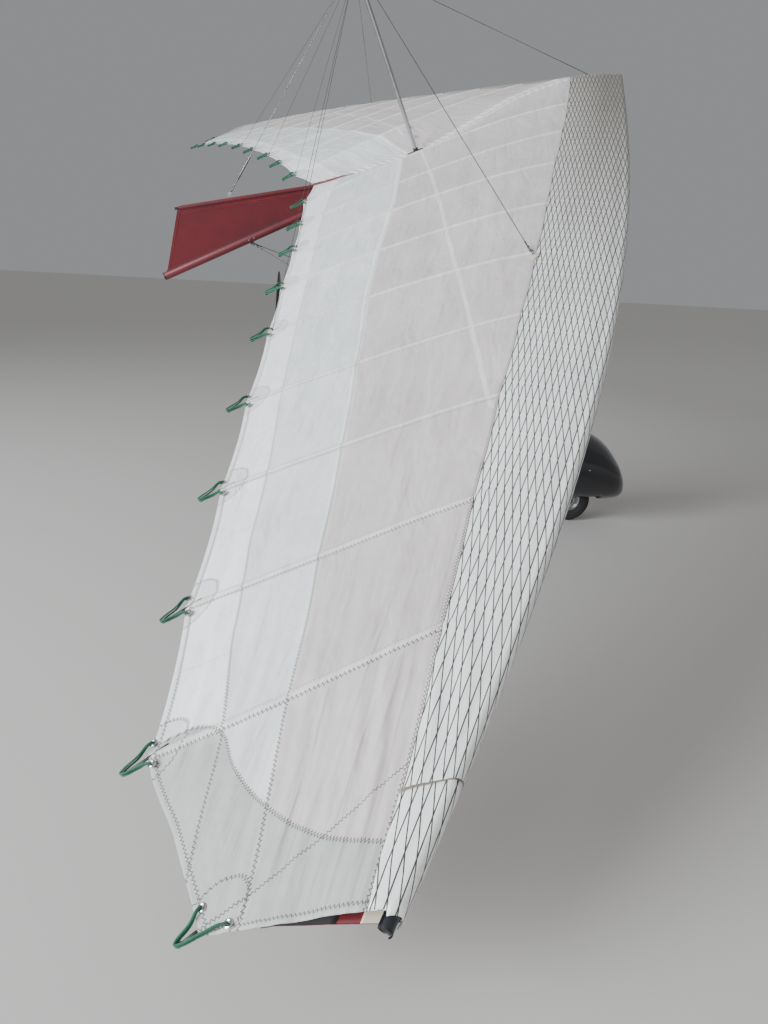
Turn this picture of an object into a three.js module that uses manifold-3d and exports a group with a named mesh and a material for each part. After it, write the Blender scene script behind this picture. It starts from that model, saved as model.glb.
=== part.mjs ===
// A two-seat microlight trike: a flexwing hung on a three-wheeled frame with a pusher engine.
// Millimetres, +X forward, +Y left, +Z up, the ground at z = 0.
// The wing stands as it is parked: nose up, right tip low.
import * as THREE from "three";
import { mergeVertices } from "three/addons/utils/BufferGeometryUtils.js";
import Module from "manifold-3d";

const wasm = await Module();
wasm.setup();

// Place of the origin: under the middle of the whole machine's bounding box
const SHIFT_X = 248.3;
const SHIFT_Y = -41.3;

// Clearance between pieces that are fastened together
const GAP = 0.3;

// Parked attitude of the wing and the place where it hangs
const HANG_HEIGHT = 2552;
const NOSE_UP = THREE.MathUtils.degToRad(25.6);
const BANK = THREE.MathUtils.degToRad(20.2);
const HANG_X = -62;
const HANG_BOLT_DROP = 72;

// Wing plan, in the wing's own frame: x forward along the keel from the hang point
const HALF_SPAN = 5031;
const NOSE_X = 1532;
const SWEEP = THREE.MathUtils.degToRad(21.6);
const EDGE_BOW = 130;
const EDGE_HOOK = 611;
const EDGE_DROOP = 350;
const EDGE_RISE = 231;
const NOSE_DROP = 22;
const EDGE_RADIUS = 34;
const SAIL_THICKNESS = 12;
const SCALLOP = 12;
const ROOT_HALF_GAP = 0.3;

// Battens, root to tip: distance from the keel and chord of the cloth there
const BATTENS = [
  { y: 412, chord: 2208 },
  { y: 892, chord: 2077 },
  { y: 1325, chord: 1973 },
  { y: 1815, chord: 1867 },
  { y: 2296, chord: 1746 },
  { y: 2848, chord: 1605 },
  { y: 3372, chord: 1449 },
  { y: 3900, chord: 1274 },
  { y: 4396, chord: 1062 },
];
const ROOT_CHORD = 2256;

// Tip of the cloth: how far out its front lies, and its rear corner
const TIP_FRONT = 5005;
const TIP_CORNER = { y: 4917, chord: 546.5 };
const TIP_HOLLOW = { y: 4656, chord: 806 };

// Height of the trailing edge over the keel: at the root, and its two slopes along the span
const TAIL_HEIGHT = 156;
const TAIL_SLOPE = 317;
const TAIL_FALL = 557;

// Sail section: u from the nose tube to the trailing edge, heights as parts of the chord.
// Over the keel the upper skin is drawn down into a valley, whose heights are in "root".
const SECTION = [
  { u: 0.03, upper: 0.012, root: 0.0116, lower: 0.0 },
  { u: 0.09, upper: 0.025, root: 0.0295, lower: 0.0 },
  { u: 0.19, upper: 0.039, root: 0.0461, lower: 0.002 },
  { u: 0.34, upper: 0.048, root: 0.0418, lower: 0.008 },
  { u: 0.5, upper: 0.045, root: 0.0116, lower: 0.018 },
  { u: 0.65, upper: 0.036, root: -0.0091, lower: 0.028 },
  { u: 0.82, upper: 0.021, root: -0.009, lower: 0.015 },
  { u: 1.0, upper: 0.0, root: 0.0, lower: -0.002 },
];

// Wing tubes
const KEEL_RADIUS = 25;
const KEEL_FRONT = 1445;
const KEEL_AFT = -1969;
const KINGPOST_RADIUS = 14;
const KINGPOST_X = 23;
const KINGPOST_HEIGHT = 1270;
const EDGE_TUBE_RADIUS = 25;
const EDGE_TUBE_LENGTH = 260;
const WIRE_RADIUS = 2;
const CROSSBAR_SETBACK = 430;
const CROSSBAR_INSIDE = 100;
const CROSSBAR_TOP = 145;
const FIN_HEIGHT = 383;
const FIN_THICKNESS = 14;
const SLEEVE_RADIUS = 38;
const SLEEVE_HALF = 50;
const LUG_HALF = 12;
const BOLT_RADIUS = 7;
const CROSSBAR_Y = 2360;
const TAIL_WIRE_X = -1300;

// Control frame under the keel
const APEX_X = 100;
const APEX_Y = 60;
const APEX_Z = -42;
const BAR_X = 0;
const BAR_Z = -1550;
const BAR_HALF = 760;
const BAR_RADIUS = 15;

// Wheels
const NOSE_WHEEL_X = 1343;
const NOSE_WHEEL_RADIUS = 170;
const NOSE_TYRE_WIDTH = 95;
const MAIN_WHEEL_X = -430;
const MAIN_WHEEL_RADIUS = 200;
const MAIN_TYRE_WIDTH = 105;
const HALF_TRACK = 850;
const WHEEL_SIDES = 28;
const NOSE_RIM = 84;
const MAIN_RIM = 100;
const FORK_HALF = 66;
const FOOT_BAR_HALF = 205;
const DRAG_X = 150;
const SPRING_TOP_Z = 1010;
const SPAT = { x: 345, y: 112, z: 218 };
const SPAT_SKIRT_Z = 170;

// Trike frame
const BEAM_WIDTH = 50;
const BEAM_REAR = { x: -640, z: 345 };
const BEAM_FRONT = { x: 1240, z: 455 };
const MAST_FOOT = { x: -400, z: 384 };
const MAST_RADIUS = 29;
const STRUT_RADIUS = 22;
const STRUT_FOOT = { x: 1190, z: 480 };
const STRUT_TOP_Z = 2345;
const STEER_RAKE = THREE.MathUtils.degToRad(12);
const STEER_LOCK_TOP = 350;
const STEER_LOCK_BASE = 235;

// Engine bed: two rails behind the mast
const BED_TOP = 755;
const RAIL = { y: 110, front: -330, rear: -825, width: 26, height: 30 };
const BED_CROSS_X = [-345, -780];
const BED_STRUT = { top: -790, foot: -600, footZ: 360, radius: 15 };

// Flat-four engine: crankcase, sump, barrels with their fins, heads, feet
const CRANK_Z = 1000;
const CASE = { front: -430, rear: -770, half: 115, low: 880, high: 1100 };
const SUMP = { front: -470, rear: -740, half: 85, low: 800 };
const CYLINDER_X = [-515, -675];
const BARREL = { radius: 50, from: 90, to: 236, z: 985 };
const FIN = { radius: 64, thickness: 9, from: 134, pitch: 22, count: 4 };
const HEAD = { half: 66, from: 228, to: 306, low: 915, high: 1055 };
const COVER = { half: 50, to: 318, low: 935, high: 1035 };
const PLUG = { radius: 9, from: 310, to: 344, z: 1010, aside: 56 };
const FOOT = { x: [-470, -730], half: 25, width: 36, top: 900 };
const FLYWHEEL = { radius: 78, front: -392 };
const OIL_FILTER = { x: -455, y: -60, radius: 36, low: 808 };
const COOLANT_TANK = { x: -600, radius: 42, top: 1172 };

// Intake: a carburettor and a round filter on each side, over the barrels
const INTAKE = { y: 168, z: 1132, radius: 15, join: -595 };
const CARBURETTOR = { front: -560, rear: -662, radius: 31 };
const AIR_FILTER = { rear: -762, radius: 47 };

// Exhaust: a silencer along the left side, with one pipe from each head
const MUFFLER = { y: 240, z: 840, front: -440, rear: -840, radius: 48 };
const EXHAUST_PIPE = { radius: 16, head: 267, under: 778 };
const TAIL_PIPE = { x: -790, y: 318, z: 742, radius: 20 };
const RADIATOR = { front: -470, rear: -700, half: 135, low: 665 };

// Gearbox, its flange and the shaft
const GEARBOX = { z: 1010, rear: -850, radius: 92, flange: 104, flangeDepth: 14 };
const COLLAR = { rear: -885, radius: 50 };
const SHAFT = { rear: -940, radius: 20 };

// Propeller
const PROP_X = -955;
const SPINNER = { front: -885, rear: -1000, tip: -1070, radius: 58, tipRadius: 12 };
const BLADES = 3;

// Brake back plates on the main stubs
const BRAKE = { radius: 72, from: -66, to: -54 };

// Knuckles at the ends of the base bar
const KNUCKLE = { from: 690, to: 750, radius: 19 };

// Pod: x, half width, and the heights of its keel and deck, from the nose back
const POD = [
  { x: 1765, half: 34, low: 258, high: 306 },
  { x: 1742, half: 88, low: 222, high: 385 },
  { x: 1680, half: 150, low: 200, high: 500 },
  { x: 1560, half: 205, low: 190, high: 640 },
  { x: 1400, half: 245, low: 190, high: 730 },
  { x: 1200, half: 270, low: 200, high: 775 },
  { x: 1000, half: 280, low: 215, high: 760 },
  { x: 700, half: 285, low: 235, high: 700 },
  { x: 430, half: 280, low: 260, high: 600 },
];
const POD_WALL = 12;
const DECK_EDGE_X = 1110;
const POD_POST_X = 1070;
const SCREEN = { x: 330, y: 245, z: 380 };
const SCREEN_BACK_X = 955;
const SCREEN_TOP_Z = 1075;

// Seats: their side outlines as x, z
const SEAT_RAIL_Y = 185;
const FRONT_SEAT = [
  [130, 464.3],
  [485, 464.3],
  [495, 500],
  [470, 535],
  [150, 525],
  [118, 810],
  [62, 815],
  [90, 500],
];
const REAR_SEAT = [
  [-318, 572.3],
  [30, 572.3],
  [45, 610],
  [25, 645],
  [-235, 632],
  [-165, 1010],
  [-222, 1020],
];

// Propeller blade stations from the hub out
const BLADE = [
  { r: 20, chord: 56, thickness: 50, angle: 50 },
  { r: 110, chord: 62, thickness: 36, angle: 44 },
  { r: 250, chord: 104, thickness: 20, angle: 33 },
  { r: 450, chord: 112, thickness: 13, angle: 22 },
  { r: 660, chord: 88, thickness: 9, angle: 15 },
  { r: 780, chord: 46, thickness: 5, angle: 12 },
];

const COLOURS = {
  sail: 0xd9d3d6,
  red: 0x8e1f2c,
  alloy: 0xb4b8bc,
  darkAlloy: 0x3a3d42,
  black: 0x15171c,
  rubber: 0x1b1b1d,
  steel: 0x9a9da1,
  glass: 0xc9dbe2,
  seat: 0x23262e,
};

const FINISHES = {
  sail: new THREE.MeshStandardMaterial({ color: COLOURS.sail, roughness: 0.7 }),
  red: new THREE.MeshStandardMaterial({ color: COLOURS.red, roughness: 0.7 }),
  alloy: new THREE.MeshStandardMaterial({ color: COLOURS.alloy, metalness: 1, roughness: 0.35 }),
  darkAlloy: new THREE.MeshStandardMaterial({ color: COLOURS.darkAlloy, metalness: 0.8, roughness: 0.45 }),
  gloss: new THREE.MeshStandardMaterial({ color: COLOURS.black, roughness: 0.2 }),
  rubber: new THREE.MeshStandardMaterial({ color: COLOURS.rubber, roughness: 0.9 }),
  steel: new THREE.MeshStandardMaterial({ color: COLOURS.steel, metalness: 1, roughness: 0.4 }),
  glass: new THREE.MeshStandardMaterial({ color: COLOURS.glass, transparent: true, opacity: 0.4 }),
  seat: new THREE.MeshStandardMaterial({ color: COLOURS.seat, roughness: 0.8 }),
};

// Solids: three.js shapes turned into manifold solids, to be cut and joined

function vec(x, y, z) {
  return new THREE.Vector3(x, y, z);
}

function solid(geometry) {
  const plain = geometry.clone();
  plain.deleteAttribute("normal");
  plain.deleteAttribute("uv");
  const merged = mergeVertices(plain, 1e-3);
  const triVerts = new Uint32Array(merged.index.array);
  const vertProperties = new Float32Array(merged.attributes.position.array);
  return new wasm.Manifold(new wasm.Mesh({ numProp: 3, vertProperties, triVerts }));
}

function geometryOf(body) {
  const mesh = body.getMesh();
  const geometry = new THREE.BufferGeometry();
  geometry.setAttribute("position", new THREE.BufferAttribute(new Float32Array(mesh.vertProperties), 3));
  geometry.setIndex(new THREE.BufferAttribute(new Uint32Array(mesh.triVerts), 1));
  return geometry;
}

function join(...bodies) {
  return bodies.reduce((whole, body) => whole.add(body));
}

function cut(body, ...tools) {
  return tools.reduce((rest, tool) => rest.subtract(tool), body);
}

// A matrix whose Y axis runs from a to b and whose X axis leans towards a given direction
function along(a, b, lean = vec(1, 0, 0)) {
  const yAxis = b.clone().sub(a).normalize();
  const side = Math.abs(yAxis.dot(lean)) > 0.98 ? vec(0, 1, 0) : lean;
  const zAxis = side.clone().cross(yAxis).normalize();
  const xAxis = yAxis.clone().cross(zAxis);
  const middle = a.clone().add(b).multiplyScalar(0.5);
  return new THREE.Matrix4().makeBasis(xAxis, yAxis, zAxis).setPosition(middle);
}

// A round bar from a to b; grown makes the same bar that much thicker on every face.
// A running bore clears the bar at every turn, so its flats lie outside the bar's corners.
function rod(a, b, radius, { sides = 14, grown = 0, endRadius = radius, running = false } = {}) {
  const extra = (grown + (running ? radius : 0)) / Math.cos(Math.PI / sides) - (running ? radius : 0);
  const length = a.distanceTo(b) + 2 * grown;
  const shape = new THREE.CylinderGeometry(endRadius + extra, radius + extra, length, sides);
  return solid(shape.applyMatrix4(along(a, b)));
}

// A round pipe along a smooth curve through points
function pipe(points, radius, steps, sides = 8) {
  const ring = Array.from({ length: sides }, (_, i) => {
    const turn = (2 * Math.PI * i) / sides;
    return new THREE.Vector2(radius * Math.cos(turn), radius * Math.sin(turn));
  });
  const extrudePath = new THREE.CatmullRomCurve3(points, false, "catmullrom", 0.35);
  return solid(new THREE.ExtrudeGeometry(new THREE.Shape(ring), { steps, extrudePath, bevelEnabled: false }));
}

// A bar of oval section: chord lies fore and aft, thickness across
function oval(a, b, chord, thickness, sides = 14) {
  const shape = new THREE.CylinderGeometry(1, 1, a.distanceTo(b), sides);
  shape.scale(chord / 2, 1, thickness / 2);
  return solid(shape.applyMatrix4(along(a, b)));
}

function ball(centre, radius) {
  const shape = new THREE.SphereGeometry(radius, 8, 6);
  return solid(shape.translate(centre.x, centre.y, centre.z));
}

function block(low, high) {
  const size = high.clone().sub(low);
  const shape = new THREE.BoxGeometry(size.x, size.y, size.z);
  const middle = low.clone().add(high).multiplyScalar(0.5);
  return solid(shape.translate(middle.x, middle.y, middle.z));
}

// A square bar from a to b: its width lies across the machine, its height upright or fore and aft
function beam(a, b, width, height, grown = 0) {
  const length = a.distanceTo(b) + 2 * grown;
  const shape = new THREE.BoxGeometry(height + 2 * grown, length, width + 2 * grown);
  const upright = Math.abs(b.z - a.z) > Math.abs(b.x - a.x);
  return solid(shape.applyMatrix4(along(a, b, upright ? vec(1, 0, 0) : vec(0, 0, 1))));
}

// A turned body: profile of [radius, height] round an axis through centre
function turned(profile, centre, axis, sides = 24) {
  const points = profile.map(([radius, height]) => new THREE.Vector2(radius, height));
  const shape = new THREE.LatheGeometry(points, sides);
  const turn = new THREE.Quaternion().setFromUnitVectors(vec(0, 1, 0), axis.clone().normalize());
  shape.applyQuaternion(turn);
  return solid(shape.translate(centre.x, centre.y, centre.z));
}

// A flat plate in the XZ plane, from corner points, centred on y
function plate(corners, y, thickness) {
  const outline = new THREE.Shape(corners.map(([x, z]) => new THREE.Vector2(x, z)));
  const shape = new THREE.ExtrudeGeometry(outline, { depth: thickness, bevelEnabled: false });
  shape.rotateX(Math.PI / 2);
  return solid(shape.translate(0, y + thickness / 2, 0));
}

// A skin over rings that have the same number of points, closed by flat ends
function loft(rings) {
  const count = rings[0].length;
  const points = rings.flat();
  const faces = [];
  for (let ring = 0; ring + 1 < rings.length; ring += 1) {
    for (let i = 0; i < count; i += 1) {
      const a = ring * count + i;
      const b = ring * count + ((i + 1) % count);
      faces.push([a, b, b + count], [a, b + count, a + count]);
    }
  }
  faces.push(...capFaces(rings[0], 0, true));
  faces.push(...capFaces(rings.at(-1), (rings.length - 1) * count, false));
  const geometry = new THREE.BufferGeometry();
  const positions = points.flatMap((point) => [point.x, point.y, point.z]);
  geometry.setAttribute("position", new THREE.Float32BufferAttribute(positions, 3));
  geometry.setIndex(faces.flat());
  let body = solid(geometry);
  if (body.volume() < 0) {
    geometry.setIndex(faces.map(([a, b, c]) => [a, c, b]).flat());
    body = solid(geometry);
  }
  return body;
}

// Triangles over one end ring, seen along the axis from which the ring looks largest
function capFaces(ring, first, reversed) {
  const views = [["x", "y"], ["y", "z"], ["x", "z"]].map(([p, q]) =>
    ring.map((point) => new THREE.Vector2(point[p], point[q])),
  );
  const areas = views.map((view) => Math.abs(THREE.ShapeUtils.area(view)));
  const flat = views[areas.indexOf(Math.max(...areas))];
  const ringTurn = Math.sign(THREE.ShapeUtils.area(flat));
  return THREE.ShapeUtils.triangulateShape(flat, []).map(([a, b, c]) => {
    const faceTurn = Math.sign(THREE.ShapeUtils.area([flat[a], flat[b], flat[c]]));
    const face = (faceTurn === ringTurn) === reversed ? [a, c, b] : [a, b, c];
    return face.map((index) => index + first);
  });
}

// Groups: the trike, the hang bracket that pitches, and the wing that rolls in it

const model = new THREE.Group();
model.position.set(SHIFT_X, SHIFT_Y, 0);
const trike = new THREE.Group();
const pitched = new THREE.Group();
pitched.position.set(0, 0, HANG_HEIGHT);
pitched.rotation.y = -NOSE_UP;
const wing = new THREE.Group();
wing.rotation.x = BANK;
model.add(trike, pitched);
pitched.add(wing);

function place(group, name, body, finish) {
  const mesh = new THREE.Mesh(geometryOf(body), FINISHES[finish]);
  mesh.name = name;
  group.add(mesh);
  return body;
}

// Wing: leading edge, trailing edge and the sail between them

function leadingEdge(y) {
  const s = y / HALF_SPAN;
  const x = NOSE_X - y * Math.tan(SWEEP) - EDGE_BOW * s ** 2 - EDGE_HOOK * s ** 3;
  const drop = NOSE_DROP * Math.max(0, 1 - 4 * s) ** 2;
  return vec(x, y, EDGE_RISE * s * s - EDGE_DROOP * s - drop);
}

function tailHeight(y) {
  const s = y / HALF_SPAN;
  return TAIL_HEIGHT + TAIL_SLOPE * s - TAIL_FALL * s * s;
}

// Stations along the half span: root, each batten, the hollow between two battens, and the tip
function stations() {
  const rows = [{ y: ROOT_HALF_GAP, chord: ROOT_CHORD, column: "root" }];
  BATTENS.forEach((batten, i) => {
    if (i > 0) {
      const before = BATTENS[i - 1];
      const chord = (before.chord + batten.chord) / 2 - SCALLOP;
      rows.push({ y: (before.y + batten.y) / 2, chord });
    }
    rows.push(batten);
  });
  rows.push(TIP_HOLLOW, { ...TIP_CORNER, front: TIP_FRONT });
  return rows;
}

// One closed ring of the sail, from the trailing edge over the top and back underneath.
// At the tip the front of the ring lies further out than its trailing edge.
function sailRing({ y, chord, front = y, column = "upper" }) {
  const edge = leadingEdge(front);
  const tail = tailHeight(y);
  const tailX = leadingEdge(y).x - chord;
  const run = edge.x - EDGE_RADIUS - tailX;
  const baseline = (u) => edge.z * (1 - u) + tail * u;
  const fade = (u) => EDGE_RADIUS * (1 - u) ** 3;
  const at = (u, height) => vec(edge.x - EDGE_RADIUS - run * u, front + (y - front) * u, height);
  const skin = (row) => baseline(row.u) + fade(row.u) + chord * row[column];
  const top = SECTION.map((row) => at(row.u, skin(row))).reverse();
  const nose = [90, 50, 15, -15, -50, -90].map((degrees) => {
    const angle = THREE.MathUtils.degToRad(degrees);
    const x = edge.x - EDGE_RADIUS + EDGE_RADIUS * Math.cos(angle);
    return vec(x, front, edge.z + EDGE_RADIUS * Math.sin(angle));
  });
  const bottom = SECTION.slice(1).map((row) => {
    const inside = skin(row) - SAIL_THICKNESS;
    const belly = baseline(row.u) - fade(row.u) + chord * row.lower;
    return at(row.u, row.u > 0.6 ? inside : Math.min(belly, inside));
  });
  return [...top, ...nose, ...bottom];
}

function mirrored(body) {
  return body.mirror([0, 1, 0]);
}

// Keel, kingpost and control frame
const bothSides = (name, body, finish) => {
  place(wing, `${name}_left`, body, finish);
  place(wing, `${name}_right`, mirrored(body), finish);
};

const kingpostFoot = vec(KINGPOST_X, 0, KEEL_RADIUS + GAP);
const kingpostTop = vec(KINGPOST_X, 0, KINGPOST_HEIGHT);
const keelEnds = [vec(KEEL_AFT, 0, 0), vec(KEEL_FRONT, 0, 0)];
const apexLow = vec(APEX_X - 28, -APEX_Y - 16, APEX_Z - 20);
const apexHigh = vec(APEX_X + 30, APEX_Y + 16, -10);
const keel = join(rod(...keelEnds, KEEL_RADIUS, { sides: 24 }), block(apexLow, apexHigh));
const keelGrown = rod(...keelEnds, KEEL_RADIUS, { sides: 24, grown: GAP });
const apexMargin = vec(GAP, GAP, GAP);
const apexGrown = block(apexLow.clone().sub(apexMargin), apexHigh.clone().add(apexMargin));

const barEnds = [vec(BAR_X, -BAR_HALF, BAR_Z), vec(BAR_X, BAR_HALF, BAR_Z)];
const barBody = (grown) => {
  const knuckle = (side) => {
    const ends = [KNUCKLE.from, KNUCKLE.to].map((y) => vec(BAR_X, side * y, BAR_Z));
    return rod(...ends, KNUCKLE.radius, { grown });
  };
  return join(rod(...barEnds, BAR_RADIUS, { grown }), knuckle(1), knuckle(-1));
};
const bar = barBody(0);
const barGrown = barBody(GAP);
const uprightFoot = vec(BAR_X, BAR_HALF - 30, BAR_Z);
const upright = cut(oval(vec(APEX_X, APEX_Y, APEX_Z), uprightFoot, 56, 24), barGrown, apexGrown);

const finCorners = [
  [KEEL_AFT + 37, KEEL_RADIUS + GAP],
  [KEEL_AFT + 313, FIN_HEIGHT],
  [NOSE_X - ROOT_CHORD - 20, TAIL_HEIGHT - 8],
  [NOSE_X - ROOT_CHORD + 160, TAIL_HEIGHT - 40],
  [NOSE_X - ROOT_CHORD + 330, KEEL_RADIUS + GAP],
];
const fin = plate(finCorners, 0, FIN_THICKNESS);
const finGrown = plate(finCorners, 0, FIN_THICKNESS).translate([0, 0, GAP]);

const halfSail = loft(stations().map(sailRing));
const edgeCentre = (y) => leadingEdge(y).add(vec(-EDGE_RADIUS, 0, 0));
const edgeEnds = [edgeCentre(HALF_SPAN - EDGE_TUBE_LENGTH), edgeCentre(HALF_SPAN)];
const edgeTube = rod(...edgeEnds, EDGE_TUBE_RADIUS);
const edgeSocket = rod(...edgeEnds, EDGE_TUBE_RADIUS, { grown: GAP });
const kingpostHole = rod(kingpostFoot, kingpostTop, KINGPOST_RADIUS, { grown: GAP });
const leftSail = cut(halfSail, edgeSocket, kingpostHole, keelGrown);

bothSides("sail", leftSail, "sail");
bothSides("edge_tube", edgeTube, "darkAlloy");
place(wing, "keel_tube", keel, "darkAlloy");
const sailAbove = halfSail.translate([0, 0, GAP]);
const sailBelow = halfSail.translate([0, 0, -GAP]);
place(wing, "keel_fin", cut(fin, sailBelow, mirrored(sailBelow)), "red");
place(wing, "kingpost", rod(kingpostFoot, kingpostTop, KINGPOST_RADIUS), "alloy");
place(wing, "base_bar", bar, "alloy");
bothSides("upright", upright, "alloy");

// Stays: from the kingpost's top down to the sail, and from the bar's ends up to the wing
const stay = (from, to, ...seats) => cut(rod(from, to, WIRE_RADIUS, { sides: 8 }), ...seats);
const crossbarEnd = leadingEdge(CROSSBAR_Y).add(vec(-CROSSBAR_SETBACK, 0, CROSSBAR_INSIDE));
const crossbarTop = leadingEdge(CROSSBAR_Y).add(vec(-CROSSBAR_SETBACK, 0, CROSSBAR_TOP));
const masthead = kingpostTop.clone().add(vec(0, 0, -20));
const barEye = vec(BAR_X, BAR_HALF - 8, BAR_Z);
const noseEye = vec(KEEL_FRONT - 50, 0, 0);
const tailEye = vec(TAIL_WIRE_X, 0, 0);
const upperSide = stay(masthead, crossbarTop, kingpostHole, sailAbove);
const sailsAbove = [sailAbove, mirrored(sailAbove)];
const upperFront = stay(masthead, vec(NOSE_X - 150, 0, 20), kingpostHole, keelGrown, ...sailsAbove);
const upperRear = stay(masthead, vec(TAIL_WIRE_X, 0, 100), kingpostHole, finGrown);
bothSides("upper_side_wire", upperSide, "steel");
place(wing, "upper_front_wire", upperFront, "steel");
place(wing, "upper_rear_wire", upperRear, "steel");
bothSides("lower_side_wire", stay(barEye, crossbarEnd, barGrown, sailBelow), "steel");
const noseSeats = [barGrown, keelGrown, sailBelow, mirrored(sailBelow)];
bothSides("lower_front_wire", stay(barEye, noseEye, ...noseSeats), "steel");
bothSides("lower_rear_wire", stay(barEye, tailEye, barGrown, keelGrown), "steel");

// Hang bracket: a sleeve on the keel, with a lug that the hang bolt goes through
const hangBolt = vec(HANG_X, 0, -HANG_BOLT_DROP);
const across = (centre, from, to) => [centre.clone().setY(from), centre.clone().setY(to)];
const sleeveEnds = [vec(HANG_X - SLEEVE_HALF, 0, 0), vec(HANG_X + SLEEVE_HALF, 0, 0)];
const sleeve = rod(...sleeveEnds, SLEEVE_RADIUS, { sides: 24 });
const lug = join(
  rod(...across(hangBolt, -LUG_HALF, LUG_HALF), 20, { sides: 20 }),
  block(vec(HANG_X - 20, -LUG_HALF, -HANG_BOLT_DROP), vec(HANG_X + 20, LUG_HALF, -KEEL_RADIUS)),
);
const keelBore = rod(vec(-200, 0, 0), vec(200, 0, 0), KEEL_RADIUS, { sides: 24, grown: GAP, running: true });
const boltBore = rod(...across(hangBolt, -40, 40), BOLT_RADIUS, { grown: GAP, running: true });
place(pitched, "hang_bracket", cut(join(sleeve, lug), keelBore, boltBore), "steel");

// Base beam with the steering head, mast and front strut
const wheelCentre = vec(NOSE_WHEEL_X, 0, NOSE_WHEEL_RADIUS);
const onSteer = (length) =>
  wheelCentre.clone().add(vec(-length * Math.sin(STEER_RAKE), 0, length * Math.cos(STEER_RAKE)));
const point = ({ x, z }, y = 0) => vec(x, y, z);
const beamEnds = [point(BEAM_REAR), point(BEAM_FRONT)];
const beamBody = beam(...beamEnds, BEAM_WIDTH, BEAM_WIDTH);
const beamGrown = beam(...beamEnds, BEAM_WIDTH, BEAM_WIDTH, GAP);
const head = rod(onSteer(STEER_LOCK_BASE), onSteer(STEER_LOCK_TOP), 27, { sides: 20 });
const steerer = [onSteer(190), onSteer(STEER_LOCK_TOP + 20)];
const headBore = rod(...steerer, 14, { grown: GAP, running: true });
const beamToHead = beam(point(BEAM_FRONT, 0).add(vec(-40, 0, 0)), onSteer(293), 44, 44);
place(trike, "base_beam", cut(join(beamBody, beamToHead, head), headBore), "darkAlloy");

const bolt = hangBolt.clone().applyAxisAngle(vec(0, 1, 0), -NOSE_UP).add(vec(0, 0, HANG_HEIGHT));
const mastFoot = point(MAST_FOOT);
const mastAlong = bolt.clone().sub(mastFoot).normalize();
const onMast = (height) => mastFoot.clone().addScaledVector(mastAlong, (height - mastFoot.z) / mastAlong.z);
const mastTop = bolt.clone().addScaledVector(mastAlong, -62);
const cheek = (side) => {
  const y = side * (LUG_HALF + GAP + 5);
  const crown = mastTop.clone().addScaledVector(mastAlong, -50).setY(y);
  return join(
    beam(crown, bolt.clone().setY(y), 10, 40),
    rod(...across(bolt, y - 5, y + 5), 20, { sides: 20 }),
    rod(...across(bolt, y, y + side * 14), 12),
  );
};
const mastRod = [mastFoot.clone().addScaledVector(mastAlong, -40), mastTop];
const hangPin = rod(...across(bolt, -LUG_HALF - 6, LUG_HALF + 6), BOLT_RADIUS);
const mast = cut(join(rod(...mastRod, MAST_RADIUS, { sides: 20 }), cheek(1), cheek(-1), hangPin), beamGrown);
const mastGrown = rod(...mastRod, MAST_RADIUS, { sides: 20, grown: GAP });
place(trike, "mast", mast, "darkAlloy");

const strutEnds = [point(STRUT_FOOT).add(vec(0, 0, -30)), onMast(STRUT_TOP_Z)];
const strut = cut(rod(...strutEnds, STRUT_RADIUS, { sides: 16 }), beamGrown, mastGrown);
const strutGrown = rod(...strutEnds, STRUT_RADIUS, { sides: 16, grown: GAP });
place(trike, "front_strut", strut, "darkAlloy");

// Wheels: a tyre of rounded section on a turned hub
function tyreOf(centre, radius, width, bore) {
  const half = width / 2;
  const profile = [
    [bore, -half * 0.72],
    [radius * 0.72, -half],
    [radius * 0.9, -half * 0.92],
    [radius * 0.975, -half * 0.6],
    [radius, 0],
    [radius * 0.975, half * 0.6],
    [radius * 0.9, half * 0.92],
    [radius * 0.72, half],
    [bore, half * 0.72],
    [bore, -half * 0.72],
  ];
  return turned(profile, centre, vec(0, 1, 0), WHEEL_SIDES);
}

function hubOf(centre, rim, width, axle) {
  const half = width / 2;
  const profile = [
    [0, -half],
    [rim * 0.5, -half],
    [rim * 0.55, -half * 0.45],
    [rim * 0.8, -half * 0.4],
    [rim * 0.88, -half * 0.78],
    [rim, -half * 0.78],
    [rim, half * 0.78],
    [rim * 0.88, half * 0.78],
    [rim * 0.8, half * 0.4],
    [rim * 0.55, half * 0.45],
    [rim * 0.5, half],
    [0, half],
  ];
  const boreEnds = across(centre, centre.y - width, centre.y + width);
  const bore = rod(...boreEnds, axle, { grown: GAP, running: true });
  return cut(turned(profile, centre, vec(0, 1, 0), WHEEL_SIDES), bore);
}

// Nose wheel, fork and foot bar
const crown = join(
  beam(onSteer(196), onSteer(STEER_LOCK_BASE - GAP), 2 * FORK_HALF + 26, 56),
  rod(onSteer(215).setY(-FOOT_BAR_HALF), onSteer(215).setY(FOOT_BAR_HALF), 11),
);
const cap = rod(onSteer(STEER_LOCK_TOP + GAP), onSteer(STEER_LOCK_TOP + 14), 22);
const leg = (side) => {
  const y = side * FORK_HALF;
  return rod(onSteer(205).setY(y), wheelCentre.clone().setY(y), 13);
};
const noseAxle = rod(...across(wheelCentre, -FORK_HALF - 20, FORK_HALF + 20), 10);
const fork = join(crown, cap, leg(1), leg(-1), noseAxle, rod(...steerer, 14));
place(trike, "nose_fork", fork, "darkAlloy");
place(trike, "nose_tyre", tyreOf(wheelCentre, NOSE_WHEEL_RADIUS, NOSE_TYRE_WIDTH, NOSE_RIM), "rubber");
place(trike, "nose_hub", hubOf(wheelCentre, NOSE_RIM - GAP, 80, 10), "alloy");

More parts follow.
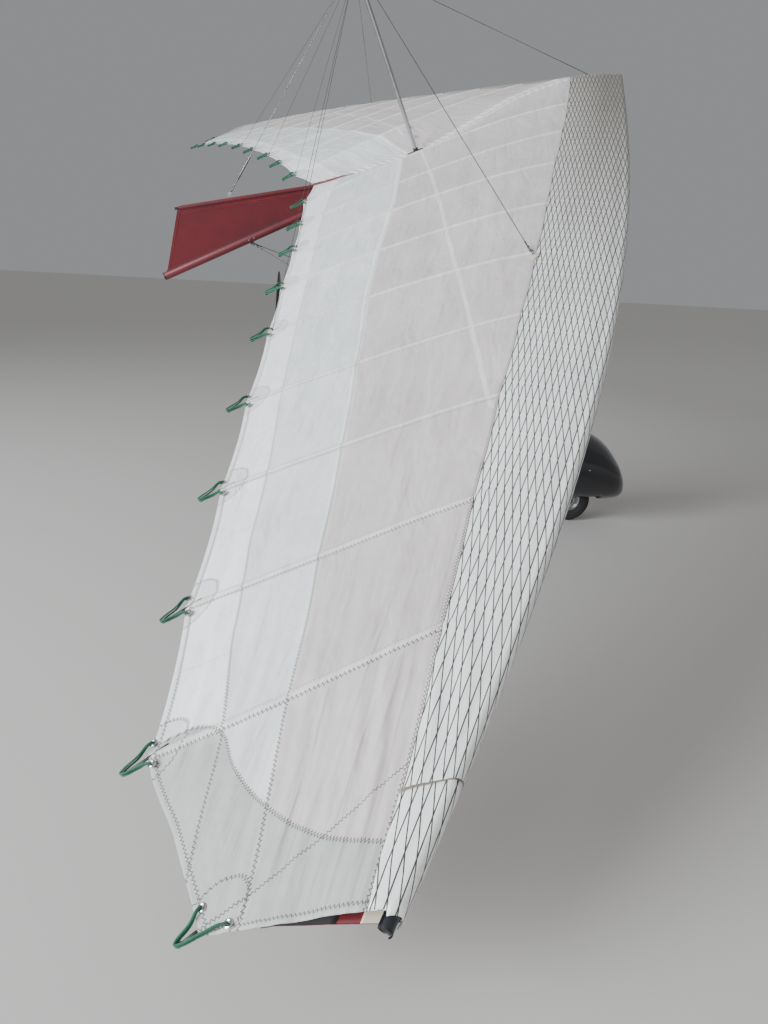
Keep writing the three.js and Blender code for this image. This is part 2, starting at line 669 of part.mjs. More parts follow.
// Main gear: an arm, a drag strut and a sprung strut on each side
const mainSide = (name, body, finish) => {
  place(trike, `${name}_left`, body, finish);
  place(trike, `${name}_right`, mirrored(body), finish);
};
const mainCentre = vec(MAIN_WHEEL_X, HALF_TRACK, MAIN_WHEEL_RADIUS);
const armOuter = vec(MAIN_WHEEL_X, HALF_TRACK - 105, MAIN_WHEEL_RADIUS);
const armInner = vec(MAIN_WHEEL_X - 60, 0, 354);
const stub = [armOuter.clone().add(vec(0, -12, 0)), mainCentre.clone().add(vec(0, 62, 0))];
const brakeEnds = across(mainCentre, HALF_TRACK + BRAKE.from, HALF_TRACK + BRAKE.to);
const brakePlate = rod(...brakeEnds, BRAKE.radius, { sides: 24 });
const armTube = rod(armInner, armOuter, 23, { sides: 16 });
const arm = cut(join(armTube, rod(...stub, 13), brakePlate), beamGrown);
const armGrown = rod(armInner, armOuter, 23, { sides: 16, grown: GAP });
const armAt = (t) => armInner.clone().lerp(armOuter, t);
const drag = cut(rod(vec(DRAG_X, 0, 392), armAt(0.93), 14), beamGrown, armGrown);
const spring = cut(rod(onMast(SPRING_TOP_Z), armAt(0.84), 17, { sides: 16 }), mastGrown, armGrown);
mainSide("main_arm", arm, "darkAlloy");
mainSide("drag_strut", drag, "darkAlloy");
mainSide("spring_strut", spring, "steel");
mainSide("main_tyre", tyreOf(mainCentre, MAIN_WHEEL_RADIUS, MAIN_TYRE_WIDTH, MAIN_RIM), "rubber");
mainSide("main_hub", hubOf(mainCentre, MAIN_RIM - GAP, 92, 13), "alloy");

// Spats: the upper shell of an ellipsoid over each main wheel
function ellipsoid(centre, radii, wall = 0, sides = 22) {
  const shape = new THREE.SphereGeometry(1, sides, sides / 2);
  shape.rotateX(Math.PI / 2);
  shape.scale(radii.x - wall, radii.y - wall, radii.z - wall);
  return solid(shape.translate(centre.x, centre.y, centre.z));
}
const spatCentre = mainCentre.clone().add(vec(-25, 0, 35));
const spatShell = cut(ellipsoid(spatCentre, SPAT), ellipsoid(spatCentre, SPAT, 5));
const belowSpat = block(vec(-1200, 400, 0), vec(400, 1300, SPAT_SKIRT_Z));
const armHole = rod(armAt(0.6), armOuter, 23, { sides: 16, grown: GAP });
const stubHole = rod(...stub, 13, { grown: GAP });
mainSide("spat", cut(spatShell, belowSpat, armHole, stubHole), "gloss");

// Engine bed: two rails on the mast, with struts down to the beam's end
const railZ = BED_TOP - RAIL.height / 2;
const rail = (side) => {
  const ends = [vec(RAIL.front, side * RAIL.y, railZ), vec(RAIL.rear, side * RAIL.y, railZ)];
  return beam(...ends, RAIL.width, RAIL.height);
};
const bedCross = (x) => block(vec(x - 20, -RAIL.y - 10, BED_TOP - 30), vec(x + 20, RAIL.y + 10, BED_TOP));
const bedStrut = (side) => {
  const top = vec(BED_STRUT.top, side * RAIL.y, BED_TOP - 20);
  return rod(top, vec(BED_STRUT.foot, side * 12, BED_STRUT.footZ), BED_STRUT.radius);
};
const bed = join(rail(1), rail(-1), ...BED_CROSS_X.map(bedCross), bedStrut(1), bedStrut(-1));
place(trike, "engine_bed", cut(bed, mastGrown, beamGrown), "darkAlloy");

// Engine: case, sump, feet and flywheel housing
const BOTH = [1, -1];
const crankcase = block(vec(CASE.rear, -CASE.half, CASE.low), vec(CASE.front, CASE.half, CASE.high));
const sump = block(vec(SUMP.rear, -SUMP.half, SUMP.low), vec(SUMP.front, SUMP.half, CASE.low + 5));
const foot = (x, side) => {
  const middle = vec(x, side * RAIL.y, (BED_TOP + GAP + FOOT.top) / 2);
  const half = vec(FOOT.half, FOOT.width / 2, (FOOT.top - BED_TOP - GAP) / 2);
  return block(middle.clone().sub(half), middle.add(half));
};
const feet = FOOT.x.flatMap((x) => BOTH.map((side) => foot(x, side)));
const onCrank = (x, z = CRANK_Z) => vec(x, 0, z);
const flywheel = rod(onCrank(CASE.front - 10), onCrank(FLYWHEEL.front), FLYWHEEL.radius, { sides: 24 });
const oilTop = vec(OIL_FILTER.x, OIL_FILTER.y, CASE.low + 10);
const oilFilter = rod(oilTop, oilTop.clone().setZ(OIL_FILTER.low), OIL_FILTER.radius);
const tankEnds = [onCrank(COOLANT_TANK.x, CASE.high - 10), onCrank(COOLANT_TANK.x, COOLANT_TANK.top)];
const coolantTank = rod(...tankEnds, COOLANT_TANK.radius);

// Cylinders: finned barrel, head, rocker cover and two plugs each
const cylinder = (x, side) => {
  const at = (y, z = BARREL.z) => vec(x, side * y, z);
  const finAt = (i) => {
    const y = FIN.from + FIN.pitch * i;
    return rod(at(y), at(y + FIN.thickness), FIN.radius, { sides: 12 });
  };
  const slab = (half, y, { low, high }) => {
    const [near, far] = side > 0 ? y : [-y[1], -y[0]];
    return block(vec(x - half, near, low), vec(x + half, far, high));
  };
  const plug = (aside) => {
    const [from, to] = [PLUG.from, PLUG.to].map((y) => vec(x + aside, side * (y - 10), PLUG.z));
    return rod(from, to, PLUG.radius, { sides: 8 });
  };
  return join(
    rod(at(BARREL.from), at(BARREL.to), BARREL.radius, { sides: 12 }),
    ...Array.from({ length: FIN.count }, (_, i) => finAt(i)),
    slab(HEAD.half, [HEAD.from, HEAD.to], HEAD),
    slab(COVER.half, [HEAD.to - 5, COVER.to], COVER),
    plug(PLUG.aside),
    plug(-PLUG.aside),
  );
};
const cylinders = CYLINDER_X.flatMap((x) => BOTH.map((side) => cylinder(x, side)));

// Intake side: a pipe from each head to a carburettor with its filter
const intake = (side) => {
  const at = (x, y = INTAKE.y, z = INTAKE.z) => vec(x, side * y, z);
  const pipes = CYLINDER_X.map((x) => {
    const bend = [at(x, INTAKE.y + 90, HEAD.high - 8), at(x, INTAKE.y + 84, INTAKE.z - 24)];
    bend.push(at((x + INTAKE.join) / 2, INTAKE.y + 30), at(INTAKE.join, INTAKE.y));
    return pipe(bend, INTAKE.radius, 6, 7);
  });
  const body = rod(at(CARBURETTOR.front), at(CARBURETTOR.rear), CARBURETTOR.radius, { sides: 12 });
  const bowl = rod(at(-610, INTAKE.y, INTAKE.z - 52), at(-610), 26, { sides: 12 });
  const filter = rod(at(CARBURETTOR.rear + 8), at(AIR_FILTER.rear), AIR_FILTER.radius, { sides: 18 });
  return join(...pipes, body, bowl, filter);
};
const engine = join(
  crankcase,
  sump,
  flywheel,
  oilFilter,
  coolantTank,
  ...feet,
  ...cylinders,
  ...BOTH.map(intake),
);
place(trike, "engine", engine, "steel");

// Gearbox with its flange, collar and shaft
const gearFace = onCrank(CASE.rear - GAP, GEARBOX.z);
const gearbox = join(
  rod(gearFace, onCrank(GEARBOX.rear, GEARBOX.z), GEARBOX.radius, { sides: 28 }),
  rod(gearFace, onCrank(CASE.rear - GEARBOX.flangeDepth, GEARBOX.z), GEARBOX.flange, { sides: 28 }),
  rod(onCrank(GEARBOX.rear), onCrank(COLLAR.rear), COLLAR.radius, { sides: 24 }),
  rod(onCrank(COLLAR.rear + 5), onCrank(SHAFT.rear), SHAFT.radius),
);
place(trike, "gearbox", gearbox, "alloy");

// Exhaust: short pipes from the left heads, long ones under the sump from the right heads
const headFloor = HEAD.low - GAP;
const { under, head: headY, radius: pipeRadius } = EXHAUST_PIPE;
const leftPipe = (x) => {
  const top = vec(x, headY, headFloor);
  return rod(top, vec(x, headY, MUFFLER.z + 10), pipeRadius + 2);
};
const rightPipe = (x) => {
  const bends = [vec(x, -headY, headFloor), vec(x, -headY, under + 50), vec(x, -headY + 50, under)];
  bends.push(vec(x, MUFFLER.y - 60, under), vec(x, MUFFLER.y - 20, under + 32));
  return pipe(bends, pipeRadius, 12);
};
const inMuffler = (x) => vec(x, MUFFLER.y, MUFFLER.z);
const tailEnd = vec(TAIL_PIPE.x, TAIL_PIPE.y, TAIL_PIPE.z);
const muffler = join(
  rod(inMuffler(MUFFLER.front), inMuffler(MUFFLER.rear), MUFFLER.radius, { sides: 20 }),
  ...CYLINDER_X.flatMap((x) => [leftPipe(x), rightPipe(x)]),
  rod(inMuffler(TAIL_PIPE.x).setY(MUFFLER.y + 20), tailEnd, TAIL_PIPE.radius),
);
place(trike, "exhaust", muffler, "steel");
const radiatorTop = BED_TOP - 30 - GAP;
const radiatorLow = vec(RADIATOR.rear, -RADIATOR.half, RADIATOR.low);
const radiatorHigh = vec(RADIATOR.front, RADIATOR.half, radiatorTop);
place(trike, "radiator", block(radiatorLow, radiatorHigh), "darkAlloy");

// Propeller: a hub on the gearbox shaft, and twisted blades
function bladeRing({ r, chord, thickness, angle }) {
  const count = 10;
  return Array.from({ length: count }, (_, i) => {
    const turn = (2 * Math.PI * i) / count;
    const along0 = (chord / 2) * Math.cos(turn);
    const across0 = (thickness / 2) * Math.sin(turn);
    const twist = THREE.MathUtils.degToRad(angle);
    const x = PROP_X + along0 * Math.sin(twist) + across0 * Math.cos(twist);
    return vec(x, along0 * Math.cos(twist) - across0 * Math.sin(twist), r);
  });
}
const blade = loft(BLADE.map(bladeRing));
const spinnerCone = { sides: 28, endRadius: SPINNER.tipRadius };
const propHub = join(
  rod(onCrank(SPINNER.front - GAP), onCrank(SPINNER.rear), SPINNER.radius, { sides: 28 }),
  rod(onCrank(SPINNER.rear), onCrank(SPINNER.tip), SPINNER.radius - 4, spinnerCone),
);
const blades = Array.from({ length: BLADES }, (_, i) =>
  blade.rotate([(360 / BLADES) * i, 0, 0]).translate([0, 0, CRANK_Z]),
);
const shaftEnds = [onCrank(COLLAR.rear + 5), onCrank(SHAFT.rear - 1)];
const shaftBore = rod(...shaftEnds, SHAFT.radius, { grown: GAP, running: true });
place(trike, "propeller", cut(join(propHub, ...blades), shaftBore), "gloss");

// Seat frame, seats and the tank under the rear seat
const seatRail = (side, grown = 0) => {
  const y = side * SEAT_RAIL_Y;
  const bends = [vec(-352, y, 560), vec(50, y, 560), vec(120, y, 452), vec(485, y, 452)];
  const runs = bends.slice(1).map((bend, i) => rod(bends[i], bend, 12, { sides: 8, grown }));
  return join(...runs, ...bends.map((bend) => ball(bend, 12 + grown)));
};
const seatCross = (x, z) => rod(vec(x, -SEAT_RAIL_Y, z), vec(x, SEAT_RAIL_Y, z), 12, { sides: 8 });
const crossings = [seatCross(-352, 560), seatCross(120, 452), seatCross(485, 452)];
const seatFrame = join(seatRail(1), seatRail(-1), ...crossings);
place(trike, "seat_frame", cut(seatFrame, beamGrown, mastGrown), "darkAlloy");

const railSpace = [seatRail(1, GAP), seatRail(-1, GAP)];
place(trike, "front_seat", cut(plate(FRONT_SEAT, 0, 380), ...railSpace), "seat");
place(trike, "rear_seat", cut(plate(REAR_SEAT, 0, 400), mastGrown), "seat");
const tank = block(vec(-315, -165, 370), vec(30, 165, 545));
place(trike, "fuel_tank", cut(tank, beamGrown), "gloss");

// Pod: a hollow fairing round the feet, open behind, with a post that holds it to the beam
function podRing({ x, half, low, high }, inset = 0) {
  const count = 24;
  return Array.from({ length: count }, (_, i) => {
    const turn = (2 * Math.PI * (i + 0.5)) / count;
    const round = (value) => Math.sign(value) * Math.abs(value) ** 0.8;
    const y = (half - inset) * round(Math.cos(turn));
    const z = (low + high) / 2 + ((high - low) / 2 - inset) * round(Math.sin(turn));
    return vec(x, y, z);
  });
}
const podOuter = loft(POD.map((row) => podRing(row)));
const inner = POD.slice(1).map((row) => podRing({ ...row, x: row.x - POD_WALL }, POD_WALL));
inner.push(podRing({ ...POD.at(-1), x: POD.at(-1).x - 100 }, POD_WALL));
const podInner = loft(inner);
const cockpit = plate([[DECK_EDGE_X, 1400], [DECK_EDGE_X, 690], [300, 450], [300, 1400]], 0, 900);
const wheelArch = block(vec(DECK_EDGE_X + 12, -150, 0), vec(1562, 150, 440));
const postSpace = block(vec(POD_POST_X, -60, 150), vec(POD_POST_X + POD_WALL, 60, 500));
const podPost = podOuter.intersect(postSpace);
const pod = cut(join(cut(podOuter, podInner), podPost), cockpit, wheelArch, beamGrown);
place(trike, "pod", pod, "gloss");

const panel = block(vec(1060, -150, 560), vec(1096, 150, 725));
place(trike, "instrument_panel", cut(panel, strutGrown), "seat");

const screenCentre = vec(930, 0, 745);
const screenShell = cut(ellipsoid(screenCentre, SCREEN, 0, 28), ellipsoid(screenCentre, SCREEN, 4, 28));
const screenSpace = block(vec(SCREEN_BACK_X, -400, 500), vec(1500, 400, SCREEN_TOP_Z));
const screen = cut(screenShell.intersect(screenSpace), podOuter.translate([0, 0, GAP]));
place(trike, "windscreen", screen, "glass");

export default model;
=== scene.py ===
"""Looks of a two-seat flexwing microlight trike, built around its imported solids.

Metres, +X forward, +Y left, +Z up. The wing is made in its own frame, x along the keel from
the hang point, and is then laid over as it is parked: nose up, right tip low.
"""

import logging
import math
from dataclasses import dataclass
from enum import Enum
from typing import Callable, Iterable, Sequence

import bmesh
import bpy
from mathutils import Matrix, Vector, noise

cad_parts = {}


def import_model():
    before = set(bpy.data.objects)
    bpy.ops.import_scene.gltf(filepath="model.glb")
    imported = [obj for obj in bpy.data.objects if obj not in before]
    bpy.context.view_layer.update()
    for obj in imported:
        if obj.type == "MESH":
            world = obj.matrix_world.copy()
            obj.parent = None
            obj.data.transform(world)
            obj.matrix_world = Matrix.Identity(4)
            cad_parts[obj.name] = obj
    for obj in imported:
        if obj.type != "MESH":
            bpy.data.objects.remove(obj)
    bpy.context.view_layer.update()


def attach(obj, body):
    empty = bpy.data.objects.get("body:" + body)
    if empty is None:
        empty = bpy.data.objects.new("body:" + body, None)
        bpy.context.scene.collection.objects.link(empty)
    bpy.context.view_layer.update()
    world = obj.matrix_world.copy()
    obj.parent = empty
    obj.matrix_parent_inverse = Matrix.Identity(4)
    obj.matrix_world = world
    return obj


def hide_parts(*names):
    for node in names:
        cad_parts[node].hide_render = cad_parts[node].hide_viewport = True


LOG = logging.getLogger("trike")
MM = 0.001
WAVE_PERIOD = 0.314
PHOTO_HEIGHT = 1024

SHIFT = Vector((0.2483, -0.0413, 0.0))
HANG_HEIGHT = 2.552
NOSE_UP = math.radians(25.6)
BANK = math.radians(20.2)
TRIKE_FRAME = Matrix.Translation(SHIFT)
HANG_FRAME = Matrix.Translation(SHIFT + Vector((0, 0, HANG_HEIGHT))) @ Matrix.Rotation(-NOSE_UP, 4, "Y")
WING_FRAME = HANG_FRAME @ Matrix.Rotation(BANK, 4, "X")

Point = Sequence[float]
Table = Sequence[tuple[float, float]]
Socket = bpy.types.NodeSocket
SIDES = ((1, "left"), (-1, "right"))


class Body(Enum):
    """The moving bodies that pieces ride on."""

    TRIKE = "trike"
    FORK = "nose_fork"
    NOSE_WHEEL = "nose_wheel"
    LEFT_WHEEL = "main_wheel_left"
    RIGHT_WHEEL = "main_wheel_right"
    PROPELLER = "propeller"
    BRACKET = "hang_bracket"
    WING = "wing"

    @property
    def frame(self) -> Matrix:
        """The frame in which pieces of this body are made."""
        return {Body.WING: WING_FRAME, Body.BRACKET: HANG_FRAME}.get(self, TRIKE_FRAME)


class Grain(Enum):
    """The small pattern of a surface."""

    MOTTLED = "mottled"
    BRUSHED = "brushed"
    WOVEN = "woven"
    PEBBLED = "pebbled"
    RIBBED = "ribbed"


def vy(length: float) -> Vector:
    """A step across the machine, to the left."""
    return Vector((0, length, 0))


def vz(length: float) -> Vector:
    """A step upwards."""
    return Vector((0, 0, length))


def mirrored(side: int) -> Matrix:
    """Keeps what is on the left (1), or puts it on the right (-1)."""
    return Matrix.Diagonal((1, side, 1, 1))


def linear(code: str, alpha: float = 1.0) -> tuple[float, float, float, float]:
    """Turns an sRGB hex colour to linear.

    Args:
        code: six hex digits.
        alpha: opacity.

    Returns:
        Red, green, blue and alpha.
    """
    parts = [int(code[i : i + 2], 16) / 255 for i in (0, 2, 4)]
    lit = [c / 12.92 if c <= 0.04045 else ((c + 0.055) / 1.055) ** 2.4 for c in parts]
    return lit[0], lit[1], lit[2], alpha


class Recipe:
    """A material and its node tree while it is put together."""

    def __init__(self, name: str) -> None:
        """Starts a material with only its shader and output.

        Args:
            name: the material's name.
        """
        self.material = bpy.data.materials.new(name)
        self.material.use_nodes = True
        self.shader = self.material.node_tree.nodes["Principled BSDF"]

    def add(self, kind: str, *values: object, out: int | str = 0, **settings: object) -> Socket:
        """Adds a node, sets it and fills its inputs in order.

        Args:
            kind: the node's type, without its prefix.
            values: a socket, a constant, or None for an input that is left alone.
            out: which output is returned.
            settings: the node's own settings.

        Returns:
            The output socket.
        """
        node = self.material.node_tree.nodes.new("ShaderNode" + kind)
        for key, value in settings.items():
            setattr(node, key, value)
        for socket, value in zip(node.inputs, values):
            self.fill(socket, value)
        return node.outputs[out]

    def fill(self, socket: Socket, value: object) -> None:
        """Links or sets one input."""
        if isinstance(value, Socket):
            self.material.node_tree.links.new(value, socket)
        elif value is not None:
            socket.default_value = value

    def shade(self, **inputs: object) -> bpy.types.Material:
        """Fills the shader's inputs, named with underscores for spaces."""
        for key, value in inputs.items():
            self.fill(self.shader.inputs[key.replace("_", " ")], value)
        return self.material


class Surface:
    """A finish that makes its material once."""

    name: str

    def make(self) -> bpy.types.Material:
        """Gives the material, and draws it the first time.

        Returns:
            The material.
        """
        known = bpy.data.materials.get(self.name)
        if known:
            return known
        recipe = Recipe(self.name)
        self.draw(recipe)
        return recipe.material

    def draw(self, recipe: Recipe) -> None:
        """Draws the material's nodes into its recipe."""
        raise NotImplementedError


@dataclass(frozen=True)
class Finish(Surface):
    """A finish with one small pattern: two tones, a range of roughness and a little relief.

    Attributes:
        name: the real material.
        tone: main colour, sRGB hex.
        worn: second colour, where it is dusty, worn or dark.
        rough: lowest and highest roughness.
        pitch: size of the pattern in millimetres.
        relief: height of the pattern in millimetres.
        grain: kind of pattern.
        metal: 1 for bare metal.
        coat: weight of a clear coat.
        sheen: weight of the fibres' sheen.
    """

    name: str
    tone: str
    worn: str
    rough: tuple[float, float]
    pitch: float
    relief: float = 0.05
    grain: Grain = Grain.MOTTLED
    metal: float = 0.0
    coat: float = 0.0
    sheen: float = 0.0

    def pattern(self, recipe: Recipe, place: Socket) -> Socket:
        """Draws the small pattern, from 0 to 1.

        Args:
            recipe: the material.
            place: object coordinates in metres.

        Returns:
            The pattern's socket.
        """
        scale = 1 / (self.pitch * MM)
        bands = WAVE_PERIOD * scale
        if self.grain is Grain.WOVEN:
            warp = recipe.add("TexWave", place, bands, 0.6, 2.0, bands_direction="X")
            weft = recipe.add("TexWave", place, bands, 0.6, 2.0, bands_direction="Z")
            fill = recipe.add("TexWave", place, bands, 0.6, 2.0, bands_direction="Y")
            both = recipe.add("Math", warp, weft, operation="MULTIPLY")
            return recipe.add("Math", both, fill, operation="ADD")
        if self.grain is Grain.PEBBLED:
            return recipe.add("TexVoronoi", place, None, scale)
        if self.grain is Grain.RIBBED:
            return recipe.add("TexWave", place, bands, 0.3, 1.0, bands_direction="Z")
        stretch = (1.0, 1.0, 0.04) if self.grain is Grain.BRUSHED else (1.0, 1.0, 1.0)
        drawn = recipe.add("Mapping", place, None, None, stretch)
        return recipe.add("TexNoise", drawn, None, scale, 4.0, 0.55)

    def draw(self, recipe: Recipe) -> None:
        """Draws two tones, a range of roughness and the relief of the small pattern.

        Args:
            recipe: the material.
        """
        place = recipe.add("TexCoord", out="Object")
        small = self.pattern(recipe, place)
        patch = recipe.add("TexNoise", place, None, 3.5, 5.0, 0.6)
        blend = recipe.add("MapRange", patch, 0.42, 0.72, 0.0, 0.8)
        fine = recipe.add("Math", small, 0.25, operation="MULTIPLY")
        both = recipe.add("Math", blend, fine, operation="ADD", use_clamp=True)
        colour = recipe.add("ValToRGB", both)
        ramp = colour.node.color_ramp
        ramp.elements[0].color = linear(self.tone)
        ramp.elements[1].color = linear(self.worn)
        rough = recipe.add("MapRange", patch, 0.3, 0.75, *self.rough)
        bump = recipe.add("Bump", 0.6, self.relief * MM, None, small)
        recipe.fill(recipe.shader.inputs["Normal"], bump)
        recipe.shade(
            Base_Color=colour,
            Roughness=rough,
            Metallic=self.metal,
            Coat_Weight=self.coat,
            Coat_Roughness=0.05,
            Sheen_Weight=self.sheen,
        )


class Piece:
    """A mesh made in the frame of the body that carries it."""

    def __init__(self, name: str, body: Body, slot: str, finish: Surface, covers: Iterable[str] = ()) -> None:
        """Starts an empty mesh.

        Args:
            name: the piece's name.
            body: the body that it rides on.
            slot: the record's material slot; it is kept on the piece but not used.
            finish: the surface that makes its material.
            covers: solids that this piece stands for.
        """
        self.name = name
        self.body = body
        self.slot = slot
        self.finish = finish
        self.covers = tuple(covers)
        self.bm = bmesh.new()

    @staticmethod
    def lie(centre: Point, axis: Point, spin: float = 0.0) -> Matrix:
        """Lays a frame at a centre, with its z along an axis.

        Args:
            centre: the frame's origin.
            axis: direction of its z.
            spin: turn about that axis.

        Returns:
            The frame.
        """
        turn = Vector(axis).to_track_quat("Z", "Y").to_matrix().to_4x4()
        return Matrix.Translation(Vector(centre)) @ turn @ Matrix.Rotation(spin, 4, "Z")

    @staticmethod
    def edges_of(verts: Iterable[bmesh.types.BMVert]) -> list[bmesh.types.BMEdge]:
        """The edges that meet at some corners, each once, always in the same order."""
        return list(dict.fromkeys(e for v in verts for e in v.link_edges))

    def soften(self, verts: Iterable[bmesh.types.BMVert], width: float, steps: int, caps: bool) -> None:
        """Rounds the edges of a shape.

        Args:
            verts: the shape's corners.
            width: width of the rounding.
            steps: faces across it.
            caps: round only the edges of its end faces.
        """
        edges = self.edges_of(verts)
        if caps:
            edges = [e for e in edges if any(len(f.verts) > 4 for f in e.link_faces)]
        bmesh.ops.bevel(
            self.bm,
            geom=edges,
            offset=width,
            offset_type="OFFSET",
            affect="EDGES",
            segments=steps,
            profile=0.5,
            material=-1,
            clamp_overlap=True,
        )

    def bar(
        self, a: Point, b: Point, radius: float, end: float | None = None, sides: int = 24, edge: float = 0.0
    ) -> "Piece":
        """Adds a round bar.

        Args:
            a: first end.
            b: second end.
            radius: radius at the first end.
            end: radius at the second end, if it differs.
            sides: number of sides.
            edge: width of the rounding at its ends.

        Returns:
            The piece.
        """
        first, last = Vector(a), Vector(b)
        made = bmesh.ops.create_cone(
            self.bm,
            cap_ends=True,
            segments=sides,
            radius1=radius,
            radius2=radius if end is None else end,
            depth=(last - first).length,
            matrix=self.lie((first + last) / 2, last - first),
        )
        if edge:
            self.soften(made["verts"], edge, 2, True)
        return self

    def box(self, low: Point, high: Point, edge: float = 0.003, frame: Matrix | None = None) -> "Piece":
        """Adds a block with rounded edges between two corners.

        Args:
            low: lowest corner.
            high: highest corner.
            edge: width of the rounding.
            frame: frame of the corners, if it isn't the piece's own.

        Returns:
            The piece.
        """
        first, last = Vector(low), Vector(high)
        place = Matrix.Translation((first + last) / 2) @ Matrix.Diagonal((*(last - first), 1))
        made = bmesh.ops.create_cube(self.bm, size=1, matrix=(frame or Matrix()) @ place)
        if edge:
            self.soften(made["verts"], edge, 2, False)
        return self

    def beam(self, a: Point, b: Point, width: float, height: float, edge: float = 0.003) -> "Piece":
        """Adds a bar of square section; its width lies across, its height upright.

        Args:
            a: first end.
            b: second end.
            width: its width.
            height: its height.
            edge: width of the rounding.

        Returns:
            The piece.
        """
        first, last = Vector(a), Vector(b)
        half = (last - first).length / 2
        frame = self.lie((first + last) / 2, last - first)
        return self.box((-width / 2, -height / 2, -half), (width / 2, height / 2, half), edge, frame)

    def turned(self, profile: Table, centre: Point, axis: Point, sides: int = 48) -> "Piece":
        """Spins a profile round an axis.

        Args:
            profile: pairs of radius and height.
            centre: the place of height 0.
            axis: direction of the axis.
            sides: number of steps round it.

        Returns:
            The piece.
        """
        frame = self.lie(centre, axis)
        verts = [self.bm.verts.new(frame @ Vector((r, 0, h))) for r, h in profile]
        edges = [self.bm.edges.new(pair) for pair in zip(verts, verts[1:])]
        bmesh.ops.spin(
            self.bm,
            geom=verts + edges,
            cent=frame.translation,
            axis=frame.to_3x3() @ vz(1),
            angle=2 * math.pi,
            steps=sides,
            use_merge=True,
            use_duplicate=False,
        )
        return self

    def ball(self, centre: Point, size: Point | float, detail: int = 16) -> "Piece":
        """Adds an ellipsoid.

        Args:
            centre: its middle.
            size: its radius, or one for each axis.
            detail: half the number of steps round it.

        Returns:
            The piece.
        """
        scale = Vector((size, size, size)) if isinstance(size, float) else Vector(size)
        place = Matrix.Translation(Vector(centre)) @ Matrix.Diagonal((*scale, 1))
        bmesh.ops.create_uvsphere(self.bm, u_segments=2 * detail, v_segments=detail, radius=1, matrix=place)
        return self

    def skin(self, frames: Sequence[Matrix], sides: int = 24, caps: bool = True) -> "Piece":
        """Bridges circles one after another.

        Args:
            frames: place, size and turn of each circle.
            sides: number of its sides.
            caps: close the ends.

        Returns:
            The piece.
        """
        rings = []
        for frame in frames:
            ring = bmesh.ops.create_circle(self.bm, cap_ends=False, radius=1, segments=sides, matrix=frame)
            rings.append(self.edges_of(ring["verts"]))
        for near, far in zip(rings, rings[1:]):
            bmesh.ops.bridge_loops(self.bm, edges=near + far)
        if caps:
            bmesh.ops.holes_fill(self.bm, edges=rings[0] + rings[-1], sides=sides)
        return self

    def tube(self, points: Sequence[Point], radius: float, sides: int = 6, sharp: bool = False) -> "Piece":
        """Adds a round tube along points, smoothly curved or with straight runs.

        Args:
            points: the centreline.
            radius: radius of the tube.
            sides: half the number of its sides.
            sharp: straight runs between the points.

        Returns:
            The piece.
        """
        curve = bpy.data.curves.new("run", "CURVE")
        curve.dimensions = "3D"
        curve.bevel_depth = radius
        curve.bevel_resolution = max(0, sides // 2 - 1)
        curve.use_fill_caps = True
        curve.resolution_u = 5
        spline = curve.splines.new("POLY" if sharp else "BEZIER")
        if sharp:
            spline.points.add(len(points) - 1)
            for knot, place in zip(spline.points, points):
                knot.co = (*place, 1)
        else:
            spline.bezier_points.add(len(points) - 1)
            for knot, place in zip(spline.bezier_points, points):
                knot.co = place
                knot.handle_left_type = knot.handle_right_type = "AUTO"
        holder = bpy.data.objects.new("run", curve)
        mesh = bpy.data.meshes.new_from_object(holder)
        self.bm.from_mesh(mesh)
        bpy.data.objects.remove(holder)
        bpy.data.curves.remove(curve)
        bpy.data.meshes.remove(mesh)
        return self

    def bolt(self, centre: Point, axis: Point, size: float, length: float = 0.0) -> "Piece":
        """Adds a hexagon head on a washer.

        Args:
            centre: seat of the head.
            axis: direction in which the head points.
            size: radius of the head.
            length: distance to a nut at the far end, or 0 for none.

        Returns:
            The piece.
        """
        spot, out = Vector(centre), Vector(axis).normalized()
        self.bar(spot, spot + out * size * 0.25, size * 1.15, sides=20)
        self.bar(spot, spot + out * size * 0.85, size, sides=6, edge=size * 0.08)
        if length:
            far = spot - out * length
            self.bar(far, far - out * size * 0.25, size * 1.15, sides=20)
            self.bar(far, far - out * size * 0.9, size, sides=6, edge=size * 0.08)
            self.bar(far, far - out * size * 1.4, size * 0.5, sides=12)
        return self

    def row(self, points: Iterable[Point]) -> list[bmesh.types.BMVert]:
        """Adds a row of corners."""
        return [self.bm.verts.new(point) for point in points]

    def web(self, rows: Sequence[Sequence[bmesh.types.BMVert]], loop: bool = False) -> "Piece":
        """Fills four-sided faces between rows of corners.

        Args:
            rows: the rows, one after another.
            loop: each row closes on itself, and the first and last are filled.

        Returns:
            The piece.
        """
        for near, far in zip(rows, rows[1:]):
            for i in range(len(near) if loop else len(near) - 1):
                j = (i + 1) % len(near)
                self.bm.faces.new((near[i], near[j], far[j], far[i]))
        if loop:
            self.bm.faces.new(rows[0])
            self.bm.faces.new(rows[-1])
        return self

